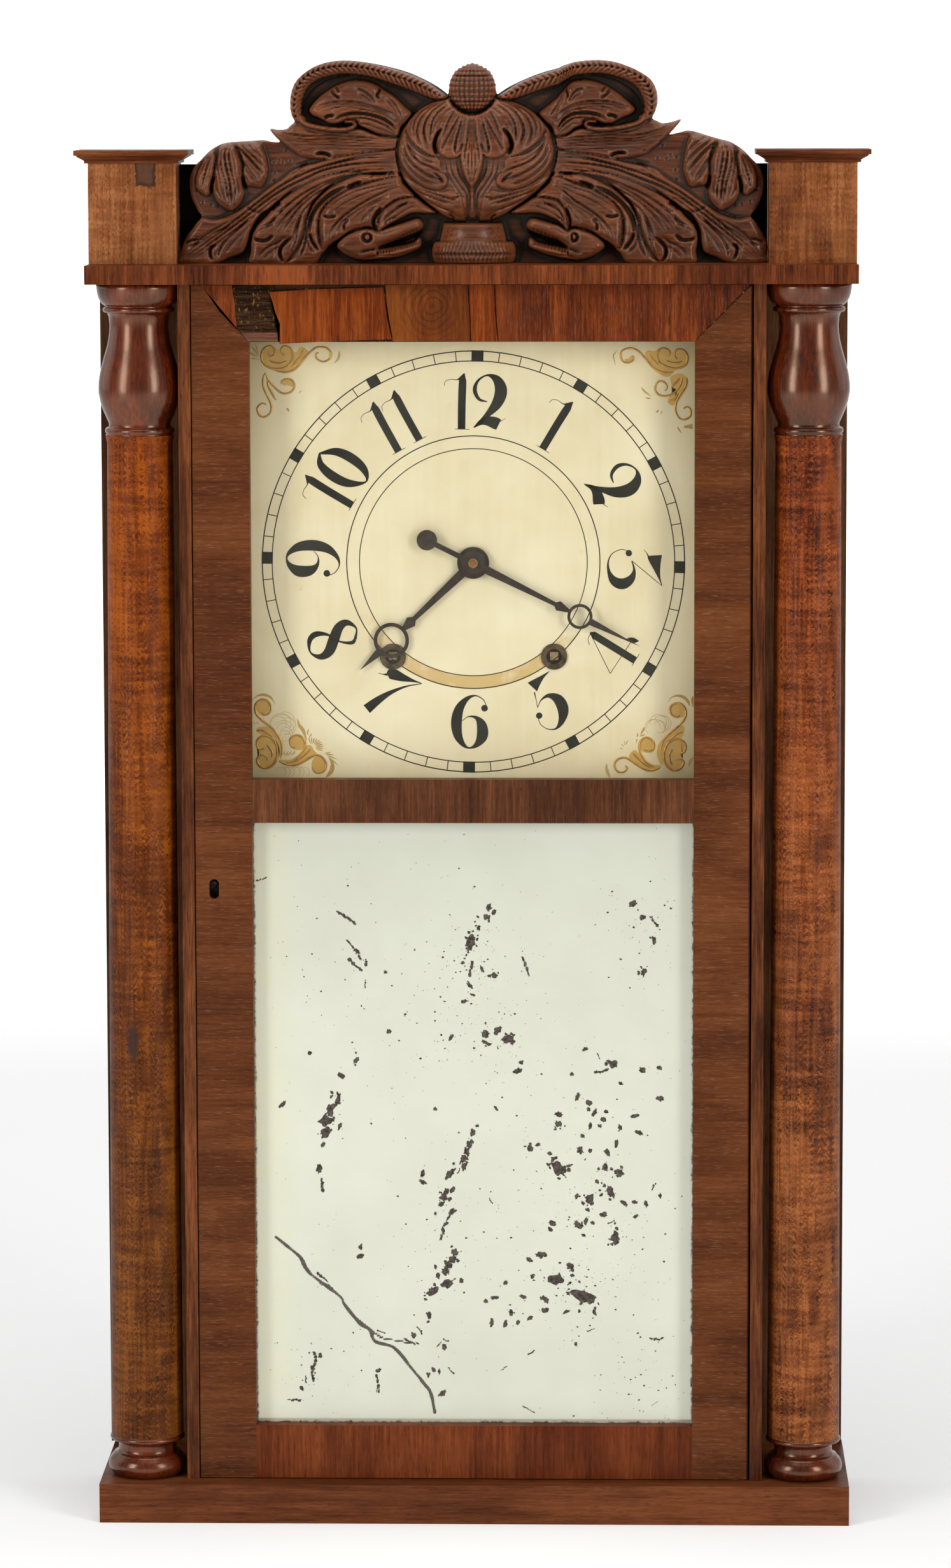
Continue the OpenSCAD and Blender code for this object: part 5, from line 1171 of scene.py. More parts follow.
# Door frame.
# A pine frame faced with mahogany veneer: the stiles' veneer runs across, the rails' veneer up and down,
# and the top corners are mitred. It hangs on wire pins at its right edge.
stile_tones = ((70, 34, 16), (95, 50, 22), (116, 66, 34))
stile_wood = wood("stile_veneer", stile_tones, "x", 17.3, 0.62, pores=0.35, rough=(0.32, 0.5), dust=0.3)
dress(stile_wood, "door_stile_left", "door_stile_right")
mid_tones = ((66, 36, 20), (96, 55, 31), (124, 76, 46))
dress(wood("mid_rail_veneer", mid_tones, "z", 18.9, 0.55, pores=0.5, rough=(0.32, 0.5), dust=0.15),
      "door_mid_rail")
low_tones = ((76, 31, 13), (108, 50, 21), (136, 70, 34))
low_wood = wood("bottom_rail_veneer", low_tones, "z", 19.9, 0.6, pores=0.4, rough=(0.32, 0.5))
dress(low_wood, "door_bottom_rail")
# The top rail's veneer has cracked into pieces. One is lost and shows the rough wood, one has slipped.
# Each piece: its name, its wood, how far it stands proud, and its corners.
veneer_flap = [
    ("stile_corner", "stile", 0.5, -163, 733.2, -157.1, 733.2, -131, 701.3, -130, 700.5),
    ("mitre_piece", "red", 0.5, -156.9, 733.2, -139.3, 733.2, -138.6, 728, -137.7, 722.9, -136.4, 707.3,
     -146.4, 717.8),
    ("rail_ledge", "pale", 0.3, -136.3, 705.8, -112.7, 705.8, -112.7, 700.6, -130.6, 700.6),
    ("slipped_piece", "orange", 1.1, -117.6, 729.2, -95.3, 730.7, -51.4, 731.9, -50.1, 725.3, -48.9, 713.9,
     -46.4, 701.8, -77.6, 700.9, -111.6, 699.2, -111.3, 710.8, -113.9, 717.1, -115.8, 724.1),
    ("strip_above", "dark", 0.3, -114, 733.3, -51, 733.3, -51, 732.6, -95, 731.6, -113, 731.1),
    ("second_piece", "brown", 0.6, -50, 733.2, -2.4, 733.2, -1.8, 722.7, -1.1, 712.6, -0.9, 700.5,
     -26.7, 700.8, -45.6, 700.6, -48, 713.9, -49.4, 724),
    ("narrow_piece", "orange", 0.5, -1.6, 733.2, 13.2, 733.2, 13.5, 718.9, 15.1, 700.5, -0.2, 700.5,
     -0.7, 712.6),
    ("long_piece", "red", 0.25, 13.8, 733.2, 14.1, 718.9, 15.7, 700.5, 129.2, 700.5, 161.3, 733.2),
]
rough_pine = wood("rail_under_veneer", ((24, 14, 9), (50, 33, 21), (80, 56, 36)), "x", 21.4, 0.3, pores=0.7,
                  rough=(0.7, 0.9), gloss=0.02, relief=0.9)
tree, surface, place, colour = reopened(rough_pine)
flecks = noise(tree, stretched(tree, place, 260.0, 620.0, "z", 4.0), 1.0, 3.0, 0.7)
flecks = span(tree, flecks, 0.58, 0.68, 0.0, 0.8)
fill(tree, surface, {"Base Color": tint(tree, flecks, colour, paint(146, 102, 58))})
dress(rough_pine, "door_top_rail")
orange_tones = ((74, 26, 5), (120, 50, 10), (158, 78, 26))
brown_tones = ((62, 26, 7), (106, 50, 14), (146, 78, 28))
red_tones = ((64, 24, 7), (110, 46, 12), (148, 72, 28))
ledge_tones = ((82, 48, 34), (116, 76, 58), (146, 104, 82))
strip_tones = ((30, 16, 10), (52, 28, 16), (84, 46, 24))
veneers = {
    "stile": stile_wood,
    "orange": wood("veneer_orange", orange_tones, "z", 22.6, 0.5, pores=0.5, gloss=0.12),
    "red": wood("veneer_red", red_tones, "z", 23.9, 0.5, pores=0.6, gloss=0.12, dust=0.3),
    "brown": wood("veneer_brown", brown_tones, "z", 24.5, 0.75, pores=0.4, gloss=0.12),
    "pale": wood("ledge_wood", ledge_tones, "x", 25.1, 0.5),
    "dark": wood("strip_wood", strip_tones, "x", 25.9, 0.5),
}
tree, surface, place, colour = reopened(veneers["brown"])
off_knot = add(tree, "ShaderNodeMapping", {"Vector": place, "Location": (0.016, 0.0, -0.4326),
                                           "Scale": (0.7, 0.0, 0.6)})
from_knot = length(tree, off_knot.outputs[0])
rings = plus(tree, times(tree, from_knot, 2400.0), times(tree, noise(tree, place, 55.0, 3.0), 16.0))
rings = times(tree, span(tree, sum_up(tree, "SINE", rings), 0.2, 1.0, 0.0, 0.5),
              span(tree, from_knot, 0.018, 0.006))
fill(tree, surface, {"Base Color": tint(tree, rings, colour, paint(58, 24, 8))})
door_front = front_y + 0.015


def slabs(name, pairs):
    """Thin slabs, each between a top rim and a foot rim of points, as one mesh."""
    work = bmesh.new()
    for top, foot in pairs:
        top = [work.verts.new(p) for p in top]
        foot = [work.verts.new(p) for p in foot]
        work.faces.new(top)
        work.faces.new(list(reversed(foot)))
        for n in range(len(top)):
            m = (n + 1) % len(top)
            work.faces.new((foot[n], foot[m], top[m], top[n]))
    whole(work)
    mesh = bpy.data.meshes.new(name)
    work.to_mesh(mesh)
    work.free()
    return mesh


for name, look, proud, *corners in veneer_flap:
    rims = []
    for out in (proud / 1000.0, 0.00005):
        rims.append([(x / 1000.0, door_front - out, z / 1000.0) for x, z in places(corners, 1.0)])
    flap = stand("veneer_" + name, slabs("veneer_" + name, [rims]))
    dress(veneers[look], flap)
    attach(flap, "door")
dress(metal("hinge_wire", (70, 52, 42), (128, 108, 92), (0.35, 0.6), 0.9), "hinge_pins")

# Lock.
# An iron lock let into the back of the left stile, with its bolt, behind a bare keyhole.
lock_iron = metal("lock_iron", (34, 28, 25), (76, 66, 60), (0.45, 0.7), 0.8, spots=(92, 56, 36))
dress(lock_iron, "lock_case", "lock_bolt")

# Glazing.
# Clear old glass over the dial, a looking glass with worn silvering below it, both held in the door's
# rabbets by pine strips, and a thin pine board behind the looking glass.
dress(pine, "mirror_backing", "glazing_strips")


def clear_glass():
    """Old window glass: almost clear, with a faint waviness."""
    finish, tree, surface, place = start_finish("window_glass")
    waviness = noise(tree, place, 9.0, 2.0)
    smear = noise(tree, place, 26.0, 4.0, 0.6)
    fill(tree, surface, {"Base Color": paint(222, 220, 190),
                         "Alpha": span(tree, smear, 0.3, 0.8, 0.01, 0.035),
                         "Normal": bumped(tree, 0.06, 0.001, waviness), "Roughness": 0.05,
                         "Specular IOR Level": 0.2, "IOR": 1.5})
    return finish


dress(clear_glass(), "dial_glass")
glass_low, glass_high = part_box("looking_glass")
glass_front = glass_low.y
# Lost silvering: each blot's middle across and up in half millimetres, its half length and half width in
# fifths of a millimetre, and its turn in degrees.
lost_spots = [
    -170, 483, 81, 20, 68, 129, 266, 54, 36, -16, 98, 286, 44, 26, 0, -3, 691, 49, 20, 72,
    101, 420, 42, 26, -40, -28, 307, 48, 18, 62, 137, 384, 26, 22, 71, 168, 337, 32, 21, 86,
    -9, 436, 50, 14, 73, 162, 393, 33, 18, -64, -50, 271, 31, 16, 33, -31, 281, 30, 20, 19,
    40, 576, 29, 21, 7, -33, 387, 42, 16, 54, -35, 349, 48, 8, 73, -28, 414, 34, 14, 49,
    -140, 665, 32, 8, -43, -1, 464, 20, 13, 86, 100, 474, 17, 16, -41, 173, 416, 22, 17, -38,
    156, 422, 20, 12, -79, -54, 242, 20, 13, -71, 201, 657, 24, 13, 78, 16, 722, 18, 13, -8,
    -3, 660, 28, 8, 82, 85, 262, 20, 12, -50, 67, 445, 16, 14, -55, -139, 550, 18, 11, 64,
    -141, 683, 42, 7, -55, -115, 159, 34, 8, -84, -193, 171, 29, 9, -86, 213, 717, 23, 8, -54,
    178, 379, 22, 10, -30, 62, 663, 35, 5, -70, 29, 587, 15, 10, 47, 109, 247, 18, 8, 24,
    -190, 189, 25, 8, -88, 217, 215, 24, 8, 10, 44, 245, 18, 10, -82, -150, 721, 38, 6, -34,
    14, 572, 22, 9, -21, 66, 239, 16, 10, 33, 169, 451, 20, 8, 84, 138, 472, 19, 8, 73,
    165, 546, 14, 12, -19, -181, 400, 24, 8, -89, -181, 288, 25, 6, -36, 115, 302, 15, 10, -65,
    14, 582, 12, 11, -62, 79, 316, 15, 9, 5, 52, 538, 14, 8, 24, 18, 733, 12, 9, 60, -75, 210, 28, 5, -25,
    -65, 224, 17, 6, -63, 126, 443, 12, 10, -73, -215, 139, 24, 5, 1, 188, 738, 12, 9, 33,
    112, 424, 17, 6, 15, 143, 247, 16, 8, -64, 24, 652, 20, 10, -18, 151, 538, 25, 6, 20,
    -157, 532, 12, 8, -47, -136, 314, 12, 8, 24, -72, 218, 10, 8, -62, 100, 486, 12, 8, -7,
    213, 399, 16, 6, 55, -184, 419, 14, 9, -86, 136, 500, 10, 9, -51, 85, 249, 11, 8, -3,
    154, 365, 10, 9, 3, 196, 464, 14, 7, -20, 158, 440, 12, 8, -56, 153, 480, 10, 8, -36,
    94, 354, 12, 8, -26, 37, 233, 12, 6, 81, 123, 507, 12, 7, 68, 190, 484, 14, 6, 16, 143, 488, 12, 6, 62,
    200, 539, 12, 8, -34, 220, 505, 14, 8, -16, -61, 414, 14, 6, 83, 204, 378, 12, 6, -72,
    21, 234, 12, 7, 79, -27, 578, 11, 6, 62, -38, 147, 14, 8, 44, 123, 353, 14, 10, -47,
    -26, 368, 13, 8, 30, 58, 265, 12, 6, -19, 213, 695, 12, 6, -83, -115, 175, 10, 6, 25,
    -28, 175, 16, 4, -45, 200, 722, 9, 8, 45, 65, 128, 24, 3, -29, -111, 222, 16, 4, -15,
    -206, 153, 11, 6, -66, 91, 347, 10, 6, -46, -49, 176, 10, 6, -64, -61, 404, 13, 6, -36,
    -128, 642, 15, 4, 83, -180, 279, 14, 4, -21, 173, 470, 10, 6, -66, 122, 387, 9, 6, 82,
    24, 264, 12, 6, 9, -135, 325, 10, 6, 75, -250, 767, 20, 4, 23, 20, 381, 12, 4, -61, -4, 640, 14, 6, -53,
    -227, 497, 14, 6, 47, 76, 449, 8, 6, 20, 66, 310, 10, 6, -34, 52, 234, 9, 6, 46, -159, 471, 12, 6, 62,
    -171, 277, 12, 4, -44, -11, 621, 9, 6, 16, -179, 449, 9, 6, 57, 148, 556, 12, 4, -64, 37, 282, 8, 7, 34,
    10, 660, 12, 5, -69, -36, 204, 12, 7, 70, -43, 291, 10, 6, 57, 220, 542, 10, 6, -44,
    -127, 666, 10, 5, 87, 221, 388, 8, 6, -88, 133, 357, 14, 6, 78, -18, 417, 11, 4, 66,
    -34, 212, 11, 4, -20, 192, 363, 8, 6, 29, 163, 356, 13, 4, 23, 139, 225, 14, 4, 22, 132, 564, 10, 6, 17,
    -55, 170, 8, 6, -89, 157, 489, 8, 6, -17, 146, 405, 8, 6, -47, 129, 460, 8, 6, -30, 90, 439, 7, 6, -28,
    14, 260, 8, 6, 0, -184, 193, 8, 6, 73, 191, 380, 8, 6, -12, 56, 548, 8, 6, 20, 24, 728, 9, 6, 63,
    -42, 207, 12, 4, 41, 149, 472, 6, 6, 66, 116, 534, 7, 6, -8, 68, 197, 14, 4, 25, 26, 493, 10, 4, -49,
    135, 371, 7, 6, -46, 35, 178, 13, 3, 36, -42, 174, 9, 4, -85, -201, 164, 13, 4, 90, 69, 290, 7, 6, -68,
    -1, 629, 8, 4, -17, -15, 284, 7, 6, 34, -100, 585, 8, 7, -29, 174, 523, 7, 6, -13, 121, 208, 7, 5, -78,
    -46, 301, 8, 5, -87, -194, 559, 6, 6, -61, 157, 547, 6, 6, -36, 141, 355, 8, 5, -38,
    138, 442, 6, 6, -85, 136, 492, 6, 6, 69, 130, 340, 7, 5, -28, -46, 492, 6, 6, 90, -104, 656, 6, 6, -83,
    215, 136, 14, 2, 34
]
lost_spots = [(x / 2.0, z / 2.0, long / 5.0, wide / 5.0, turn) for x, z, long, wide,
              turn in places(lost_spots, 1.0, 5)]
# Cracks, in millimetres from the middle and from the plinth's underside.
crack_line = [(-118, 168.5), (-112.8, 164.1), (-103.8, 156.4), (-100, 149.4), (-95.5, 144.4),
              (-80.4, 132.9), (-77, 127.1), (-67.9, 115.9), (-62.3, 112.1), (-59.1, 105.1), (-47.9, 101.3),
              (-38.4, 90.1), (-30.1, 79.7), (-26, 73.5), (-23.6, 62)]
side_cracks = [[(-70, 119), (-56, 108), (-48, 106), (-35.3, 103.7)], [(-58, 74), (-57.6, 84)],
               [(32.4, 328), (30, 335.5)], [(-68, 337), (-72.5, 344.5)], [(-72, 358.5), (-79, 363.5)]]
cell = 0.0011
count_x = int(round((glass_high.x - glass_low.x) / cell))
count_z = int(round((glass_high.z - glass_low.z) / cell))
mirror_x = np.linspace(glass_low.x, glass_high.x, count_x + 1)
mirror_z = np.linspace(glass_low.z, glass_high.z, count_z + 1)
mx, mz = np.meshgrid(mirror_x * 1000.0, mirror_z * 1000.0)
scratch = np.zeros(mx.shape)
for points, width in [(crack_line, 1.7)] + [(p, 0.9) for p in side_cracks]:
    gap = from_line(mx, mz, flowing(points), 6.0)[0]
    scratch = np.maximum(scratch, np.clip(1.0 - gap / width, 0.0, 1.0))
half_sight = 129.7
mirror_low, mirror_high = 56.1, 418.1
to_edge = np.minimum(np.minimum(half_sight - np.abs(mx), mz - mirror_low), mirror_high - mz)
dusty = np.zeros(mx.shape)
# Places where specks crowd: across, up, how far they spread and how thick they are.
dusty_places = ((0, 335, 16, 1.0), (2, 292, 26, 0.9), (-20, 285, 45, 0.5), (60, 200, 42, 0.8),
                (66, 140, 26, 0.9), (-8, 165, 30, 0.6), (100, 360, 16, 0.6), (-75, 330, 30, 0.5),
                (-100, 90, 20, 0.5), (95, 80, 20, 0.6))
for dx, dz, spread, much in dusty_places:
    dusty = np.maximum(dusty, much * np.exp(-((mx - dx) ** 2 + (mz - dz) ** 2) / (2.0 * spread**2)))
grid = np.arange((count_x + 1) * (count_z + 1)).reshape(count_z + 1, count_x + 1)
front = np.stack([grid[:-1, :-1], grid[:-1, 1:], grid[1:, 1:], grid[1:, :-1]], axis=-1).reshape(-1, 4)
verts = np.c_[mx.ravel() / 1000.0, np.full(mx.size, glass_front), mz.ravel() / 1000.0]
mirror_mesh = mesh_of("looking_glass_silvered", verts.tolist(), front.tolist())
keep_fields(mirror_mesh, {"scratch": scratch, "to_edge": to_edge, "dusty": dusty})
work = with_back(mirror_mesh, glass_high.y)
work.to_mesh(mirror_mesh)
work.free()
looking_glass = stand("looking_glass_silvered", mirror_mesh)


def worn_mirror():
    """Old silvering, brown where the silver has gone in blots, specks and cracks; elsewhere a painted
    reflection.
    """
    finish, tree, surface, place = start_finish("worn_silvering")
    scratched, to_rim, dust = (read_field(tree, name) for name in ("scratch", "to_edge", "dusty"))
    ragged = noise(tree, place, 260.0, 4.0, 0.7, 0.6)
    coarse = noise(tree, place, 95.0, 3.0, 0.6)
    speck_noise = noise(tree, place, 520.0, 2.0, 0.5)
    limit = span(tree, dust, 0.0, 1.0, 0.80, 0.665)
    speck = span(tree, minus(tree, speck_noise, limit), 0.0, 0.02)
    bigger = noise(tree, place, 190.0, 2.0, 0.5)
    limit = span(tree, dust, 0.0, 1.0, 0.86, 0.70)
    speck = most(tree, speck, span(tree, minus(tree, bigger, limit), 0.0, 0.015))
    crack = span(tree, plus(tree, scratched, times(tree, coarse, 0.9)), 0.82, 0.95)
    crack = times(tree, crack, span(tree, scratched, 0.02, 0.1))
    rim = plus(tree, to_rim, times(tree, minus(tree, ragged, 0.5), 6.0))
    rim = span(tree, rim, 0.9, -0.3)
    gone = most(tree, speck, most(tree, crack, rim))
    across = parts_of(tree, place)[0]
    yellow = times(tree, span(tree, across, -0.1, -0.128), span(tree, coarse, 0.35, 0.7, 0.3, 0.9))
    # The silver is mostly a flat pale colour, a painted reflection of the pale room, with a little real
    # mirror shine.
    silver_painted_reflection = tint(tree, span(tree, noise(tree, place, 14.0, 4.0, 0.6), 0.35, 0.7), paint(218, 220, 201),
                  paint(226, 228, 210))
    silver_painted_reflection = tint(tree, yellow, silver_painted_reflection, paint(230, 226, 190))
    bare = tint(tree, noise(tree, place, 400.0, 3.0), paint(38, 34, 32), paint(112, 102, 92))
    fill(tree, surface, {"Base Color": tint(tree, gone, silver_painted_reflection, bare),
                         "Metallic": span(tree, gone, 0.0, 1.0, 0.3, 0.0),
                         "Roughness": span(tree, gone, 0.0, 1.0, 0.1, 0.4)})
    return finish


dress(worn_mirror(), looking_glass)
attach(looking_glass, "door")
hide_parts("looking_glass")


def bare_spots():
    """Brown-grey backing showing through the lost silver."""
    finish, tree, surface, place = start_finish("bare_backing")
    colour = shades(tree, noise(tree, place, 500.0, 4.0, 0.6),
                    [(0.35, paint(54, 48, 44)), (0.6, paint(98, 88, 80))])
    dull = span(tree, noise(tree, place, 200.0), 0.3, 0.7, 0.4, 0.6)
    fill(tree, surface, {"Base Color": colour, "Roughness": dull, "Specular IOR Level": 0.1})
    return finish


# Ragged blots, each a thin flat patch, and clouds of specks round them.
rng = np.random.default_rng(11)
streak = 2.6
patches = []
for x, z, long, wide, turn in lost_spots:
    if long < streak * wide:
        core = 0.62 if long > 3.0 else 1.0
        patches.append((x, z, long * core, wide * core, turn))
for x, z, long, wide, turn in lost_spots:
    c, s = math.cos(math.radians(turn)), math.sin(math.radians(turn))
    for _ in range(int(long * wide * 0.42) if wide > 1.6 else 0):
        a, b = rng.normal(0.0, 0.55, 2) * (long, wide)
        size = rng.uniform(0.4, 1.5)
        patches.append((x + a * c - b * s, z + a * s + b * c, size, size * rng.uniform(0.5, 0.9),
                        rng.uniform(0, 180)))
for x, z, long, wide, turn in lost_spots:
    if long >= streak * wide:
        c, s = math.cos(math.radians(turn)), math.sin(math.radians(turn))
        for share in (-0.66, -0.22, 0.22, 0.66):
            push = rng.normal(0.0, 0.25 * wide)
            patches.append((x + share * long * c - push * s, z + share * long * s + push * c, long * 0.26,
                            wide * rng.uniform(0.35, 0.8), turn + rng.normal(0.0, 14.0)))
for dx, dz, spread, much in dusty_places:
    for _ in range(int(95 * much)):
        size = 0.22 + 0.6 * rng.random() ** 3
        patches.append((dx + rng.normal(0.0, spread), dz + rng.normal(0.0, spread), size, size * 0.8, 0.0))
for _ in range(150):
    patches.append((rng.uniform(-126, 126), rng.uniform(60, 415), 0.3, 0.25, 0.0))
spot_side, spot_low, spot_high = 128.5, 57.5, 417.0
verts = []
faces = []
for x, z, long, wide, turn in patches:
    if abs(x) + wide > spot_side or z - wide < spot_low or z + wide > spot_high:
        continue
    corners = 6 if long < 1.0 else 16
    around = np.linspace(0.0, 2.0 * math.pi, corners, endpoint=False)
    ragged = 1.0 + rng.uniform(-0.34, 0.3, corners)
    c, s = math.cos(math.radians(turn)), math.sin(math.radians(turn))
    u, v = long * ragged * np.cos(around), wide * ragged * np.sin(around)
    start = len(verts)
    verts.append((x / 1000.0, glass_front - 0.00006, z / 1000.0))
    for a, b in zip(x + u * c - v * s, z + u * s + v * c):
        verts.append((a / 1000.0, glass_front - 0.00003, b / 1000.0))
    faces += [(start, start + 1 + n, start + 1 + (n + 1) % corners) for n in range(corners)]
lost_silvering = stand("lost_silvering", mesh_of("lost_silvering", verts, faces))
dress(bare_spots(), lost_silvering)
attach(lost_silvering, "door")

# Dial.
# A pine board painted cream, with black numerals and minute ring, a band of worn gilding, raised gilt
# scrolls in the corners, and bushes of dark brass round the winding holes. It was fixed a little turned.
dial_front = front_y + 0.040
dial_mid = (0.0, 0.5695)
dial_turn = math.radians(-1.3)


def on_dial(x, y, lift=0.00006):
    """A place on the dial, in millimetres from its middle, as a point of the clock."""
    c, s = math.cos(dial_turn), math.sin(dial_turn)
    across, up = (x * c - y * s) / 1000.0, (x * s + y * c) / 1000.0
    return dial_mid[0] + across, dial_front - lift, dial_mid[1] + up


def dial_paint():
    """Cream paint with brown rims and stains, and what is left of the gilt band."""
    finish, tree, surface, place = start_finish("dial_cream_paint")
    clouds = noise(tree, place, 16.0, 4.0, 0.6)
    streaks = noise(tree, stretched(tree, place, 9.0, 260.0, "z", 2.0), 1.0, 3.0)
    colour = shades(tree, plus(tree, times(tree, clouds, 0.8), times(tree, streaks, 0.2)),
                    [(0.32, paint(226, 210, 164)), (0.5, paint(234, 221, 180)),
                     (0.68, paint(240, 230, 192))])
    centre = length(tree, apart(tree, place, (dial_mid[0], dial_front, dial_mid[1])))
    rim = span(tree, plus(tree, centre, times(tree, clouds, 0.03)), 0.15, 0.19, 0.0, 0.85)
    colour = tint(tree, rim, colour, paint(196, 176, 126))
    band = times(tree, span(tree, centre, 0.0665, 0.0672), span(tree, centre, 0.0752, 0.0745))
    below = parts_of(tree, place)[2]
    worn = plus(tree, span(tree, below, dial_mid[1] + 0.004, dial_mid[1] - 0.07),
                times(tree, minus(tree, noise(tree, place, 60.0, 4.0, 0.7), 0.5), 1.5))
    gilt = times(tree, band, span(tree, worn, 0.55, 0.95, 0.0, 0.85))
    colour = tint(tree, gilt, colour, paint(206, 170, 96))
    stain = noise(tree, place, 120.0, 4.0, 0.7)
    colour = tint(tree, span(tree, stain, 0.68, 0.8, 0.0, 0.4), colour, paint(176, 140, 92))
    fill(tree, surface, {"Base Color": colour, "Roughness": span(tree, clouds, 0.3, 0.7, 0.42, 0.6),
                         "Normal": bumped(tree, 0.15, 0.0002, streaks)})
    return finish


dress(dial_paint(), "dial_board")
dress(metal("dark_bush_brass", (52, 40, 30), (122, 100, 74), (0.3, 0.55), 0.9), "dial_bushes")


def ribbon(strokes, steps=7, lift=0.00006):
    """Flat painted strokes, each a line of places with widths, as one mesh of thin closed strips."""
    thick = 0.00005
    verts = []
    faces = []
    for stroke in strokes:
        line = flowing(stroke, steps=steps)
        step = np.gradient(line[:, :2], axis=0)
        step /= np.hypot(step[:, 0], step[:, 1])[:, None] + 1e-9
        half = np.maximum(line[:, 2], 0.05)[:, None] / 2.0
        left = line[:, :2] + np.c_[-step[:, 1], step[:, 0]] * half
        right = line[:, :2] - np.c_[-step[:, 1], step[:, 0]] * half
        base = len(verts)
        for a, b in zip(left, right):
            verts += [on_dial(*a, lift), on_dial(*b, lift), on_dial(*b, lift - thick),
                      on_dial(*a, lift - thick)]
        for n in range(len(line) - 1):
            o = base + 4 * n
            faces += [(o + k, o + (k + 1) % 4, o + 4 + (k + 1) % 4, o + 4 + k) for k in range(4)]
        faces += [(base, base + 1, base + 2, base + 3), tuple(len(verts) - 4 + k for k in (3, 2, 1, 0))]
    return verts, faces


def put(name, verts, faces, finish, body, slot):
    """A new piece from points and faces, turned outwards, on its body."""
    piece = stand(name, mesh_of(name, verts, faces))
    outward(piece, 1e-7)
    dress(finish, piece)
    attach(piece, body)
    return piece


def black_paint():
    """Thin black paint, rubbed through in places."""
    finish, tree, surface, place = start_finish("dial_black_paint")
    worn = noise(tree, place, 420.0, 5.0, 0.7)
    brushed = noise(tree, place, 90.0, 3.0)
    share = plus(tree, worn, times(tree, brushed, 0.3))
    colour = shades(tree, share, [(0.4, paint(12, 13, 12)), (0.84, paint(28, 29, 26)),
                                  (0.94, paint(140, 128, 100))])
    fill(tree, surface, {"Base Color": colour, "Roughness": span(tree, worn, 0.3, 0.7, 0.35, 0.6),
                         "Specular IOR Level": 0.12})
    return finish


def dot(x, y, r):
    """A round painted dot, as one short fat stroke."""
    return [(x - r, y, 0.3), (x - 0.75 * r, y, 1.3 * r), (x, y, 2.0 * r), (x + 0.75 * r, y, 1.3 * r),
            (x + r, y, 0.3)]


# Strokes of the numerals: places across and up from each numeral's middle, with widths, in millimetres.
six = [[(9.8, 9.0, 0.4), (7.6, 13.4, 0.5), (3, 15.7, 0.8), (-2, 13.8, 2.6), (-6.4, 8, 5.2), (-8, 0, 6.4),
        (-7, -8, 5.2), (-3.6, -13.6, 2.6), (0.2, -15.4, 1.0), (4.4, -13.2, 3.4), (7.4, -8, 6.6),
        (6.9, -1.6, 5.8), (3.6, 2.6, 2.2), (-1, 3.2, 0.6), (-4.6, 0.6, 0.4)], dot(8.4, 8.4, 2.0)]
turned_six = [[(-x, -y, w) for x, y, w in stroke] for stroke in six]
two = [[(-1.5, 0.2, 0.5), (-6.4, 1.6, 1.8), (-9, 7, 2.4), (-7, 12.6, 1.4), (-1.6, 15.7, 1.2),
        (3.8, 13.2, 5.0), (6.4, 7, 7.2), (4.2, -0.6, 6.2), (-1.8, -8, 3.0), (-9.2, -15.1, 0.5)],
       [(-9, -15.1, 0.5), (-5, -12, 3.2), (-0.8, -11.2, 5.6), (3.2, -12.2, 7.0), (5.4, -13.2, 6.6)],
       [(6.6, -11, 0.5), (8, -10.2, 0.3), (9.3, -9.4, 0.3)]]
one = [[(1.2, 16.6, 0.3), (0.6, 14.2, 2.6), (0.2, 11.6, 4.4), (0, 0, 4.5), (0.1, -16, 4.4)],
       [(1, 16.4, 0.6), (-1.4, 13.6, 1.2), (-3.4, 12.6, 0.5), (-7, 12.8, 0.3), (-9.8, 11.6, 0.3),
        (-10.6, 9, 0.3)], [(-3.8, -16.2, 0.35), (4.6, -16.2, 0.35)]]
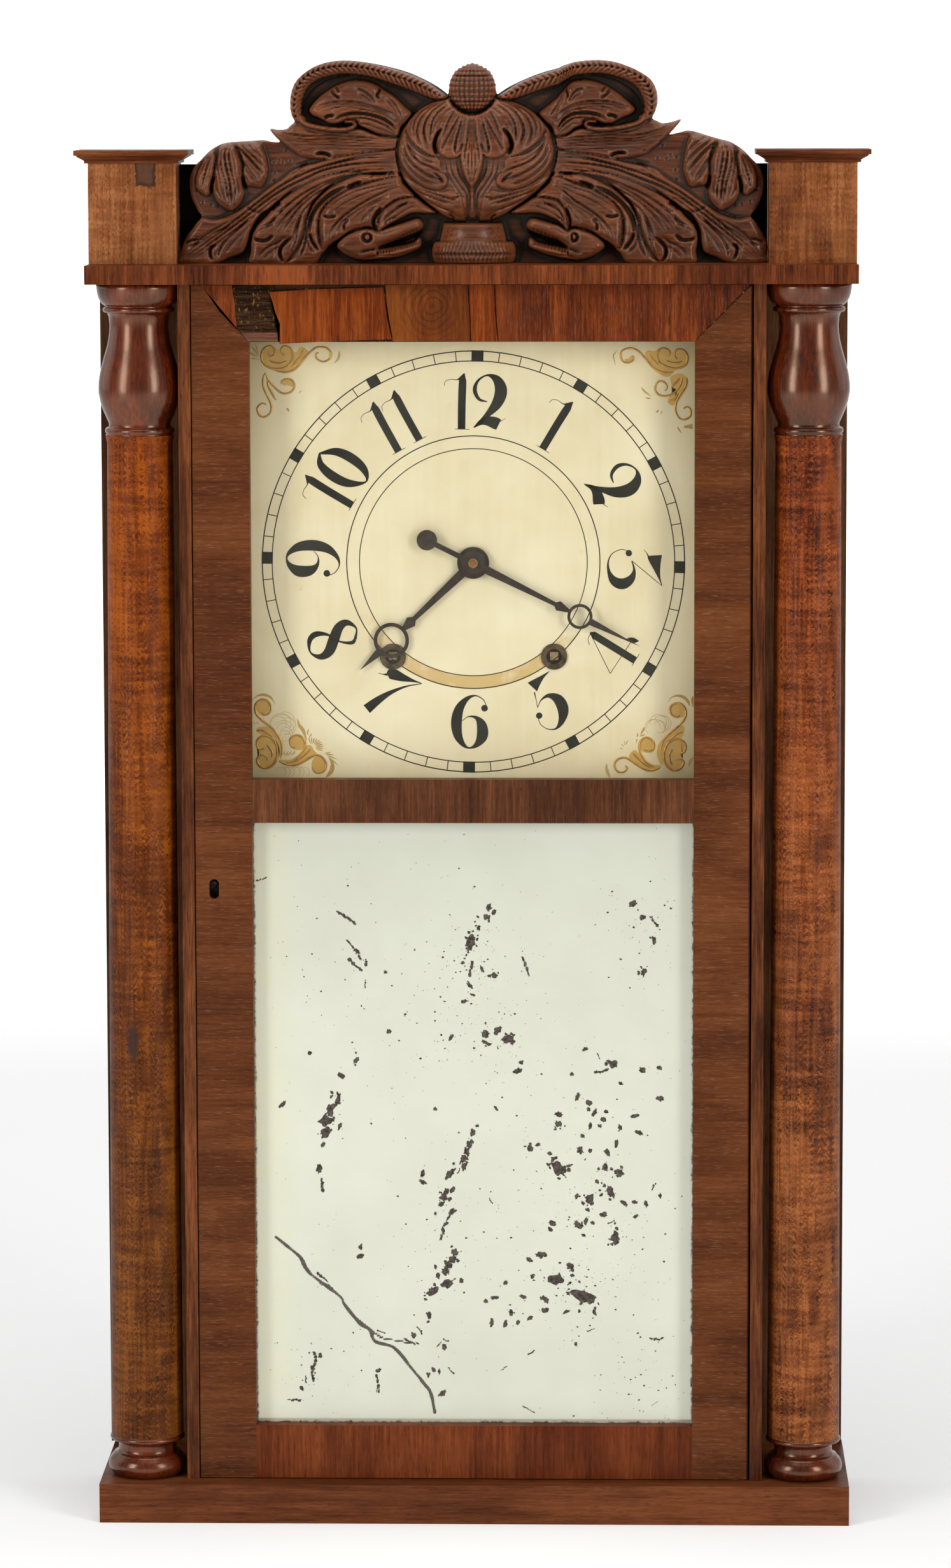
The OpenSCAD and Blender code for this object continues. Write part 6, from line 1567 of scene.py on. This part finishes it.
numerals = {
    "0": [
        [
            (0, 16, 1.0), (-5.4, 11.6, 4.2), (-7.4, 2, 5.6), (-6, -8, 4.6), (0, -16, 1.0),
            (5.4, -11.6, 4.2), (7.4, -2, 5.6), (6, 8, 4.6), (0, 16, 1.0),
        ]
    ],
    "1": one,
    "2": two,
    "3": [
        [(-6.6, 12, 8.6), (-4.6, 12.2, 7.8), (-1, 13, 5.4), (3, 14, 3), (7, 15.2, 1.2), (11.3, 16.8, 0.3)],
        [(-9.7, 5.7, 0.3), (-8, 7.2, 0.4), (-6.4, 8.2, 0.8)],
        [(11.3, 16.8, 0.35), (-3.1, -1.4, 0.4)],
        [
            (-3.1, -1.4, 0.5), (2.4, 0.2, 1.6), (7.6, -1.6, 4.6), (10.6, -6.4, 6.4), (9, -11.4, 5.2),
            (4, -14.5, 2.2), (-2, -15.2, 0.9), (-7, -13, 0.5), (-9.6, -8, 0.4), (-9, -4.2, 0.4),
        ],
        dot(-7.6, -3.2, 1.9),
    ],
    "4": [
        [(0.4, 14.4, 0.6), (0.3, 12, 3.4), (0.2, 9, 4.3), (0, -16.8, 4.3)],
        [(0, 14, 0.4), (-14.2, -8.4, 0.35)],
        [(-14.2, -8.4, 0.35), (9, -9.2, 0.4)],
        [(8, -5.8, 0.3), (9.2, -8, 2.2), (9.8, -10.4, 3.0), (11, -12.8, 0.3)],
        [(-3.6, -17, 0.35), (4.6, -17, 0.35)],
        [(0, 13.8, 0.5), (-3.4, 13.4, 0.3), (-6.2, 10.8, 0.3)],
    ],
    "5": [
        [(-5, 13.2, 7.6), (-2, 14.2, 5.4), (3, 15.6, 2.2), (8.2, 16.6, 0.3)],
        [(-5.4, 10, 0.8), (-6.8, 5, 0.35), (-8.1, 1, 0.4)],
        [
            (-8.1, 1, 0.3), (-4, 4, 0.8), (1.2, 4, 2.6), (4.9, -0.6, 6.0), (4.6, -7, 6.6),
            (0.8, -12.4, 4.0), (-4.4, -15.1, 1.2), (-9, -13, 0.5), (-11.3, -8.5, 0.4), (-10.8, -5, 0.4),
        ],
        dot(-9.6, -3.6, 1.9),
    ],
    "6": six,
    "7": [
        [
            (-9.6, 11.6, 0.6), (-8.2, 12.6, 5.6), (-5.4, 13.6, 6.4), (0, 14.6, 4.4), (6, 16.2, 1.6),
            (11.2, 17.5, 0.3),
        ],
        [(-14, 9.4, 0.3), (-11.4, 10.2, 0.5), (-9, 11.4, 1.6)],
        [(11.2, 17.4, 0.4), (4, 11, 1.0), (-2, 3, 2.6), (-6, -5, 4.6), (-8.8, -12.5, 6.0)],
    ],
    "8": [
        [
            (6.4, 11.5, 1.8), (1, 15.2, 1.0), (-4.6, 12, 3.6), (-4.4, 6.5, 5.4), (0.4, 0.4, 6.4),
            (5.2, -5.5, 5.8), (5.6, -11.5, 3.4), (0.5, -15.4, 1.0), (-5.8, -12.5, 2.8), (-7.4, -7.5, 3.4),
            (-4, -1.6, 1.6), (1, 1, 0.8), (5, 5, 1.4), (7.2, 9, 2.2), (6.4, 11.5, 1.8),
        ]
    ],
    "9": turned_six,
}
numeral_ring = 94.5
painted = []
for hour in range(1, 13):
    word = str(hour)
    angle = math.radians(90.0 - 30.0 * hour)
    middle = (numeral_ring * math.cos(angle), numeral_ring * math.sin(angle))
    facing = angle - math.pi / 2.0 if hour in (9, 10, 11, 12, 1, 2, 3) else angle + math.pi / 2.0
    c, s = math.cos(facing), math.sin(facing)
    starts = {"10": (-8.2, 8.0), "11": (-7.0, 7.0), "12": (-8.6, 7.8)}.get(word, (0.0,))
    for digit, start in zip(word, starts):
        for stroke in numerals[digit]:
            turned = [((x + start) * c - y * s, (x + start) * s + y * c, w) for x, y, w in stroke]
            painted.append([(middle[0] + x, middle[1] + y, w) for x, y, w in turned])
black = black_paint()
put("dial_numerals", *ribbon(painted), black, "case", "painted_dial")


def minute_ring_shape():
    """Strokes set round the dial: a short flat bar at each minute, and a broad one at each fifth."""
    tree, given = shape_tree("minute_ring", Marks="Int", Radius="Float", Bar="Vector", Block="Vector",
                             Block_Every="Int", Middle="Vector", Turn="Float", Finish="Material")
    marks, radius, bar, block, every, middle, turn, finish = given[:8]
    ring = add(tree, "GeometryNodeMeshCircle", {"Vertices": marks, "Radius": 1.0}, fill_type="NONE")
    index = add(tree, "GeometryNodeInputIndex").outputs[0]
    angle = sum_up(tree, "DIVIDE", times(tree, index, -2.0 * math.pi), marks)
    angle = plus(tree, angle, turn)
    angle = plus(tree, angle, math.pi / 2.0)
    spot = add(tree, "ShaderNodeCombineXYZ", {0: times(tree, sum_up(tree, "COSINE", angle), radius),
                                              2: times(tree, sum_up(tree, "SINE", angle), radius)})
    spot = apart(tree, spot.outputs[0], middle, "ADD")
    placed = add(tree, "GeometryNodeSetPosition", {"Geometry": ring.outputs[0], "Position": spot})
    tilt = add(tree, "ShaderNodeCombineXYZ", {1: times(tree, angle, -1.0)})
    broad = sum_up(tree, "COMPARE", sum_up(tree, "MODULO", index, every), 0.0, 0.1)
    narrow = minus(tree, 1.0, broad)
    joined = add(tree, "GeometryNodeJoinGeometry")
    for size, which in ((bar, narrow), (block, broad)):
        stroke = add(tree, "GeometryNodeMeshCube", {"Size": size})
        points = add(tree, "GeometryNodeInstanceOnPoints",
                     {"Points": placed.outputs[0], "Instance": stroke.outputs[0],
                      "Rotation": tilt.outputs[0], "Selection": which})
        tree.links.new(points.outputs[0], joined.inputs[0])
    return end_shape(tree, joined.outputs[0], finish)


minute_marks = shaped(
    "dial_minute_marks",
    minute_ring_shape(),
    bpy.data.meshes.new("minute_ring_start"),
    Marks=60,
    Radius=0.1213,
    Block_Every=5,
    Bar=(0.0058, 0.0001, 0.0005),
    Block=(0.0066, 0.0001, 0.0070),
    Middle=(dial_mid[0], dial_front - 0.00003, dial_mid[1]),
    Turn=dial_turn,
    Finish=black,
)
dress(black, minute_marks)
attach(minute_marks, "case")
circles = []
turns = np.linspace(0.0, 2.0 * math.pi, 181)
for radius, width in ((124.2, 0.65), (118.4, 0.6), (74.5, 0.6), (67.0, 0.5)):
    circles.append([(radius * math.cos(t), radius * math.sin(t), width) for t in turns])
put("dial_circles", *ribbon(circles, 1), black, "case", "painted_dial")

# Gilding.
# Each corner has scrolls raised in plaster and gilt with leaf, a gilt ground between them, and leaves,
# fans and loops drawn round them in gold. Places are in fifths of a millimetre from the dial's middle.
raised_scrolls = [places(line, 0.2) for line in [
    [-612, 601, -608, 592, -598, 595, -594, 606, -599, 618, -609, 622, -620, 618, -630, 608, -633, 592,
     -630, 577, -618, 564, -602, 557, -584, 556, -564, 560, -551, 571, -542, 585, -542, 600, -547, 615,
     -558, 622, -568, 622, -575, 614, -574, 604, -567, 596],
    [-608, 580, -598, 574, -582, 572, -569, 574, -559, 580],
    [-545, 563, -520, 591, -514, 605, -510, 613],
    [-588, 550, -570, 547, -552, 548, -535, 555, -520, 570, -508, 588, -483, 614, -468, 622, -450, 622,
     -437, 616, -430, 605, -432, 591, -441, 583, -453, 580, -465, 584, -473, 592, -473, 602, -466, 606],
    [-620, 544, -626, 530, -627, 512, -622, 493, -606, 462, -601, 446, -602, 430, -610, 420, -622, 414,
     -633, 417, -640, 428, -642, 440, -635, 450, -626, 454, -616, 450],
    [-618, 538, -608, 518, -582, 492, -565, 484, -552, 486, -540, 494, -535, 508, -540, 521, -552, 527,
     -564, 525, -572, 520, -573, 512],
    [-615, 520, -609, 501, -593, 472, -587, 465],
    [584, 610, 577, 618, 577, 630, 585, 638, 598, 638, 609, 630, 614, 618, 612, 601, 603, 590, 586, 583,
     566, 584, 548, 590, 532, 600, 526, 614, 526, 628, 535, 638, 546, 641, 558, 635, 562, 625, 558, 618],
    [555, 605, 564, 600, 577, 598, 590, 600, 598, 605],
    [504, 622, 508, 612, 529, 592],
    [574, 571, 559, 570, 540, 571, 522, 579, 507, 592, 480, 622, 465, 634, 447, 639, 430, 635, 420, 626,
     420, 612, 426, 600, 440, 596, 454, 602, 457, 612, 453, 616],
    [613, 557, 612, 538, 604, 520, 594, 505, 585, 486, 582, 468, 584, 454, 594, 438, 608, 434, 622, 440,
     628, 452, 624, 467, 615, 471, 606, 466],
    [601, 556, 595, 534, 582, 516, 564, 504, 546, 501, 531, 506, 522, 518, 523, 531, 530, 542, 543, 544,
     554, 535, 556, 524, 550, 517],
    [592, 554, 584, 544, 573, 533],
    [589, 508, 580, 495, 565, 486],
    [-606, -566, -622, -568, -629, -556, -627, -542, -615, -530, -599, -529, -584, -536, -573, -550, -568,
     -568, -568, -586, -574, -605, -587, -618, -604, -624, -618, -618, -627, -602, -623, -590, -610, -585,
     -600, -590, -595, -601],
    [-598, -555, -588, -566, -582, -578, -584, -591],
    [-630, -514, -616, -511, -599, -518, -582, -530],
    [-556, -584, -554, -563, -558, -540, -570, -521, -584, -504, -618, -478, -632, -461, -635, -442, -629,
     -428, -615, -420, -600, -422, -590, -435, -588, -450, -595, -462, -607, -466, -615, -458],
    [-562, -601, -545, -610, -524, -613, -503, -608, -464, -584, -444, -582, -430, -592, -423, -608, -427,
     -625, -441, -634, -456, -632, -464, -618],
    [-541, -607, -520, -600, -491, -568, -486, -548, -491, -534, -504, -524, -519, -525, -530, -535, -530,
     -548, -524, -558, -514, -560],
    [-520, -604, -499, -591, -470, -565],
    [620, -552, 632, -548, 638, -534, 634, -519, 620, -510, 603, -510, 587, -520, 578, -535, 574, -554, 576,
     -574, 587, -592, 604, -602, 620, -598, 630, -587, 632, -574, 621, -568, 609, -571],
    [598, -540, 590, -555, 592, -572, 599, -585],
    [627, -488, 611, -493, 583, -518],
    [565, -544, 567, -527, 576, -506, 614, -470, 630, -451, 636, -433, 632, -417, 621, -404, 606, -402, 592,
     -410, 589, -424, 595, -438, 608, -443, 618, -438],
    [562, -595, 546, -602, 526, -603, 505, -594, 468, -570, 452, -568, 438, -573, 430, -585, 432, -600, 442,
     -610, 457, -610, 467, -599, 462, -591],
    [546, -593, 525, -582, 511, -563, 502, -543, 502, -524, 510, -511, 524, -506, 538, -514, 544, -525, 541,
     -540, 528, -545, 516, -542],
    [538, -595, 518, -585, 484, -554],
]]
gilt_grounds = [places(line, 0.2) for line in [
    [-628, 612, -615, 624, -595, 620, -585, 612, -572, 624, -556, 624, -534, 606, -524, 618, -512, 622,
     -494, 602, -522, 565, -543, 548, -570, 543, -616, 559, -631, 575],
    [-573, 514, -564, 522, -550, 524, -540, 514, -542, 504, -554, 509, -564, 508],
    [490, 624, 502, 634, 517, 631, 526, 638, 546, 644, 563, 638, 570, 630, 583, 641, 614, 632, 615, 595,
     575, 574, 565, 560, 544, 560, 505, 588],
    [565, 556, 585, 568, 604, 566, 618, 548, 614, 524, 580, 476, 560, 484, 566, 501, 588, 518, 573, 528],
    [430, 606, 442, 610, 451, 618, 458, 614, 455, 602, 442, 595],
    [-633, -544, -615, -524, -594, -525, -574, -540, -562, -563, -562, -588, -572, -611, -589, -626, -610,
     -626, -629, -616, -632, -598, -621, -580],
    [-632, -510, -619, -501, -582, -505, -552, -548, -558, -597, -574, -540, -594, -525, -622, -522],
    [-612, -422, -596, -428, -588, -443, -592, -461, -608, -469, -625, -461, -634, -444, -628, -430],
    [-510, -523, -492, -530, -484, -546, -491, -564, -508, -568, -527, -562, -534, -545, -528, -530],
    [-562, -599, -528, -596, -495, -574, -485, -555, -468, -554, -460, -569, -452, -582, -507, -615, -536,
     -614],
    [-444, -580, -428, -590, -421, -608, -427, -628, -442, -636, -460, -630, -466, -612, -461, -592],
    [640, -534, 635, -516, 620, -507, 601, -508, 574, -535, 574, -578, 587, -598, 605, -605, 624, -600, 634,
     -585, 633, -570, 624, -556, 636, -550],
    [633, -476, 620, -468, 606, -477, 564, -516, 554, -538, 555, -564, 572, -588, 574, -535, 601, -508, 625,
     -507],
    [625, -404, 638, -421, 635, -437, 622, -445, 604, -446, 589, -436, 585, -418, 594, -405],
    [522, -504, 540, -511, 550, -528, 543, -548, 527, -552, 508, -547, 498, -530, 504, -512],
    [488, -544, 517, -571, 546, -587, 566, -588, 562, -599, 538, -608, 514, -602, 472, -570],
]]
# Leaves and rays: places with widths.
gold_dabs = [places(line, 0.2, 3) for line in [
    [-670, 602, 2, -658, 597, 8, -644, 590, 1],
    [-663, 620, 1, -654, 610, 7, -643, 592, 1],
    [-652, 628, 1, -647, 614, 5, -642, 594, 1],
    [-662, 585, 4, -648, 584, 3, -642, 584, 1],
    [-406, 614, 1, -405, 602, 7, -409, 588, 7, -420, 576, 1],
    [-558, 441, 2, -553, 438, 7, -549, 431, 1],
    [-522, 485, 1, -518, 490, 3, -514, 495, 1],
    [481, 526, 1, 490, 515, 6, 510, 500, 1],
    [494, 495, 1, 502, 494, 4, 510, 493, 1],
    [526, 453, 1, 530, 456, 6, 536, 460, 1],
    [539, 448, 1, 542, 453, 3, 545, 458, 1],
    [590, 413, 1, 595, 404, 5, 603, 393, 1],
    [609, 412, 6, 622, 414, 11, 635, 414, 16],
    [410, 634, 1, 398, 618, 4, 400, 605, 3, 404, 589, 1],
    [-648, -425, 1, -630, -410, 4, -611, -406, 8, -592, -412, 7, -582, -424, 3, -576, -434, 1],
    [-510, -475, 1, -504, -494, 9, -492, -510, 10, -482, -538, 2],
    [-476, -504, 1, -479, -514, 5, -478, -523, 1],
    [-466, -518, 1, -471, -524, 4, -474, -532, 1],
    [-415, -590, 1, -405, -604, 9, -405, -623, 13, -414, -638, 10, -424, -648, 1],
    [-516, -570, 1, -518, -577, 5, -528, -584, 1],
    [-526, -572, 1, -530, -578, 4, -539, -586, 1],
    [-536, -573, 1, -540, -580, 4, -548, -587, 1],
    [-546, -571, 1, -548, -578, 4, -554, -586, 1],
    [-428, -576, 1, -418, -574, 3, -409, -571, 1],
    [-425, -578, 1, -413, -579, 4, -401, -580, 1],
    [-421, -582, 1, -406, -587, 4, -391, -592, 1],
    [-417, -587, 1, -402, -598, 4, -387, -611, 1],
    [-642, -485, 1, -637, -490, 3, -634, -495, 1],
    [-631, -486, 1, -628, -490, 3, -625, -495, 1],
    [583, -400, 1, 592, -386, 3, 610, -380, 7, 630, -385, 9, 642, -398, 8, 646, -410, 2],
    [515, -475, 1, 511, -485, 7, 503, -500, 1],
    [518, -498, 1, 510, -500, 5, 502, -504, 1],
    [494, -512, 4, 491, -524, 1],
    [496, -492, 1, 495, -501, 5, 494, -505, 1],
    [406, -586, 1, 406, -600, 8, 411, -617, 9, 418, -629, 1],
    [466, -516, 1, 464, -523, 3, 463, -528, 1],
    [457, -518, 1, 459, -528, 3, 460, -530, 1],
    [448, -528, 1, 453, -532, 3, 455, -534, 1],
    [446, -539, 3, 451, -543, 2],
    [655, -381, 4, 654, -394, 8, 656, -412, 3],
    [662, -562, 6, 653, -574, 10, 648, -588, 2],
]]
# Loops in millimetres: the middle, the radius, and where each starts and stops in degrees.
gold_loops = [
    (-111.9, -98.2, 6.2, 190, -20), (-109.4, -97.3, 6.2, 110, -60), (-107.7, -99.4, 5, 120, -110),
    (-110.1, -102.4, 6.2, 150, 0), (-110.2, -101.6, 4, 180, -40), (-108.4, -104.1, 3.7, 200, -30),
    (-113.2, -98.3, 4.6, 160, -30), (-109.3, -105.4, 3.3, 120, -120), (-111, -99.9, 7.3, 130, 20),
    (-111.4, -127, 3.1, 160, -50), (-108.9, -126.9, 3.1, 160, -50), (-106.4, -126.9, 3.1, 160, -50),
    (-103, -126.8, 3.1, 160, -50), (-100.5, -126.7, 3.1, 160, -50), (-97.5, -126.7, 3.1, 160, -50),
    (111, -92.3, 4.9, 200, -40), (112.7, -92.7, 4.7, 150, -60), (114.3, -92.7, 4.4, 120, -80),
    (107.8, -94.9, 4.4, 230, 0), (109.5, -95.6, 5.3, 180, -30), (111.9, -94.8, 3.6, 150, -120),
]


def flat_piece(rings, lift):
    """Closed flat shapes on the dial, each filled and a hair thick."""
    pairs = []
    for ring in rings:
        rim = flowing(ring, True, 4)
        pairs.append([[on_dial(x, z, out) for x, z in rim] for out in (lift, 0.00001)])
    mesh = slabs("gilt_flat", pairs)
    return [tuple(v.co) for v in mesh.vertices], [tuple(f.vertices) for f in mesh.polygons]


def gold_leaf(name, bright, worn, metal_share, rough):
    """Old gold leaf, rubbed to its pinkish ground in places."""
    finish, tree, surface, place = start_finish(name)
    rub = noise(tree, place, 260.0, 4.0, 0.65)
    colour = tint(tree, span(tree, rub, 0.42, 0.66), paint(*bright), paint(*worn))
    fill(tree, surface, {"Base Color": colour, "Roughness": span(tree, rub, 0.3, 0.7, rough, rough + 0.2),
                         "Metallic": span(tree, rub, 0.4, 0.66, metal_share, metal_share * 0.3),
                         "Normal": bumped(tree, 0.25, 0.0002, rub)})
    return finish


def scroll_shape():
    """Round strokes along lines: thick in the middle of each stroke, thinner at its ends."""
    tree, given = shape_tree("raised_scroll", Lines="Geometry", Thick="Float", Thin_End="Float",
                             Sides="Int", Finish="Material")
    lines, thick, thin_end, sides, finish = given[:5]
    curve = add(tree, "GeometryNodeMeshToCurve", {0: lines})
    along = add(tree, "GeometryNodeSplineParameter").outputs["Factor"]
    hump = sum_up(tree, "SINE", times(tree, along, math.pi))
    hump = sum_up(tree, "POWER", sum_up(tree, "ABSOLUTE", hump), 0.4)
    size = add(tree, "ShaderNodeMapRange", {"Value": hump, "To Min": thin_end,
                                            "To Max": thick}).outputs["Result"]
    ring = add(tree, "GeometryNodeCurvePrimitiveCircle", {"Resolution": sides, "Radius": 1.0})
    tube = add(tree, "GeometryNodeCurveToMesh",
               {"Curve": curve.outputs[0], "Profile Curve": ring.outputs[0], "Scale": size,
                "Fill Caps": True})
    smooth = add(tree, "GeometryNodeSetShadeSmooth", {0: tube.outputs[0]})
    return end_shape(tree, smooth.outputs[0], finish)


raised_gold = gold_leaf("raised_gilding", (206, 156, 58), (150, 108, 66), 0.75, 0.28)
flat_gold = gold_leaf("flat_gilding", (206, 164, 74), (192, 154, 86), 0.35, 0.42)
drawn_gold = gold_leaf("drawn_gilding", (178, 138, 66), (190, 160, 100), 0.2, 0.5)
points = []
joints = []
for stroke in raised_scrolls:
    line = flowing(stroke, steps=5)
    joints += [(len(points) + n, len(points) + n + 1) for n in range(len(line) - 1)]
    points += [on_dial(x, z, 0.00005) for x, z in line]
scrolls = shaped("dial_raised_scrolls", scroll_shape(), mesh_of("scroll_lines", points, edges=joints),
                 Thick=0.00062, Thin_End=0.00036, Sides=10, Finish=raised_gold)
outward(scrolls, 1e-7)
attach(scrolls, "case")
put("dial_gilt_grounds", *flat_piece(gilt_grounds, 0.00004), flat_gold, "case", "painted_dial")
drawn = list(gold_dabs)
for x, z, radius, start, stop in gold_loops:
    turns = np.radians(np.linspace(start, stop, 10))
    drawn.append([(x + radius * math.cos(t), z + radius * math.sin(t), 0.2) for t in turns])
# A fan of ten rays in the lower left corner.
fan_x, fan_z = -93.3, -111.6
fan_ray = ((2, 0.2), (4, 0.75), (5.6, 0.4))
for n in range(10):
    t = math.radians(105 - 14 * n)
    drawn.append([(fan_x + r * 1.25 * math.cos(t), fan_z + r * math.sin(t), w) for r, w in fan_ray])
put("dial_penwork", *ribbon(drawn, 4, 0.00005), drawn_gold, "case", "painted_dial")

# Hands.
# Browned iron. Each hand has a ring near its tip, the minute hand a round counterpoise besides. They sit
# on the two pipes at the dial's middle.
hand_iron = metal("hand_iron", (36, 28, 26), (74, 60, 54), (0.35, 0.6), 0.75, 300.0, (84, 52, 38))
dress(hand_iron, "minute_hand", "hour_hand")

# Studio.
# A pale floor that rises into a pale wall far behind, and pale surroundings. Two tall soft lamps stand one
# on each side of the camera, as the twin highlights on the capitals say, one hangs above and one lights
# the wall.
reach_out, wall_y, wall_top, bend = 9.0, 7.0, 5.0, 2.0
path_up = [(-reach_out, 0.0), (wall_y - bend, 0.0)]
for t in np.linspace(0.05, math.pi / 2, 24):
    path_up.append((wall_y - bend + bend * math.sin(t), bend - bend * math.cos(t)))
path_up.append((wall_y, wall_top))
floor_points = [(x, y, z) for y, z in path_up for x in (-reach_out, reach_out)]
floor_faces = [(2 * n, 2 * n + 1, 2 * n + 3, 2 * n + 2) for n in range(len(path_up) - 1)]
studio_floor = stand("studio_floor", mesh_of("studio_floor", floor_points, floor_faces))
studio_floor.data.shade_smooth()
floor_paint, tree, surface, place = start_finish("studio_floor_paint")
floor_cloud = noise(tree, place, 0.6, 1.0)
pale = tint(tree, floor_cloud, (0.93, 0.93, 0.93, 1.0), (0.95, 0.95, 0.95, 1.0))
ways = add(tree, "ShaderNodeLightPath").outputs
straight = most(tree, ways["Is Camera Ray"], ways["Is Transmission Ray"])
seen = most(tree, straight, ways["Is Glossy Ray"])
away = times(tree, span(tree, length(tree, place), 1.5, 4.5, 0.0, 0.7), straight)
fill(tree, surface, {"Base Color": pale, "Roughness": 0.95, "Specular IOR Level": 0.1,
                     "Emission Color": (1.0, 1.0, 1.0, 1.0),
                     "Emission Strength": plus(tree, times(tree, seen, 0.24), away)})
dress(floor_paint, studio_floor)

world = bpy.data.worlds.new("studio")
world.use_nodes = True
bpy.context.scene.world = world
tree = world.node_tree
tree.nodes.clear()
ways = add(tree, "ShaderNodeLightPath").outputs
behind = parts_of(tree, add(tree, "ShaderNodeTexCoord").outputs["Generated"])[1]
shiny = times(tree, ways["Is Glossy Ray"], sum_up(tree, "GREATER_THAN", behind, 0.0))
seen = most(tree, ways["Is Camera Ray"], most(tree, shiny, ways["Is Transmission Ray"]))
light = add(tree, "ShaderNodeBackground", {"Color": (1.0, 1.0, 1.0, 1.0), "Strength": 0.2})
shown = add(tree, "ShaderNodeBackground", {"Color": (1.0, 1.0, 1.0, 1.0), "Strength": 1.0})
mixed = add(tree, "ShaderNodeMixShader", {0: seen, 1: light.outputs[0], 2: shown.outputs[0]})
add(tree, "ShaderNodeOutputWorld", {0: mixed.outputs[0]})
studio_lamps = (
    ("left_lamp", (-1.95, -1.9, 1.1), (0.0, 0.0, 0.5), (0.75, 1.8), 32.0),
    ("right_lamp", (1.95, -2.0, 1.1), (0.0, 0.0, 0.5), (0.75, 1.8), 33.5),
    ("overhead_lamp", (0.0, -0.5, 3.4), (0.0, -0.2, 0.0), (2.6, 2.2), 45.0),
    ("wall_lamp", (0.0, 3.2, 3.6), (0.0, 6.2, 0.8), (5.0, 2.0), 118.0),
)
for name, where, target, size, power in studio_lamps:
    lamp_data = bpy.data.lights.new(name, "AREA")
    lamp_data.shape = "RECTANGLE"
    lamp_data.size, lamp_data.size_y = size
    lamp_data.energy = power
    lamp = stand(name, lamp_data)
    lamp.location = where
    lamp.rotation_euler = (Vector(target) - Vector(where)).to_track_quat("-Z", "Y").to_euler()
bpy.context.scene.view_settings.view_transform = "Standard"
